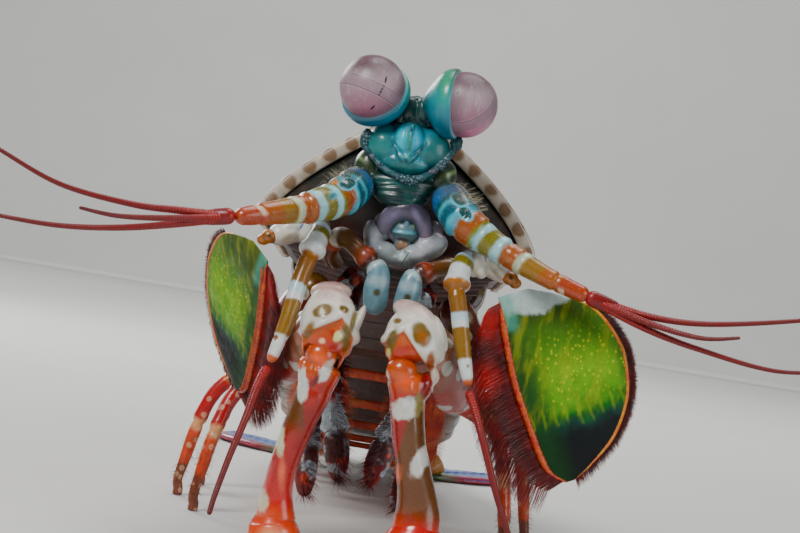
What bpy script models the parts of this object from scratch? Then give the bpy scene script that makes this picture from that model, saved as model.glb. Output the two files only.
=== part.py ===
"""Life-size still model of a mantis shrimp, standing with its forebody raised and its clubs hung down.

The animal faces -Y and its left side is +X. Sizes are millimetres and degrees, and become metres in
place(). Limbs are given as stations: X, Y and Z beside the eyes, then half the width and half the depth.
"""
import math

import bmesh
import bpy
from mathutils import Matrix, Vector

MM = 0.001
COLLECTION = "mantis_shrimp"
SIDES = {"right": -1.0, "left": 1.0}

# Where the eyes stand, so that the base of the whole box is centred on the origin
EYES_X = -2.6
EYES_Y = -63.9

# Air between neighbours
GAP = 0.3

# Trunk line: it starts under the front of the carapace and runs back, sloping down by these angles
TRUNK_START = Vector((0.0, 9.0, 50.0))
TRUNK_STEP = 0.5
SLOPE = ((-3, 3), (7, 16), (33, 20), (45, 27), (58, 30), (75, 24), (95, 16), (115, 9), (130, 5))

# Lengths along the trunk line
CARAPACE_LENGTH = 33.0
THORAX_SOMITE = 6.25
ABDOMEN_SOMITES = (12.0, 12.0, 12.0, 12.0, 11.5, 10.0)

# Free part of the trunk: half width, height above the line and depth below it, by place along the line
HALF_WIDTH = ((33, 14.6), (40, 13.4), (58, 14.4), (75, 15.4), (100, 15.0), (117, 13.2), (130, 11.6))
HEIGHT = ((33, 9.2), (58, 9.0), (80, 8.8), (105, 7.6), (130, 5.6))
DEPTH = ((33, 7.0), (56, 6.0), (62, 4.2), (105, 3.6), (130, 2.8))
BACK_POWER = 0.9
SIDE_POWER = 0.5
BELLY_POWER = 0.45
LOBE_DROP = 0.28
SOMITE_SIDES = 20
THORAX_SWELL = ((0.0, 0.95), (0.35, 1.0), (1.0, 0.98))
ABDOMEN_SWELL = ((0.0, 0.94), (0.2, 1.0), (0.6, 1.02), (1.0, 1.0))

# Carapace: an arch, steep in front and round behind, whose front edge runs back at its lower corners
ARCH_HALF_WIDTH = ((0, 18.6), (12, 18.0), (33, 15.6))
ARCH_TOP = ((0, 8.6), (12, 9.8), (33, 9.6))
ARCH_EDGE = ((0, -7.6), (14, -6.2), (33, -3.6))
ARCH_POWER = ((0, 1.18), (12, 1.6), (33, 2.35))
ARCH_STEPS = 12
SHELL = 1.0
CORNER_SET_BACK = 3.6
CORNER_LENGTH = 12.0
CARAPACE_STATIONS = (0.0, 3.0, 8.0, 16.0, 25.0, CARAPACE_LENGTH)

# Body under the carapace: how much of the arch it fills, and its belly
FRONT_FILL = ((-2.6, 0.46), (-0.6, 0.72), (3.0, 0.92), (8.0, 1.0), (18.0, 1.0), (32.7, 1.0))
BELLY_DEPTH = ((-3, 11.2), (10, 10.6), (33, 7.0))
BELLY_SPREAD = 0.76
BELLY_ROUND = 1.8
BELLY_STEPS = 9

# Telson: half outline from root to tip with its teeth, as length along it and half width
TELSON_SLOPE = 13.0
TELSON_SIDE = ((0.0, 8.6), (4.0, 10.2), (9.5, 10.6), (14.0, 9.6), (16.8, 9.2), (16.2, 7.4), (19.6, 6.8),
               (18.6, 4.6), (22.0, 3.4), (19.4, 1.2))
TELSON_NOTCH = 18.8
TELSON_LIFT = 0.8
TELSON_RIM = 1.2
TELSON_CROWN = 5.6
TELSON_MIDDLE = 0.55

# Tail fan blades on the floor: length, width, splay and thickness of the outer and the inner one
UROPOD_BLADES = ((23.0, 10.4, 38.0, 1.5), (18.5, 7.6, 10.0, 1.3))
UROPOD_ROOT = (12.6, 4.0)
UROPOD_ARM = ((10.2, 0.2, 5.2, 2.2, 1.6), (12.4, 2.4, 3.4, 2.8, 1.5), (13.6, 6.5, 1.3, 2.6, 0.9))

# Swimmerets: length and backward sweep of each pair, and half the outline of a pair with its bar
PLEOPODS = ((12.0, 30), (12.0, 34), (10.5, 42), (9.0, 54), (7.5, 66))
PLEOPOD_HALF = ((0.0, 0.0), (10.2, 0.0), (12.2, 0.28), (12.4, 0.66), (10.0, 0.96), (6.6, 1.0), (3.6, 0.76),
                (2.8, 0.40), (2.5, 0.18), (0.0, 0.18))
PLEOPOD_THICKNESS = 0.9
PLEOPOD_CLEARANCE = 0.75

# Rostral plate over the eyestalks: half outline
ROSTRAL_ORIGIN = Vector((0.0, 2.6, 59.6))
ROSTRAL_RUN = Vector((0.0, 1.0, -0.04))
ROSTRAL_HALF = ((0.0, 0.7), (2.2, 1.3), (3.4, 3.0), (5.8, 3.9), (6.3, 0.0))
ROSTRAL_RIM = 0.8
ROSTRAL_CROWN = 1.1

# Face, from the boss between the eyestalks down to the lower shield: height, half width, front and back
HEAD_LEVELS = ((57.0, 0.8, -1.2, 0.2), (56.4, 1.5, -1.6, 1.0), (55.7, 1.9, -1.8, 2.0), (55.3, 3.6, 0.4, 6.0),
               (54.0, 4.2, -1.2, 6.2), (51.6, 4.3, -1.3, 6.2), (49.9, 3.2, -0.9, 6.0), (48.8, 2.9, -1.5, 5.6),
               (47.3, 3.0, -1.8, 5.2), (46.0, 1.9, -1.4, 4.6))
MOUTH_LEVELS = ((45.6, 1.8, 1.6, 4.6), (44.4, 2.9, 1.1, 4.6), (43.0, 3.4, 0.9, 4.6), (41.6, 4.3, 1.0, 4.6),
                (39.9, 3.6, 1.2, 4.6), (38.6, 2.0, 1.8, 4.6))
MOUTH_X = 0.8

# Eyes: centre and the way each looks; the cup behind each, as distance behind the cut and radius
EYE_RADIUS = 4.1
EYE_CUT = 0.8
EYES = {
    "right": (Vector((-5.7, 0.0, 59.9)), Vector((-0.38, -0.79, 0.48))),
    "left": (Vector((5.9, 0.0, 59.7)), Vector((0.962, -0.258, 0.087))),
}
CUP_PROFILE = ((0.0, 4.05), (0.5, 4.35), (1.4, 4.3), (2.5, 3.7), (3.4, 2.5), (3.9, 1.2))
NECK_FOOT = Vector((3.2, 4.1, 56.0))
NECK_START = 3.0
NECK_RISE = 1.6
NECK_RADII = (1.5, 1.5, 1.35, 1.3)

# First feelers and their three whips
ANTENNULE = {
    "left": ((5.8, 1.6, 49.2, 1.6, 1.6), (6.2, -0.6, 47.6, 2.4, 2.4), (8.2, -3.0, 45.3, 2.4, 2.4),
             (11.9, -4.0, 43.2, 1.8, 1.8), (15.6, -5.0, 41.6, 1.5, 1.5), (19.2, -6.0, 40.2, 1.25, 1.25),
             (24.4, -7.0, 38.7, 0.95, 0.95)),
    "right": ((-5.8, 1.6, 49.2, 1.6, 1.6), (-5.9, -1.0, 47.4, 2.4, 2.4), (-7.4, -4.0, 45.6, 2.3, 2.3),
              (-9.4, -6.5, 44.4, 2.1, 2.1), (-11.9, -9.0, 43.3, 1.7, 1.7), (-15.8, -13.0, 42.0, 1.3, 1.3),
              (-18.7, -15.0, 41.1, 0.95, 0.95)),
}
FLAGELLA = {
    "left": (
        ((24.9, -7.0, 38.6), (31.9, -8.0, 37.6), (39.0, -9.0, 37.9), (49.4, -10.0, 40.1),
         (55.4, -10.0, 42.1)),
        ((24.9, -7.0, 38.5), (31.9, -9.0, 36.8), (38.0, -10.5, 36.1), (42.5, -11.5, 36.9)),
        ((24.9, -7.0, 38.4), (31.6, -8.2, 36.1), (38.3, -9.0, 34.7), (47.5, -10.5, 33.7),
         (55.8, -12.0, 35.1)),
    ),
    "right": (
        ((-19.5, -15.5, 41.1), (-24.9, -17.0, 40.8), (-30.5, -19.0, 40.6), (-38.5, -21.0, 41.5),
         (-45.7, -22.0, 44.2), (-50.6, -22.0, 46.2)),
        ((-19.5, -15.5, 41.0), (-24.7, -18.2, 39.9), (-31.1, -21.4, 39.0), (-35.5, -23.6, 39.2)),
        ((-19.5, -15.5, 40.9), (-24.7, -17.0, 39.3), (-31.2, -19.0, 37.7), (-37.9, -20.0, 36.8),
         (-44.6, -21.0, 36.8), (-49.3, -21.0, 37.2)),
    ),
}
WHIP_RADII = (0.5, 0.25)
WHIP_SIDES = 6
KNOB_RUN = Vector((2.0, -0.3, -0.5))
KNOB_OVERLAP = 0.2

# Second feelers: a stout base, a jointed arm and a whip
ANTENNA_BASE = {
    "left": ((9.8, 5.0, 43.4, 1.7, 1.7), (10.8, 1.4, 41.9, 1.9, 1.9), (12.6, -0.6, 40.7, 1.7, 1.7),
             (15.0, -2.2, 39.5, 1.2, 1.2)),
    "right": ((-9.8, 5.0, 43.4, 1.7, 1.7), (-10.8, 1.4, 42.2, 1.9, 1.9), (-12.8, -1.4, 40.7, 1.6, 1.6),
              (-15.2, -2.6, 39.4, 1.2, 1.2)),
}
ANTENNA_ARM = {
    "left": ((10.4, 0.6, 41.4, 1.2, 1.2), (8.9, -2.6, 40.2, 1.35, 1.35), (8.5, -5.0, 37.3, 1.4, 1.4),
             (9.2, -6.0, 34.6, 1.3, 1.3), (10.3, -7.0, 30.5, 1.25, 1.25), (11.8, -8.0, 25.8, 0.8, 0.8)),
    "right": ((-10.0, 0.4, 42.2, 1.2, 1.2), (-9.1, -2.2, 41.3, 1.35, 1.35), (-9.4, -5.2, 39.4, 1.4, 1.4),
              (-10.3, -7.6, 35.0, 1.35, 1.35), (-10.9, -9.0, 30.1, 1.25, 1.25),
              (-12.1, -10.0, 24.8, 0.8, 0.8)),
}
ANTENNA_WHIP = {
    "left": ((11.9, -8.1, 25.2), (13.1, -9.0, 22.9), (14.7, -10.0, 19.3), (16.8, -11.0, 14.3),
             (19.1, -12.0, 9.6), (20.6, -12.0, 6.2)),
    "right": ((-12.25, -10.1, 24.3), (-13.0, -11.0, 22.0), (-13.8, -12.0, 17.7), (-14.8, -13.0, 13.4),
              (-15.7, -14.0, 8.6), (-16.0, -14.5, 6.2)),
}
ANTENNA_WHIP_RADII = (0.55, 0.25)

# Blades of the second feelers: place and turn of each, and its edges as part of its length and reach
SCALE_LENGTH = 25.0
SCALE_OUTER = ((0.0, 1.6), (0.08, 5.4), (0.2, 9.3), (0.4, 11.3), (0.55, 11.2), (0.7, 10.1), (0.86, 7.2),
               (0.97, 3.2), (1.02, 0.9))
SCALE_INNER = ((0.0, 2.4), (0.4, 3.3), (0.65, 3.1), (0.92, 2.4), (1.02, 0.6))
SCALE_RIM = 0.7
SCALE_CROWN = 1.3
SCALES = {
    "left": (Vector((15.9, -3.4, 37.9)), Vector((10.6, 1.0, -22.6)), Vector((0.9, 0.1, 0.42))),
    "right": (Vector((-16.1, -3.6, 37.9)), Vector((-0.9, 16.0, -19.1)), Vector((-0.6, 0.6, 0.53))),
}

# Striking limbs
RAPTORIAL = {
    "left": {
        "carpus": ((2.8, -7.6, 34.0, 0.9, 0.9), (3.4, -8.0, 33.0, 2.4, 2.4), (4.2, -8.4, 30.8, 3.5, 3.6),
                   (4.6, -8.8, 28.6, 3.7, 3.7), (4.8, -9.0, 27.0, 3.0, 3.0)),
        "propodus": ((4.7, -9.2, 26.5, 2.7, 2.8), (4.8, -9.2, 24.6, 2.6, 2.9), (4.9, -9.2, 22.4, 2.1, 2.8),
                     (6.0, -9.0, 18.0, 1.95, 2.7), (7.1, -8.7, 14.0, 2.1, 2.5), (8.0, -8.4, 10.8, 2.3, 2.2)),
        "dactyl": ((8.5, -8.6, 1.0, 1.0, 1.0), (8.5, -8.5, 1.9, 2.9, 2.7), (8.5, -8.3, 4.4, 3.9, 3.8),
                   (8.4, -8.1, 6.6, 3.7, 3.6), (8.3, -7.6, 8.3, 2.6, 2.6), (8.1, -5.2, 9.6, 1.3, 1.2),
                   (7.0, -4.5, 14.0, 0.95, 0.8), (5.6, -4.8, 20.6, 0.4, 0.4)),
        "merus": ((8.2, 16.5, 35.6, 2.2, 2.2), (11.0, 17.0, 31.4, 2.6, 2.6), (12.4, 14.0, 26.6, 2.9, 3.8),
                  (10.4, 6.5, 25.8, 2.9, 4.6), (6.8, -0.8, 28.6, 2.8, 3.8), (5.2, -3.8, 29.8, 2.0, 2.4)),
    },
    "right": {
        "carpus": ((-5.9, -7.6, 34.7, 0.9, 0.9), (-6.0, -8.0, 33.6, 2.3, 2.3), (-6.0, -8.4, 31.2, 3.3, 3.4),
                   (-5.7, -8.8, 28.6, 3.4, 3.6), (-5.9, -9.0, 26.4, 2.9, 3.0)),
        "propodus": ((-6.0, -9.2, 25.9, 2.5, 2.8), (-6.2, -9.2, 24.2, 2.4, 2.9), (-6.5, -9.2, 21.6, 2.1, 2.8),
                     (-7.4, -9.0, 17.4, 1.9, 2.7), (-8.4, -8.7, 12.8, 1.65, 2.4),
                     (-8.8, -8.4, 9.4, 1.7, 2.0)),
        "dactyl": ((-8.3, -8.6, 0.6, 1.0, 1.0), (-8.3, -8.5, 1.3, 2.6, 2.5), (-8.3, -8.3, 3.5, 3.4, 3.5),
                   (-8.5, -8.1, 5.2, 3.1, 3.3), (-8.6, -7.6, 6.8, 2.2, 2.3), (-8.5, -5.2, 8.2, 1.3, 1.2),
                   (-8.0, -4.5, 12.6, 0.95, 0.8), (-7.0, -4.8, 19.6, 0.4, 0.4)),
        "merus": ((-8.2, 16.5, 35.6, 2.2, 2.2), (-11.0, 17.0, 31.4, 2.6, 2.6), (-12.4, 14.0, 26.6, 2.9, 3.8),
                  (-11.0, 6.5, 25.8, 2.9, 4.6), (-8.0, -0.8, 28.2, 2.8, 3.8), (-6.7, -3.8, 29.4, 2.0, 2.4)),
    },
}
RAPTORIAL_SIDES = 12
RAPTORIAL_SPANS = {"merus": 2, "carpus": 2, "propodus": 1, "dactyl": 1}

# Jaw legs: the third pair as each side is held, and the others for the left side
JAW_LEG_3 = {
    "left": ((6.8, 7.6, 37.6, 1.2, 1.2), (8.2, 4.0, 38.9, 1.3, 1.3), (7.3, 0.2, 39.4, 1.3, 1.3),
             (5.0, -1.6, 38.6, 1.3, 1.3), (3.2, -2.6, 37.6, 1.3, 1.3), (2.9, -3.0, 35.2, 1.55, 1.2),
             (2.6, -2.7, 33.4, 1.1, 0.9)),
    "right": ((-6.6, 7.6, 37.6, 1.2, 1.2), (-7.8, 4.0, 39.4, 1.3, 1.3), (-6.4, 0.0, 41.0, 1.3, 1.3),
              (-3.6, -1.8, 39.4, 1.3, 1.3), (-1.3, -2.6, 37.8, 1.3, 1.3), (-1.0, -3.0, 35.2, 1.55, 1.2),
              (-0.8, -2.7, 33.4, 1.1, 0.9)),
}
JAW_LEGS = {
    1: ((4.4, 10.0, 37.2, 0.9, 0.9), (5.6, 7.4, 35.0, 0.9, 0.9), (5.4, 4.0, 34.6, 0.8, 0.8),
        (4.0, 1.8, 36.0, 0.7, 0.7), (3.2, 1.4, 37.2, 0.5, 0.5)),
    4: ((4.0, 14.0, 36.2, 1.3, 1.3), (4.6, 9.0, 30.0, 1.3, 1.3), (4.6, 3.4, 22.6, 1.2, 1.2),
        (3.4, 1.0, 17.6, 1.6, 1.1), (2.4, 0.0, 13.6, 1.5, 1.0), (2.1, 0.0, 11.0, 0.7, 0.5)),
    5: ((4.6, 20.0, 34.8, 1.3, 1.3), (5.4, 17.6, 26.0, 1.3, 1.3), (6.4, 13.0, 19.0, 1.2, 1.2),
        (6.6, 9.4, 13.6, 1.6, 1.1), (6.2, 7.8, 10.0, 1.4, 1.0), (6.0, 7.6, 7.6, 0.7, 0.5)),
}

# Walking legs: place of the hip along the trunk line, then the way from it to hip bend, knee and foot
LEGS = (
    (42.4, (3.4, -2.6, -5.2), (10.4, -8.6, -12.8), (13.2, -11.4)),
    (48.6, (4.2, -0.4, -4.6), (13.6, -1.4, -10.8), (17.0, -2.0)),
    (54.9, (3.6, 2.4, -4.4), (11.6, 7.4, -9.2), (15.2, 9.4)),
)
LEG_ROOT_X = 8.6
LEG_SIDES = 8
FOOT_RADIUS = 0.75
ANKLE_HEIGHT = 4.0
FOOT_HEIGHT = 0.9
BRANCH_RUN = Vector((6.2, 4.2, -2.7))
BRANCH_ROOT = (1.7, 1.7, 1.25)

# Plain finishes: colour and roughness
LOOKS = {
    "carapace": ((0.34, 0.36, 0.16), 0.35),
    "underside": ((0.32, 0.20, 0.16), 0.5),
    "somite": ((0.24, 0.36, 0.18), 0.4),
    "telson": ((0.10, 0.32, 0.28), 0.4),
    "uropod": ((0.06, 0.22, 0.42), 0.35),
    "swimmeret": ((0.45, 0.12, 0.05), 0.5),
    "rostral": ((0.02, 0.12, 0.11), 0.3),
    "face": ((0.02, 0.30, 0.38), 0.3),
    "mouth": ((0.42, 0.40, 0.46), 0.45),
    "cornea": ((0.45, 0.36, 0.40), 0.12),
    "eye_cup": ((0.0, 0.28, 0.48), 0.3),
    "banded": ((0.55, 0.30, 0.06), 0.3),
    "whip": ((0.45, 0.01, 0.01), 0.35),
    "scale": ((0.16, 0.32, 0.02), 0.35),
    "jaw_leg": ((0.40, 0.30, 0.28), 0.4),
    "merus": ((0.55, 0.16, 0.08), 0.35),
    "carpus": ((0.80, 0.76, 0.62), 0.3),
    "propodus": ((0.62, 0.04, 0.02), 0.25),
    "dactyl": ((0.75, 0.18, 0.10), 0.2),
    "leg": ((0.55, 0.16, 0.05), 0.4),
}


def wipe_scene():
    """Remove what a new file holds."""
    for old in list(bpy.data.objects):
        bpy.data.objects.remove(old, do_unlink=True)


def collection(name):
    made = bpy.data.collections.new(name)
    bpy.context.scene.collection.children.link(made)
    return made


def finish(name, look):
    """A node's own material."""
    colour, roughness = LOOKS[look]
    made = bpy.data.materials.new(name)
    made.use_nodes = True
    shader = made.node_tree.nodes["Principled BSDF"]
    shader.inputs["Base Color"].default_value = (*colour, 1.0)
    shader.inputs["Roughness"].default_value = roughness
    shader.inputs["Metallic"].default_value = 0.0
    return made


def place(point):
    """Millimetres beside the eyes to metres in the model's frame."""
    return Vector((point[0] + EYES_X, point[1] + EYES_Y, point[2])) * MM


def table(steps, where):
    """Read pairs of place and value, with straight runs between them."""
    if where <= steps[0][0]:
        return steps[0][1]
    for (a, low), (b, high) in zip(steps, steps[1:]):
        if where <= b:
            return low + (high - low) * (where - a) / (b - a)
    return steps[-1][1]


def smooth(points, spans):
    """Rows of numbers on one smooth curve through the given rows."""
    ends = [points[0], *points, points[-1]]
    rows = []
    for a, b, c, d in zip(ends, ends[1:], ends[2:], ends[3:]):
        for step in range(spans):
            t = step / spans
            rows.append(tuple(
                0.5 * (2 * q + (r - p) * t + (2 * p - 5 * q + 4 * r - s) * t * t
                       + (3 * q - p - 3 * r + s) * t ** 3)
                for p, q, r, s in zip(a, b, c, d)))
    rows.append(tuple(points[-1]))
    return rows


def bent(value, power):
    """Signed power of a sine or cosine, which squares or sharpens an oval."""
    return math.copysign(abs(value) ** power, value)


def upright(length, turn):
    """A vector of this length in the plane of the trunk, leaning back by a turn."""
    return Vector((0.0, length * math.sin(turn), length * math.cos(turn)))


class Model:
    """Adds closed bodies to the model's collection, each with its own finish."""

    def __init__(self):
        self.parts = collection(COLLECTION)
        self.tools = collection(COLLECTION + "_tools")

    def add(self, name, bm, look):
        bmesh.ops.recalc_face_normals(bm, faces=bm.faces)
        mesh = bpy.data.meshes.new(name)
        bm.to_mesh(mesh)
        bm.free()
        mesh.shade_smooth()
        mesh.set_sharp_from_angle(angle=math.radians(50))
        made = bpy.data.objects.new(name, mesh)
        made.data.materials.append(finish(name, look))
        self.parts.objects.link(made)
        return made

    def join(self, name, solids, look):
        """One body from overlapping ones."""
        made = self.add(name, solids[0], look)
        for number, solid in enumerate(solids[1:]):
            tool = self.add(f"{name}_join_{number}", solid, look)
            self.parts.objects.unlink(tool)
            self.tools.objects.link(tool)
            tool.hide_render = True
            tool.display_type = "WIRE"
            union = made.modifiers.new(f"join_{number}", "BOOLEAN")
            union.operation = "UNION"
            union.solver = "EXACT"
            union.object = tool


def loft(rings):
    """A closed body through rings of equal count, with flat ends."""
    bm = bmesh.new()
    rows = [[bm.verts.new(place(point)) for point in ring] for ring in rings]
    count = len(rows[0])
    for low, high in zip(rows, rows[1:]):
        for k in range(count):
            after = (k + 1) % count
            bm.faces.new((low[k], low[after], high[after], high[k]))
    bm.faces.new(rows[0])
    bm.faces.new(rows[-1])
    return bm


def headings(points):
    """Unit direction of travel at each point of a path."""
    last = len(points) - 1
    return [(points[min(k + 1, last)] - points[max(k - 1, 0)]).normalized() for k in range(last + 1)]


def limb(stations, sides, spans=1, across=(1, 0, 0)):
    """A tapering limb through its stations, its width measured along across."""
    rows = smooth(stations, spans)
    points = [Vector(row[:3]) for row in rows]
    across = Vector(across)
    rings = []
    for point, way, row in zip(points, headings(points), rows):
        wide = (across - way * across.dot(way)).normalized()
        deep = way.cross(wide)
        turns = [math.tau * (k + 0.5) / sides for k in range(sides)]
        rings.append([point + wide * math.cos(t) * row[3] + deep * math.sin(t) * row[4] for t in turns])
    return loft(rings)


def whip(points, radii):
    """A thin feeler that tapers to its tip."""
    rows = smooth(points, 2)
    last = len(rows) - 1
    stations = []
    for k, row in enumerate(rows):
        radius = radii[0] + (radii[1] - radii[0]) * k / last
        stations.append((*row, radius, radius))
    return limb(stations, WHIP_SIDES, across=(0.1, 1, 0.2))


def plate(outline, origin, run, across, rim, crown, middle_part=0.6):
    """A thin blade: a flat outline with a rim and a raised middle on both faces."""
    up = across.cross(run).normalized()
    middle = [sum(p[axis] for p in outline) / len(outline) for axis in (0, 1)]
    rings = []
    for part, lift in ((middle_part, crown / 2), (1.0, rim / 2), (1.0, -rim / 2), (middle_part, -crown / 2)):
        ring = []
        for point in outline:
            a, c = (m + (p - m) * part for m, p in zip(middle, point))
            ring.append(origin + run * a + across * c + up * lift)
        rings.append(ring)
    return loft(rings)


def both_sides(half):
    """A closed outline from its half, given as length and half width."""
    return list(half) + [(a, -c) for a, c in reversed(half) if c > 0]


def trunk(where):
    """Point and slope of the trunk line at a length along it."""
    y, z = TRUNK_START.y, TRUNK_START.z
    steps = max(1, math.ceil(abs(where) / TRUNK_STEP))
    step = where / steps
    for k in range(steps):
        slope = math.radians(table(SLOPE, (k + 0.5) * step))
        y += step * math.cos(slope)
        z -= step * math.sin(slope)
    return Vector((0.0, y, z)), math.radians(table(SLOPE, where))


def on_trunk(where, side, lift):
    """A point beside and above the trunk line, square to it."""
    point, slope = trunk(where)
    return point + Vector((side, 0.0, 0.0)) + upright(lift, slope)


def somite_ring(where, swell):
    """Section of a free somite: a round back over a flat belly with low side lobes."""
    width = table(HALF_WIDTH, where) * swell
    height = table(HEIGHT, where) * swell
    depth = table(DEPTH, where)
    ring = []
    for k in range(SOMITE_SIDES):
        side = math.cos(math.tau * k / SOMITE_SIDES)
        lift = math.sin(math.tau * k / SOMITE_SIDES)
        if lift >= 0:
            ring.append(on_trunk(where, width * bent(side, BACK_POWER), height * lift ** BACK_POWER))
        else:
            low = depth * (1.0 + LOBE_DROP * side * side) * abs(lift) ** BELLY_POWER
            ring.append(on_trunk(where, width * bent(side, SIDE_POWER), -low))
    return ring


def arch_point(where, turn, inset):
    """A point on the carapace's arch, from one lower edge over the top to the other."""
    power = 2.0 / table(ARCH_POWER, where)
    edge = table(ARCH_EDGE, where)
    width = table(ARCH_HALF_WIDTH, where) - inset
    rise = table(ARCH_TOP, where) - edge - inset
    return on_trunk(where, width * bent(math.cos(turn), power), edge + rise * math.sin(turn) ** power)


def carapace(model):
    """The shield over the front of the thorax, open below."""
    turns = [math.pi * k / ARCH_STEPS for k in range(ARCH_STEPS + 1)]
    rings = []
    for where in CARAPACE_STATIONS:
        corner = CORNER_SET_BACK * max(0.0, 1.0 - where / CORNER_LENGTH)
        outside = [arch_point(where + corner * math.cos(t) ** 2, t, 0.0) for t in turns]
        inside = [arch_point(where + corner * math.cos(t) ** 2, t, SHELL) for t in reversed(turns)]
        rings.append(outside + inside)
    model.add("carapace", loft(rings), "carapace")


def thorax_front(model):
    """The fused front of the thorax that the carapace covers."""
    turns = [math.pi * k / BELLY_STEPS for k in range(BELLY_STEPS + 1)]
    rings = []
    for where, fill in FRONT_FILL:
        centre, _ = trunk(where)
        ring = []
        for turn in turns:
            over = arch_point(where, turn, SHELL + GAP) - centre
            ring.append(centre + Vector((over.x * fill, over.y * fill, over.z * fill)))
        for turn in turns[1:-1]:
            side = -table(ARCH_HALF_WIDTH, where) * BELLY_SPREAD * fill * math.cos(turn)
            low = table(BELLY_DEPTH, where) - BELLY_ROUND * math.cos(turn) ** 2
            ring.append(on_trunk(where, side, -low * (0.6 + 0.4 * fill)))
        rings.append(ring)
    model.add("thorax_front", loft(rings), "underside")


def somites(model):
    """The four free somites of the thorax and the six of the abdomen; returns where the tail begins."""
    where = CARAPACE_LENGTH
    rows = [(f"thorax_somite_{number}", THORAX_SOMITE, THORAX_SWELL) for number in range(5, 9)]
    rows += [(f"abdomen_somite_{number}", length, ABDOMEN_SWELL)
             for number, length in enumerate(ABDOMEN_SOMITES, start=1)]
    for name, length, swells in rows:
        rings = [somite_ring(where + GAP / 2 + part * (length - GAP), swell) for part, swell in swells]
        model.add(name, loft(rings), "somite")
        where += length
    return where


def telson(model, where):
    """The tail plate, with three pairs of teeth on its edge and a raised middle."""
    origin = trunk(where)[0] + Vector((0.0, GAP + 0.5, TELSON_LIFT))
    slope = math.radians(TELSON_SLOPE)
    run = Vector((0.0, math.cos(slope), -math.sin(slope)))
    outline = both_sides(TELSON_SIDE + ((TELSON_NOTCH, 0.0),))
    solid = plate(outline, origin, run, Vector((1, 0, 0)), TELSON_RIM, TELSON_CROWN, TELSON_MIDDLE)
    model.add("telson", solid, "telson")


def paddle(length, width):
    """Outline of an oval blade, widest beyond its middle."""
    outline = []
    for k in range(16):
        turn = math.tau * k / 16
        part = 0.5 - 0.5 * math.cos(turn)
        outline.append((length * part, 0.5 * width * math.sin(turn) * (0.75 + 0.4 * part)))
    return outline


def uropods(model, where):
    """The side blades of the tail fan, which lie flat on the floor."""
    tail, _ = trunk(where)
    for side, s in SIDES.items():
        root = Vector((s * UROPOD_ROOT[0], tail.y + UROPOD_ROOT[1], 0.0))
        solids = [limb([(s * x, tail.y + y, z, wide, deep) for x, y, z, wide, deep in UROPOD_ARM], 8, 2)]
        for length, width, splay, thick in UROPOD_BLADES:
            turn = math.radians(splay)
            run = Vector((s * math.sin(turn), math.cos(turn), 0.0))
            across = Vector((s * math.cos(turn), -math.sin(turn), 0.0))
            low = [root + run * a + across * c for a, c in paddle(length, width)]
            solids.append(loft([low, [point + Vector((0.0, 0.0, thick)) for point in low]]))
        model.join(f"uropod_{side}", solids, "uropod")


def pleopods(model):
    """Five pairs of swimmerets, each pair joined by the bar under its somite."""
    outline = list(PLEOPOD_HALF) + [(-x, y) for x, y in reversed(PLEOPOD_HALF[1:-1])]
    where = CARAPACE_LENGTH + 4 * THORAX_SOMITE
    for number, (length, sweep) in enumerate(PLEOPODS, start=1):
        middle = where + ABDOMEN_SOMITES[number - 1] * 0.35
        low = table(DEPTH, middle) * (1.0 + LOBE_DROP) + PLEOPOD_CLEARANCE
        root = on_trunk(middle, 0.0, -low)
        turn = math.radians(sweep)
        down = upright(-length, -turn)
        face = Vector((0.0, math.cos(turn), math.sin(turn))) * PLEOPOD_THICKNESS / 2
        flat = [root + Vector((x, 0.0, 0.0)) + down * y for x, y in outline]
        solid = loft([[point + face for point in flat], [point - face for point in flat]])
        model.add(f"pleopods_{number}", solid, "swimmeret")
        where += ABDOMEN_SOMITES[number - 1]


def rostral_plate(model):
    """The small hinged plate over the roots of the eyestalks."""
    run = ROSTRAL_RUN.normalized()
    outline = both_sides(ROSTRAL_HALF)
    solid = plate(outline, ROSTRAL_ORIGIN, run, Vector((1, 0, 0)), ROSTRAL_RIM, ROSTRAL_CROWN)
    model.add("rostral_plate", solid, "rostral")


def stack(levels, middle_x, count, power):
    """An upright body through level ovals, each given by height, half width, front and back."""
    rings = []
    for z, wide, front, back in levels:
        ring = []
        for k in range(count):
            turn = math.tau * k / count
            y = (front + back) / 2 + (back - front) / 2 * bent(math.sin(turn), power)
            ring.append(Vector((middle_x + wide * bent(math.cos(turn), power), y, z)))
        rings.append(ring)
    return loft(rings)


def eyes(model):
    """Round corneas, each cut flat behind, on a cup with a short neck to the face."""
    for side, (centre, look) in EYES.items():
        look = look.normalized()
        bm = bmesh.new()
        bmesh.ops.create_uvsphere(bm, u_segments=16, v_segments=10, radius=EYE_RADIUS * MM)
        cut = bmesh.ops.bisect_plane(bm, geom=bm.verts[:] + bm.edges[:] + bm.faces[:],
                                     plane_co=(0, 0, -EYE_CUT * MM), plane_no=(0, 0, 1), clear_inner=True)
        bmesh.ops.holes_fill(bm, edges=[e for e in cut["geom_cut"] if isinstance(e, bmesh.types.BMEdge)])
        turned = look.to_track_quat("Z", "Y").to_matrix().to_4x4()
        bmesh.ops.transform(bm, matrix=Matrix.Translation(place(centre)) @ turned, verts=bm.verts)
        model.add(f"eye_{side}", bm, "cornea")
        cup = [(*(centre - look * (EYE_CUT + GAP + back)), radius, radius) for back, radius in CUP_PROFILE]
        foot = Vector((NECK_FOOT.x * SIDES[side], NECK_FOOT.y, NECK_FOOT.z))
        start = centre - look * NECK_START
        bend = foot + Vector((0, 0, NECK_RISE))
        neck = [(*point, radius, radius) for point, radius in
                zip((start, (start + bend) / 2, bend, foot), NECK_RADII)]
        solids = [limb(cup, 14, across=(0, 0.3, 1)), limb(neck, 8, across=(1, 0.2, 0))]
        model.join(f"eye_stalk_{side}", solids, "eye_cup")


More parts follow.
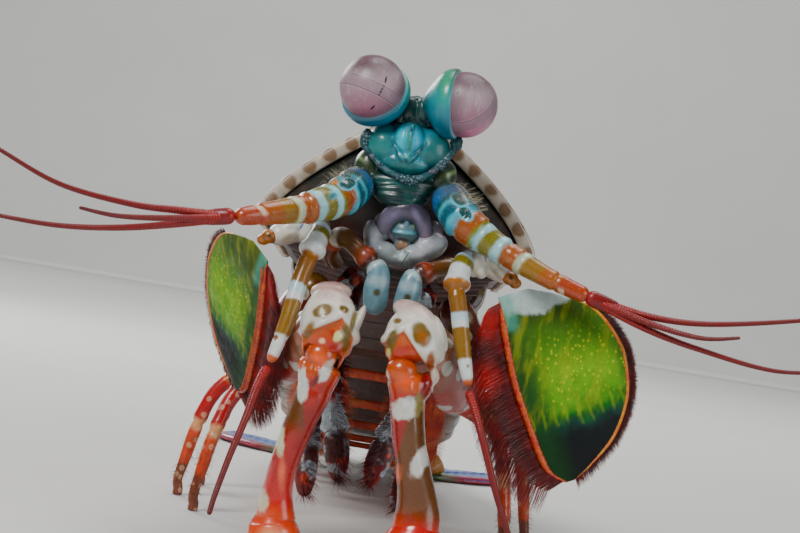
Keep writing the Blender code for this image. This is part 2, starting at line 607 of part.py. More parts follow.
def feelers(model):
    """Both pairs of feelers with their whips, and the blades beside the second pair."""
    for side, s in SIDES.items():
        model.add(f"antennule_{side}", limb(ANTENNULE[side], 10, 2, across=(0.2, 1, 0.3)), "banded")
        first = Vector(FLAGELLA[side][0][0])
        start = first - Vector((KNOB_OVERLAP * s, 0.0, 0.0))
        end = first + Vector((KNOB_RUN.x * s, KNOB_RUN.y, KNOB_RUN.z))
        knob = limb([(*start, 0.7, 0.9), (*end, 0.5, 0.8)], 8, across=(0, 1, 0))
        whips = [whip(points, WHIP_RADII) for points in FLAGELLA[side]]
        model.join(f"antennule_flagella_{side}", [knob, *whips], "whip")
        base = limb(ANTENNA_BASE[side], 8, across=(0.1, 0.3, 1))
        model.join(f"antenna_{side}", [base, limb(ANTENNA_ARM[side], 8, 2)], "banded")
        model.add(f"antenna_whip_{side}", whip(ANTENNA_WHIP[side], ANTENNA_WHIP_RADII), "whip")


def scales(model):
    """The broad blades beside the second feelers."""
    outline = [(part * SCALE_LENGTH, reach) for part, reach in SCALE_OUTER]
    outline += [(part * SCALE_LENGTH, -reach) for part, reach in reversed(SCALE_INNER)]
    for side, (origin, run, across) in SCALES.items():
        run = run.normalized()
        across = (across - run * across.dot(run)).normalized()
        solid = plate(outline, origin, run, across, SCALE_RIM, SCALE_CROWN)
        model.add(f"antennal_scale_{side}", solid, "scale")


def jaw_legs(model):
    """The cleaning pair and the three pairs of small grasping jaw legs around the clubs."""
    for side, s in SIDES.items():
        model.add(f"maxilliped_3_{side}", limb(JAW_LEG_3[side], 8, 2, across=(1, 0.3, 0.2)), "jaw_leg")
        for number, stations in JAW_LEGS.items():
            across = (0, 0.2, 1) if number == 1 else (1, 0, 0)
            held = [(x * s, y, z, wide, deep) for x, y, z, wide, deep in stations]
            model.add(f"maxilliped_{number}_{side}", limb(held, 8, across=across), "jaw_leg")


def raptorial_limbs(model):
    """The striking limbs: merus, domed carpus, shaft-like propodus, and dactyl with its club."""
    for side, segments in RAPTORIAL.items():
        for name, stations in segments.items():
            solid = limb(stations, RAPTORIAL_SIDES, RAPTORIAL_SPANS[name])
            model.add(f"raptorial_{name}_{side}", solid, name)


def walking_legs(model):
    """Three pairs, each ending on a small flat, with a slender side branch above the knee."""
    for number, (where, bend, knee, foot) in enumerate(LEGS, start=1):
        hip = on_trunk(where, 0.0, -table(DEPTH, where) * 1.1 - 0.9)
        for side, s in SIDES.items():
            root = Vector((s * LEG_ROOT_X, hip.y, hip.z))
            ground = Vector((root.x + s * foot[0], root.y + foot[1], 0.0))
            leg = [(*root, 1.7, 1.5),
                   (*(root + Vector((s * bend[0], bend[1], bend[2]))), 1.5, 1.4),
                   (*(root + Vector((s * knee[0], knee[1], knee[2]))), 1.05, 1.0),
                   (ground.x, ground.y, ANKLE_HEIGHT, 0.85, 0.8),
                   (ground.x, ground.y, FOOT_HEIGHT, FOOT_RADIUS, FOOT_RADIUS),
                   (ground.x, ground.y, 0.0, FOOT_RADIUS, FOOT_RADIUS)]
            start = root + Vector((s * bend[0] * BRANCH_ROOT[0], bend[1] * BRANCH_ROOT[1],
                                   bend[2] * BRANCH_ROOT[2]))
            tip = start + Vector((s * BRANCH_RUN.x, BRANCH_RUN.y, BRANCH_RUN.z))
            branch = [(*start, 0.6, 0.6), (*((start + tip) / 2), 0.55, 0.55), (*tip, 0.4, 0.4)]
            solids = [limb(leg, LEG_SIDES), limb(branch, 6, across=(0, 0.3, 1))]
            model.join(f"walking_leg_{number}_{side}", solids, "leg")


def main():
    wipe_scene()
    model = Model()
    carapace(model)
    thorax_front(model)
    rostral_plate(model)
    model.add("head", stack(HEAD_LEVELS, 0.0, 14, 0.8), "face")
    model.add("mouth", stack(MOUTH_LEVELS, MOUTH_X, 14, 1.0), "mouth")
    eyes(model)
    feelers(model)
    scales(model)
    jaw_legs(model)
    raptorial_limbs(model)
    tail = somites(model)
    telson(model, tail)
    uropods(model, tail)
    pleopods(model)
    walking_legs(model)


main()
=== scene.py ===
"""Finished look of the mantis shrimp model, laid out as a Blender add-on and run as a script.

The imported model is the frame: every piece here stands where its solids stand. Sizes are millimetres
beside the eyes, as in the part's source, and become metres in place().
"""
import functools
import math
import random

import bmesh
import bpy
from mathutils import Matrix, Vector, noise


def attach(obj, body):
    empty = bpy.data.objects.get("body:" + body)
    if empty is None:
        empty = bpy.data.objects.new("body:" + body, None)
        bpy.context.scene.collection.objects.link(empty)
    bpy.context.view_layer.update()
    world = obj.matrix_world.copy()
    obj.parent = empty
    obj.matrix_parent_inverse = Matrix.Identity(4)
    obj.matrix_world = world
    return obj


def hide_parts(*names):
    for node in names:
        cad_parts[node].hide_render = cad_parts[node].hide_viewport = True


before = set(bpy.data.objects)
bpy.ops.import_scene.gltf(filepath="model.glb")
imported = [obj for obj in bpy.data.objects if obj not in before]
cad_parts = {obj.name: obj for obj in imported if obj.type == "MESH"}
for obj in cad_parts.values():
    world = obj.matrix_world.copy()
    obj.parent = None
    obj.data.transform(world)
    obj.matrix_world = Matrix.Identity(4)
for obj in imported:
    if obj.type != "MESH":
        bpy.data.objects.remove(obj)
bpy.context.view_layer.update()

bl_info = {
    "name": "Mantis shrimp model",
    "version": (1, 0, 0),
    "blender": (4, 5, 0),
    "location": "3D View > Sidebar > Mantis shrimp",
    "description": "Builds the finished pieces of a life-size mantis shrimp on its solid frame",
    "category": "Object",
}

MM = 0.001
MERGE = 3e-7
SIDES = {"right": -1.0, "left": 1.0}
SEED = 11

# Place of the eyes in the frame
EYES_X = -2.6
EYES_Y = -63.9

# Trunk line and the lengths along it
TRUNK_START = Vector((0.0, 9.0, 50.0))
TRUNK_STEP = 0.5
SLOPE = ((-3, 3), (7, 16), (33, 20), (45, 27), (58, 30), (75, 24), (95, 16), (115, 9), (130, 5))
CARAPACE_LENGTH = 33.0
THORAX_SOMITE = 6.25
ABDOMEN_SOMITES = (12.0, 12.0, 12.0, 12.0, 11.5, 10.0)
GAP = 0.3

# Free part of the trunk
HALF_WIDTH = ((33, 14.6), (40, 13.4), (58, 14.4), (75, 15.4), (100, 15.0), (117, 13.2), (130, 11.6))
HEIGHT = ((33, 9.2), (58, 9.0), (80, 8.8), (105, 7.6), (130, 5.6))
DEPTH = ((33, 7.0), (56, 6.0), (62, 4.2), (105, 3.6), (130, 2.8))
BACK_POWER = 0.9
SIDE_POWER = 0.5
BELLY_POWER = 0.45
LOBE_DROP = 0.28

# Carapace and the body under it
ARCH_HALF_WIDTH = ((0, 18.6), (12, 18.0), (33, 15.6))
ARCH_TOP = ((0, 8.6), (12, 9.8), (33, 9.6))
ARCH_EDGE = ((0, -7.6), (14, -6.2), (33, -3.6))
ARCH_POWER = ((0, 1.18), (12, 1.6), (33, 2.35))
SHELL = 1.0
CORNER_SET_BACK = 3.6
CORNER_LENGTH = 12.0
FRONT_FILL = ((-2.6, 0.46), (-0.6, 0.72), (3.0, 0.92), (8.0, 1.0), (18.0, 1.0), (32.7, 1.0))
BELLY_DEPTH = ((-3, 11.2), (10, 10.6), (33, 7.0))
BELLY_SPREAD = 0.76
BELLY_ROUND = 1.8

# Telson and tail fan
TELSON_SLOPE = 13.0
TELSON_LIFT = 0.8
UROPOD_BLADES = ((23.0, 10.4, 38.0, 1.5), (18.5, 7.6, 10.0, 1.3))
UROPOD_ROOT = (12.6, 4.0)
UROPOD_ARM = ((10.2, 0.2, 5.2, 2.2, 1.6), (12.4, 2.4, 3.4, 2.8, 1.5), (13.6, 6.5, 1.3, 2.6, 0.9))
PLEOPODS = ((12.0, 30), (12.0, 34), (10.5, 42), (9.0, 54), (7.5, 66))

# Eyes: centre and the way each looks
EYE_RADIUS = 4.1
EYES = {
    "right": (Vector((-5.7, 0.0, 59.9)), Vector((-0.38, -0.79, 0.48))),
    "left": (Vector((5.9, 0.0, 59.7)), Vector((0.962, -0.258, 0.087))),
}

# First feelers and their whips
ANTENNULE = {
    "left": ((5.8, 1.6, 49.2, 1.6, 1.6), (6.2, -0.6, 47.6, 2.4, 2.4), (8.2, -3.0, 45.3, 2.4, 2.4),
             (11.9, -4.0, 43.2, 1.8, 1.8), (15.6, -5.0, 41.6, 1.5, 1.5),
             (19.2, -6.0, 40.2, 1.25, 1.25),
             (24.4, -7.0, 38.7, 0.95, 0.95)),
    "right": ((-5.8, 1.6, 49.2, 1.6, 1.6), (-5.9, -1.0, 47.4, 2.4, 2.4),
              (-7.4, -4.0, 45.6, 2.3, 2.3),
              (-9.4, -6.5, 44.4, 2.1, 2.1), (-11.9, -9.0, 43.3, 1.7, 1.7),
              (-15.8, -13.0, 42.0, 1.3, 1.3),
              (-18.7, -15.0, 41.1, 0.95, 0.95)),
}
FLAGELLA = {
    "left": (
        ((24.9, -7.0, 38.6), (31.9, -8.0, 37.6), (39.0, -9.0, 37.9), (49.4, -10.0, 40.1),
         (55.4, -10.0, 42.1)),
        ((24.9, -7.0, 38.5), (31.9, -9.0, 36.8), (38.0, -10.5, 36.1), (42.5, -11.5, 36.9)),
        ((24.9, -7.0, 38.4), (31.6, -8.2, 36.1), (38.3, -9.0, 34.7), (47.5, -10.5, 33.7),
         (55.8, -12.0, 35.1)),
    ),
    "right": (
        ((-19.5, -15.5, 41.1), (-24.9, -17.0, 40.8), (-30.5, -19.0, 40.6), (-38.5, -21.0, 41.5),
         (-45.7, -22.0, 44.2), (-50.6, -22.0, 46.2)),
        ((-19.5, -15.5, 41.0), (-24.7, -18.2, 39.9), (-31.1, -21.4, 39.0), (-35.5, -23.6, 39.2)),
        ((-19.5, -15.5, 40.9), (-24.7, -17.0, 39.3), (-31.2, -19.0, 37.7), (-37.9, -20.0, 36.8),
         (-44.6, -21.0, 36.8), (-49.3, -21.0, 37.2)),
    ),
}

# Second feelers
ANTENNA_BASE = {
    "left": ((9.8, 5.0, 43.4, 1.7, 1.7), (10.8, 1.4, 41.9, 1.9, 1.9), (12.6, -0.6, 40.7, 1.7, 1.7),
             (15.0, -2.2, 39.5, 1.2, 1.2)),
    "right": ((-9.8, 5.0, 43.4, 1.7, 1.7), (-10.8, 1.4, 42.2, 1.9, 1.9),
              (-12.8, -1.4, 40.7, 1.6, 1.6),
              (-15.2, -2.6, 39.4, 1.2, 1.2)),
}
ANTENNA_ARM = {
    "left": ((10.4, 0.6, 41.4, 1.2, 1.2), (8.9, -2.6, 40.2, 1.35, 1.35),
             (8.5, -5.0, 37.3, 1.4, 1.4),
             (9.2, -6.0, 34.6, 1.3, 1.3), (10.3, -7.0, 30.5, 1.25, 1.25),
             (11.8, -8.0, 25.8, 0.8, 0.8)),
    "right": ((-10.0, 0.4, 42.2, 1.2, 1.2), (-9.1, -2.2, 41.3, 1.35, 1.35),
              (-9.4, -5.2, 39.4, 1.4, 1.4),
              (-10.3, -7.6, 35.0, 1.35, 1.35), (-10.9, -9.0, 30.1, 1.25, 1.25),
              (-12.1, -10.0, 24.8, 0.8, 0.8)),
}
ANTENNA_WHIP = {
    "left": ((11.9, -8.1, 25.2), (13.1, -9.0, 22.9), (14.7, -10.0, 19.3), (16.8, -11.0, 14.3),
             (19.1, -12.0, 9.6), (20.6, -12.0, 6.2)),
    "right": ((-12.25, -10.1, 24.3), (-13.0, -11.0, 22.0), (-13.8, -12.0, 17.7),
              (-14.8, -13.0, 13.4),
              (-15.7, -14.0, 8.6), (-16.0, -14.5, 6.2)),
}

# Blades of the second feelers
SCALE_LENGTH = 25.0
SCALE_OUTER = ((0.0, 1.6), (0.08, 5.4), (0.2, 9.3), (0.4, 11.3), (0.55, 11.2), (0.7, 10.1),
               (0.86, 7.2),
               (0.97, 3.2), (1.02, 0.9))
SCALE_INNER = ((0.0, 2.4), (0.4, 3.3), (0.65, 3.1), (0.92, 2.4), (1.02, 0.6))
SCALES = {
    "left": (Vector((15.9, -3.4, 37.9)), Vector((10.6, 1.0, -22.6)), Vector((0.9, 0.1, 0.42))),
    "right": (Vector((-16.1, -3.6, 37.9)), Vector((-0.9, 16.0, -19.1)), Vector((-0.6, 0.6, 0.53))),
}

# Striking limbs: each station is a place and two half sizes
RAPTORIAL = {
    "left": {
        "carpus": ((2.8, -7.6, 34.0, 0.9, 0.9), (3.4, -8.0, 33.0, 2.4, 2.4),
                   (4.2, -8.4, 30.8, 3.5, 3.6),
                   (4.6, -8.8, 28.6, 3.7, 3.7), (4.8, -9.0, 27.0, 3.0, 3.0)),
        "propodus": ((4.7, -9.2, 26.5, 2.7, 2.8), (4.8, -9.2, 24.6, 2.6, 2.9),
                     (4.9, -9.2, 22.4, 2.1, 2.8),
                     (5.9, -9.0, 18.0, 2.0, 2.7), (7.1, -8.7, 14.0, 2.15, 2.5),
                     (8.0, -8.4, 10.8, 2.5, 2.3),
                     (8.3, -8.3, 9.0, 2.8, 2.5), (8.35, -8.3, 7.4, 3.0, 2.7)),
        "dactyl": ((8.5, -8.6, 1.0, 1.0, 1.0), (8.5, -8.5, 1.9, 2.9, 2.7),
                   (8.5, -8.3, 4.4, 3.9, 3.8),
                   (8.4, -8.1, 6.6, 3.7, 3.6), (8.3, -7.6, 8.3, 2.6, 2.6),
                   (8.1, -5.2, 9.6, 1.3, 1.2),
                   (7.0, -4.5, 14.0, 0.95, 0.8), (5.6, -4.8, 20.6, 0.4, 0.4)),
        "merus": ((8.2, 16.5, 35.6, 2.2, 2.2), (11.0, 17.0, 31.4, 2.6, 2.6),
                  (12.4, 14.0, 26.6, 2.9, 3.8),
                  (10.4, 6.5, 25.8, 2.9, 4.6), (6.8, -0.8, 28.6, 2.8, 3.8),
                  (5.2, -3.8, 29.8, 2.0, 2.4)),
    },
    "right": {
        "carpus": ((-5.9, -7.6, 34.7, 0.9, 0.9), (-6.0, -8.0, 33.6, 2.3, 2.3),
                   (-6.0, -8.4, 31.2, 3.3, 3.4),
                   (-5.7, -8.8, 28.6, 3.4, 3.6), (-5.9, -9.0, 26.4, 2.9, 3.0)),
        "propodus": ((-6.0, -9.2, 25.9, 2.5, 2.8), (-6.2, -9.2, 24.2, 2.4, 2.9),
                     (-6.5, -9.2, 21.6, 2.1, 2.8),
                     (-7.6, -9.0, 17.4, 1.85, 2.7), (-8.5, -8.7, 12.8, 1.7, 2.4),
                     (-8.8, -8.4, 9.4, 1.9, 2.1), (-8.7, -8.3, 7.6, 2.2, 2.3),
                     (-8.5, -8.3, 6.0, 2.5, 2.5)),
        "dactyl": ((-8.3, -8.6, 0.6, 1.0, 1.0), (-8.3, -8.5, 1.3, 2.6, 2.5),
                   (-8.3, -8.3, 3.5, 3.4, 3.5),
                   (-8.5, -8.1, 5.2, 3.1, 3.3), (-8.6, -7.6, 6.8, 2.2, 2.3),
                   (-8.5, -5.2, 8.2, 1.3, 1.2),
                   (-8.0, -4.5, 12.6, 0.95, 0.8), (-7.0, -4.8, 19.6, 0.4, 0.4)),
        "merus": ((-8.2, 16.5, 35.6, 2.2, 2.2), (-11.0, 17.0, 31.4, 2.6, 2.6),
                  (-12.4, 14.0, 26.6, 2.9, 3.8),
                  (-11.0, 6.5, 25.8, 2.9, 4.6), (-8.0, -0.8, 28.2, 2.8, 3.8),
                  (-6.7, -3.8, 29.4, 2.0, 2.4)),
    },
}

# Jaw legs
JAW_LEG_3 = {
    "left": ((6.8, 7.6, 37.6, 1.2, 1.2), (8.2, 4.0, 38.9, 1.3, 1.3), (7.3, 0.2, 39.4, 1.3, 1.3),
             (5.0, -1.6, 38.6, 1.3, 1.3), (3.2, -2.6, 37.4, 1.35, 1.3),
             (2.9, -3.0, 35.4, 1.6, 1.25),
             (2.7, -2.8, 33.6, 1.5, 1.15), (2.5, -2.6, 32.2, 1.15, 0.95)),
    "right": ((-6.6, 7.6, 37.6, 1.2, 1.2), (-7.8, 4.0, 39.4, 1.3, 1.3), (-6.4, 0.0, 41.0, 1.3, 1.3),
              (-3.6, -1.8, 39.4, 1.3, 1.3), (-1.3, -2.6, 37.6, 1.35, 1.3),
              (-1.1, -3.0, 35.4, 1.6, 1.25),
              (-1.0, -2.8, 33.6, 1.5, 1.15), (-0.9, -2.6, 32.2, 1.15, 0.95)),
}
JAW_LEGS = {
    1: ((4.4, 10.0, 37.2, 0.9, 0.9), (5.6, 7.4, 35.0, 0.9, 0.9), (5.4, 4.0, 34.6, 0.8, 0.8),
        (4.0, 1.8, 36.0, 0.7, 0.7), (3.2, 1.4, 37.2, 0.5, 0.5)),
    4: ((4.0, 14.0, 36.2, 1.3, 1.3), (4.6, 9.0, 30.0, 1.3, 1.3), (4.6, 3.4, 22.6, 1.2, 1.2),
        (3.4, 1.0, 17.6, 1.6, 1.1), (2.4, 0.0, 13.6, 1.5, 1.0), (2.1, 0.0, 11.0, 0.7, 0.5)),
    5: ((4.6, 20.0, 34.8, 1.3, 1.3), (5.4, 17.6, 26.0, 1.3, 1.3), (6.4, 13.0, 19.0, 1.2, 1.2),
        (6.6, 9.4, 13.6, 1.6, 1.1), (6.2, 7.8, 10.0, 1.4, 1.0), (6.0, 7.6, 7.6, 0.7, 0.5)),
}

# Walking legs
LEGS = (
    (42.4, (3.4, -2.6, -5.2), (10.4, -8.6, -12.8), (13.2, -11.4)),
    (48.6, (4.2, -0.4, -4.6), (13.6, -1.4, -10.8), (17.0, -2.0)),
    (54.9, (3.6, 2.4, -4.4), (11.6, 7.4, -9.2), (15.2, 9.4)),
)
LEG_ROOT_X = 8.6
FOOT_RADIUS = 0.75
BRANCH_RUN = Vector((6.2, 4.2, -2.7))
BRANCH_ROOT = (1.7, 1.7, 1.25)

# Camera: where it stands beside the eyes, its turn about its own axis and half the width it sees
CAMERA = Vector((1.3, -260.0, 38.6))
CAMERA_ROLL = 9.5
HALF_VIEW = 49.6
SENSOR = 36.0


RICHNESS = 1.3
DEPTH_OF_TONE = 0.86


def srgb(red, green, blue):
    """A colour read in 0 to 255 steps as a linear one, made richer to offset the pale studio."""
    def linear(step):
        part = step / 255.0
        return part / 12.92 if part <= 0.04045 else ((part + 0.055) / 1.055) ** 2.4
    parts = [linear(red), linear(green), linear(blue)]
    grey = 0.21 * parts[0] + 0.72 * parts[1] + 0.07 * parts[2]
    return (*(min(1.0,
                  max(0.0, grey + (part - grey) * RICHNESS)) * DEPTH_OF_TONE for part in parts),
                  1.0)


def place(point):
    """Millimetres beside the eyes to metres in the model's frame."""
    return Vector((point[0] + EYES_X, point[1] + EYES_Y, point[2])) * MM


def table(steps, where):
    """Read pairs of place and value, with straight runs between them."""
    if where <= steps[0][0]:
        return steps[0][1]
    for (a, low), (b, high) in zip(steps, steps[1:]):
        if where <= b:
            return low + (high - low) * (where - a) / (b - a)
    return steps[-1][1]


def smooth(points, spans):
    """Rows of numbers on one smooth curve through the given rows."""
    ends = [points[0], *points, points[-1]]
    rows = []
    for a, b, c, d in zip(ends, ends[1:], ends[2:], ends[3:]):
        for step in range(spans):
            t = step / spans
            rows.append(tuple(
                0.5 * (2 * q + (r - p) * t + (2 * p - 5 * q + 4 * r - s) * t * t
                       + (3 * q - p - 3 * r + s) * t ** 3)
                for p, q, r, s in zip(a, b, c, d)))
    rows.append(tuple(points[-1]))
    return rows


def bent(value, power):
    """Signed power of a sine or cosine, which squares or sharpens an oval."""
    return math.copysign(abs(value) ** power, value)


def ease(value, low, high):
    """0 below low, 1 above high and a smooth step between."""
    part = min(1.0, max(0.0, (value - low) / (high - low)))
    return part * part * (3.0 - 2.0 * part)


def hump(value, middle, width):
    """A smooth bump of height 1."""
    return math.exp(-((value - middle) / width) ** 2)


def rough(point, scale, seed=0.0):
    """Smooth noise between about -1 and 1 at a place in millimetres."""
    return noise.noise(Vector((point[0] * scale + seed, point[1] * scale, point[2] * scale)))


def upright(length, turn):
    """A vector of this length in the plane of the trunk, leaning back by a turn."""
    return Vector((0.0, length * math.sin(turn), length * math.cos(turn)))


@functools.lru_cache(maxsize=None)
def trunk(where):
    """Point and slope of the trunk line at a length along it."""
    y, z = TRUNK_START.y, TRUNK_START.z
    steps = max(1, math.ceil(abs(where) / TRUNK_STEP))
    step = where / steps
    for k in range(steps):
        slope = math.radians(table(SLOPE, (k + 0.5) * step))
        y += step * math.cos(slope)
        z -= step * math.sin(slope)
    return Vector((0.0, y, z)), math.radians(table(SLOPE, where))


def on_trunk(where, side, lift):
    """A point beside and above the trunk line, square to it."""
    point, slope = trunk(where)
    return point + Vector((side, 0.0, 0.0)) + upright(lift, slope)


class Path:
    """A smooth line through stations, with the half sizes of what runs along it."""

    STEPS = 24

    def __init__(self, stations, across=(1, 0, 0)):
        rows = smooth(stations, self.STEPS)
        self.points = [Vector(row[:3]) for row in rows]
        self.sizes = [row[3:5] for row in rows]
        last = len(rows) - 1
        across = Vector(across)
        self.ways, self.wides, self.deeps, self.marks = [], [], [], [0.0]
        for k in range(last + 1):
            way = (self.points[min(k + 1, last)] - self.points[max(k - 1, 0)]).normalized()
            wide = (across - way * across.dot(way)).normalized()
            self.ways.append(way)
            self.wides.append(wide)
            self.deeps.append(way.cross(wide))
        for a, b in zip(self.points, self.points[1:]):
            self.marks.append(self.marks[-1] + (b - a).length)
        self.length = self.marks[-1]

    def at(self, s):
        """Centre, direction, two cross axes and two half sizes at a distance along."""
        s = min(max(s, 0.0), self.length)
        low, high = 0, len(self.marks) - 1
        while high - low > 1:
            middle = (low + high) // 2
            if self.marks[middle] <= s:
                low = middle
            else:
                high = middle
        t = (s - self.marks[low]) / max(1e-9, self.marks[high] - self.marks[low])

        def between(rows):
            return rows[low].lerp(rows[high], t)
        a = self.sizes[low][0] + (self.sizes[high][0] - self.sizes[low][0]) * t
        b = self.sizes[low][1] + (self.sizes[high][1] - self.sizes[low][1]) * t
        return between(self.points), between(self.ways), between(self.wides), between(self.deeps), a, b


def sheet_of(around, along, shape):
    """A grid of quads laid on a shape, which gives a point and its pattern place for each grid place."""
    bm = bmesh.new()
    bmesh.ops.create_grid(bm, x_segments=around, y_segments=along, size=0.5)
    layer = bm.loops.layers.uv.new("Pattern")
    spots = [shape(vert.co.x + 0.5, vert.co.y + 0.5) for vert in bm.verts]
    bm.verts.index_update()
    for face in bm.faces:
        for loop in face.loops:
            loop[layer].uv = spots[loop.vert.index][1]
    for vert, (point, _) in zip(bm.verts, spots):
        vert.co = place(point)
    bmesh.ops.remove_doubles(bm, verts=bm.verts, dist=MERGE)
    bmesh.ops.dissolve_degenerate(bm, dist=MERGE / 10, edges=bm.edges)
    return bm


END_DENSITY = 0.115


def limb(path, around, along, swell=None, blunt=(1.0, 1.0), power=1.0, twist=0.0):
    """A closed limb along a path. Swell gives the part of its half sizes by turn and distance."""
    def shape(u, v):
        s = path.length * (v - END_DENSITY * math.sin(math.tau * v))
        turn = math.tau * (u + twist)
        centre, _, wide, deep, a, b = path.at(s)
        part = 1.0
        for rest, end in ((s, blunt[0] * (a + b) / 2), (path.length - s, blunt[1] * (a + b) / 2)):
            if rest < end:
                part *= math.sqrt(max(0.0, 1.0 - (1.0 - rest / end) ** 2))
        if swell:
            part *= swell(turn, s)
        point = (centre + wide * a * part * bent(math.cos(turn), power)
                 + deep * b * part * bent(math.sin(turn), power))
        return point, (u, s / path.length)
    return sheet_of(around, along, shape)


def ball(bm, centre, radii, turned=None, rings=24):
    """Add a round lump to a mesh."""
    made = bmesh.ops.create_uvsphere(bm, u_segments=rings + 8, v_segments=rings, radius=1.0)
    matrix = Matrix.Diagonal((*[r * MM for r in radii], 1.0))
    if turned is not None:
        matrix = turned.to_matrix().to_4x4() @ matrix
    matrix = Matrix.Translation(place(centre)) @ matrix
    bmesh.ops.transform(bm, matrix=matrix, verts=made["verts"])
    return made["verts"]


def joined(*meshes):
    """One mesh of several, each kept as its own shell."""
    whole = bmesh.new()
    for bm in meshes:
        part = bpy.data.meshes.new("part")
        bm.to_mesh(part)
        bm.free()
        whole.from_mesh(part)
        bpy.data.meshes.remove(part)
    return whole


def piece(name, bm, finish, node):
    """A finished piece that stands for a node of the frame."""
    bmesh.ops.recalc_face_normals(bm, faces=bm.faces)
    mesh = bpy.data.meshes.new(name)
    bm.to_mesh(mesh)
    bm.free()
    mesh.shade_smooth()
    mesh.materials.append(finish)
    made = bpy.data.objects.new(name, mesh)
    bpy.context.scene.collection.objects.link(made)
    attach(made, "root")
    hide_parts(node)
    return made


def settle(made):
    """Give an object the mesh that its modifiers make."""
    shaped = bpy.data.meshes.new_from_object(made.evaluated_get(bpy.context.evaluated_depsgraph_get()))
    made.modifiers.clear()
    made.data = shaped
    return made


def melted(name, bm, finish, node, voxel, soften):
    """A piece whose overlapping lumps are merged into one skin and softened."""
    made = piece(name, bm, finish, node)
    merge = made.modifiers.new("merge", "REMESH")
    merge.mode = "VOXEL"
    merge.voxel_size = voxel * MM
    merge.use_smooth_shade = True
    relax = made.modifiers.new("soften", "SMOOTH")
    relax.factor = 0.5
    relax.iterations = soften
    settle(made)
    made.data.shade_smooth()
    if not made.data.materials:
        made.data.materials.append(finish)
    return made


def raised(made, lift):
    """Move each point of a piece along its normal by a height read at its place in millimetres."""
    normals = [vert.normal.copy() for vert in made.data.vertices]
    for vert, normal in zip(made.data.vertices, normals):
        point = vert.co / MM - Vector((EYES_X, EYES_Y, 0.0))
        vert.co += normal * lift(point, normal) * MM
    made.data.update()
    return made


def bristles(name, hairs, finish, node):
    """Fine solid hairs, each a line of points with a radius and the place of its root on the skin."""
    curve = bpy.data.curves.new(name, "CURVE")
    curve.dimensions = "3D"
    curve.bevel_depth = MM
    curve.bevel_resolution = 0
    curve.use_fill_caps = True
    for points, radius, _ in hairs:
        line = curve.splines.new("POLY")
        line.points.add(len(points) - 1)
        for k, (spot, point) in enumerate(zip(line.points, points)):
            spot.co = (*place(point), 1.0)
            spot.radius = radius * (1.0 - 0.85 * k / (len(points) - 1))
    strand = bpy.data.objects.new(name + "_lines", curve)
    bpy.context.scene.collection.objects.link(strand)
    mesh = bpy.data.meshes.new_from_object(strand.evaluated_get(bpy.context.evaluated_depsgraph_get()))
    bpy.data.objects.remove(strand, do_unlink=True)
    bpy.data.curves.remove(curve)
    bm = bmesh.new()
    bm.from_mesh(mesh)
    bpy.data.meshes.remove(mesh)
    bm.verts.index_update()
    layer = bm.loops.layers.uv.get("OFBake") or bm.loops.layers.uv.new("OFBake")
    starts = [0]
    for points, _, _ in hairs:
        starts.append(starts[-1] + 4 * len(points) + 8)
    owner = [k for k, (a, b) in enumerate(zip(starts, starts[1:])) for _ in range(b - a)]
    if len(owner) != len(bm.verts):
        raise RuntimeError(f"{name}: {len(bm.verts)} points where {len(owner)} were expected")
    for face in bm.faces:
        for loop in face.loops:
            k = owner[loop.vert.index]
            corner = (loop.vert.index - starts[k]) % 4
            root = hairs[k][2]
            loop[layer].uv = (root[0] + 0.0015 * (corner in (1, 2)),
                              root[1] + 0.0015 * (corner > 1))
    bmesh.ops.remove_doubles(bm, verts=bm.verts, dist=MERGE)
    return piece(name, bm, finish, node)


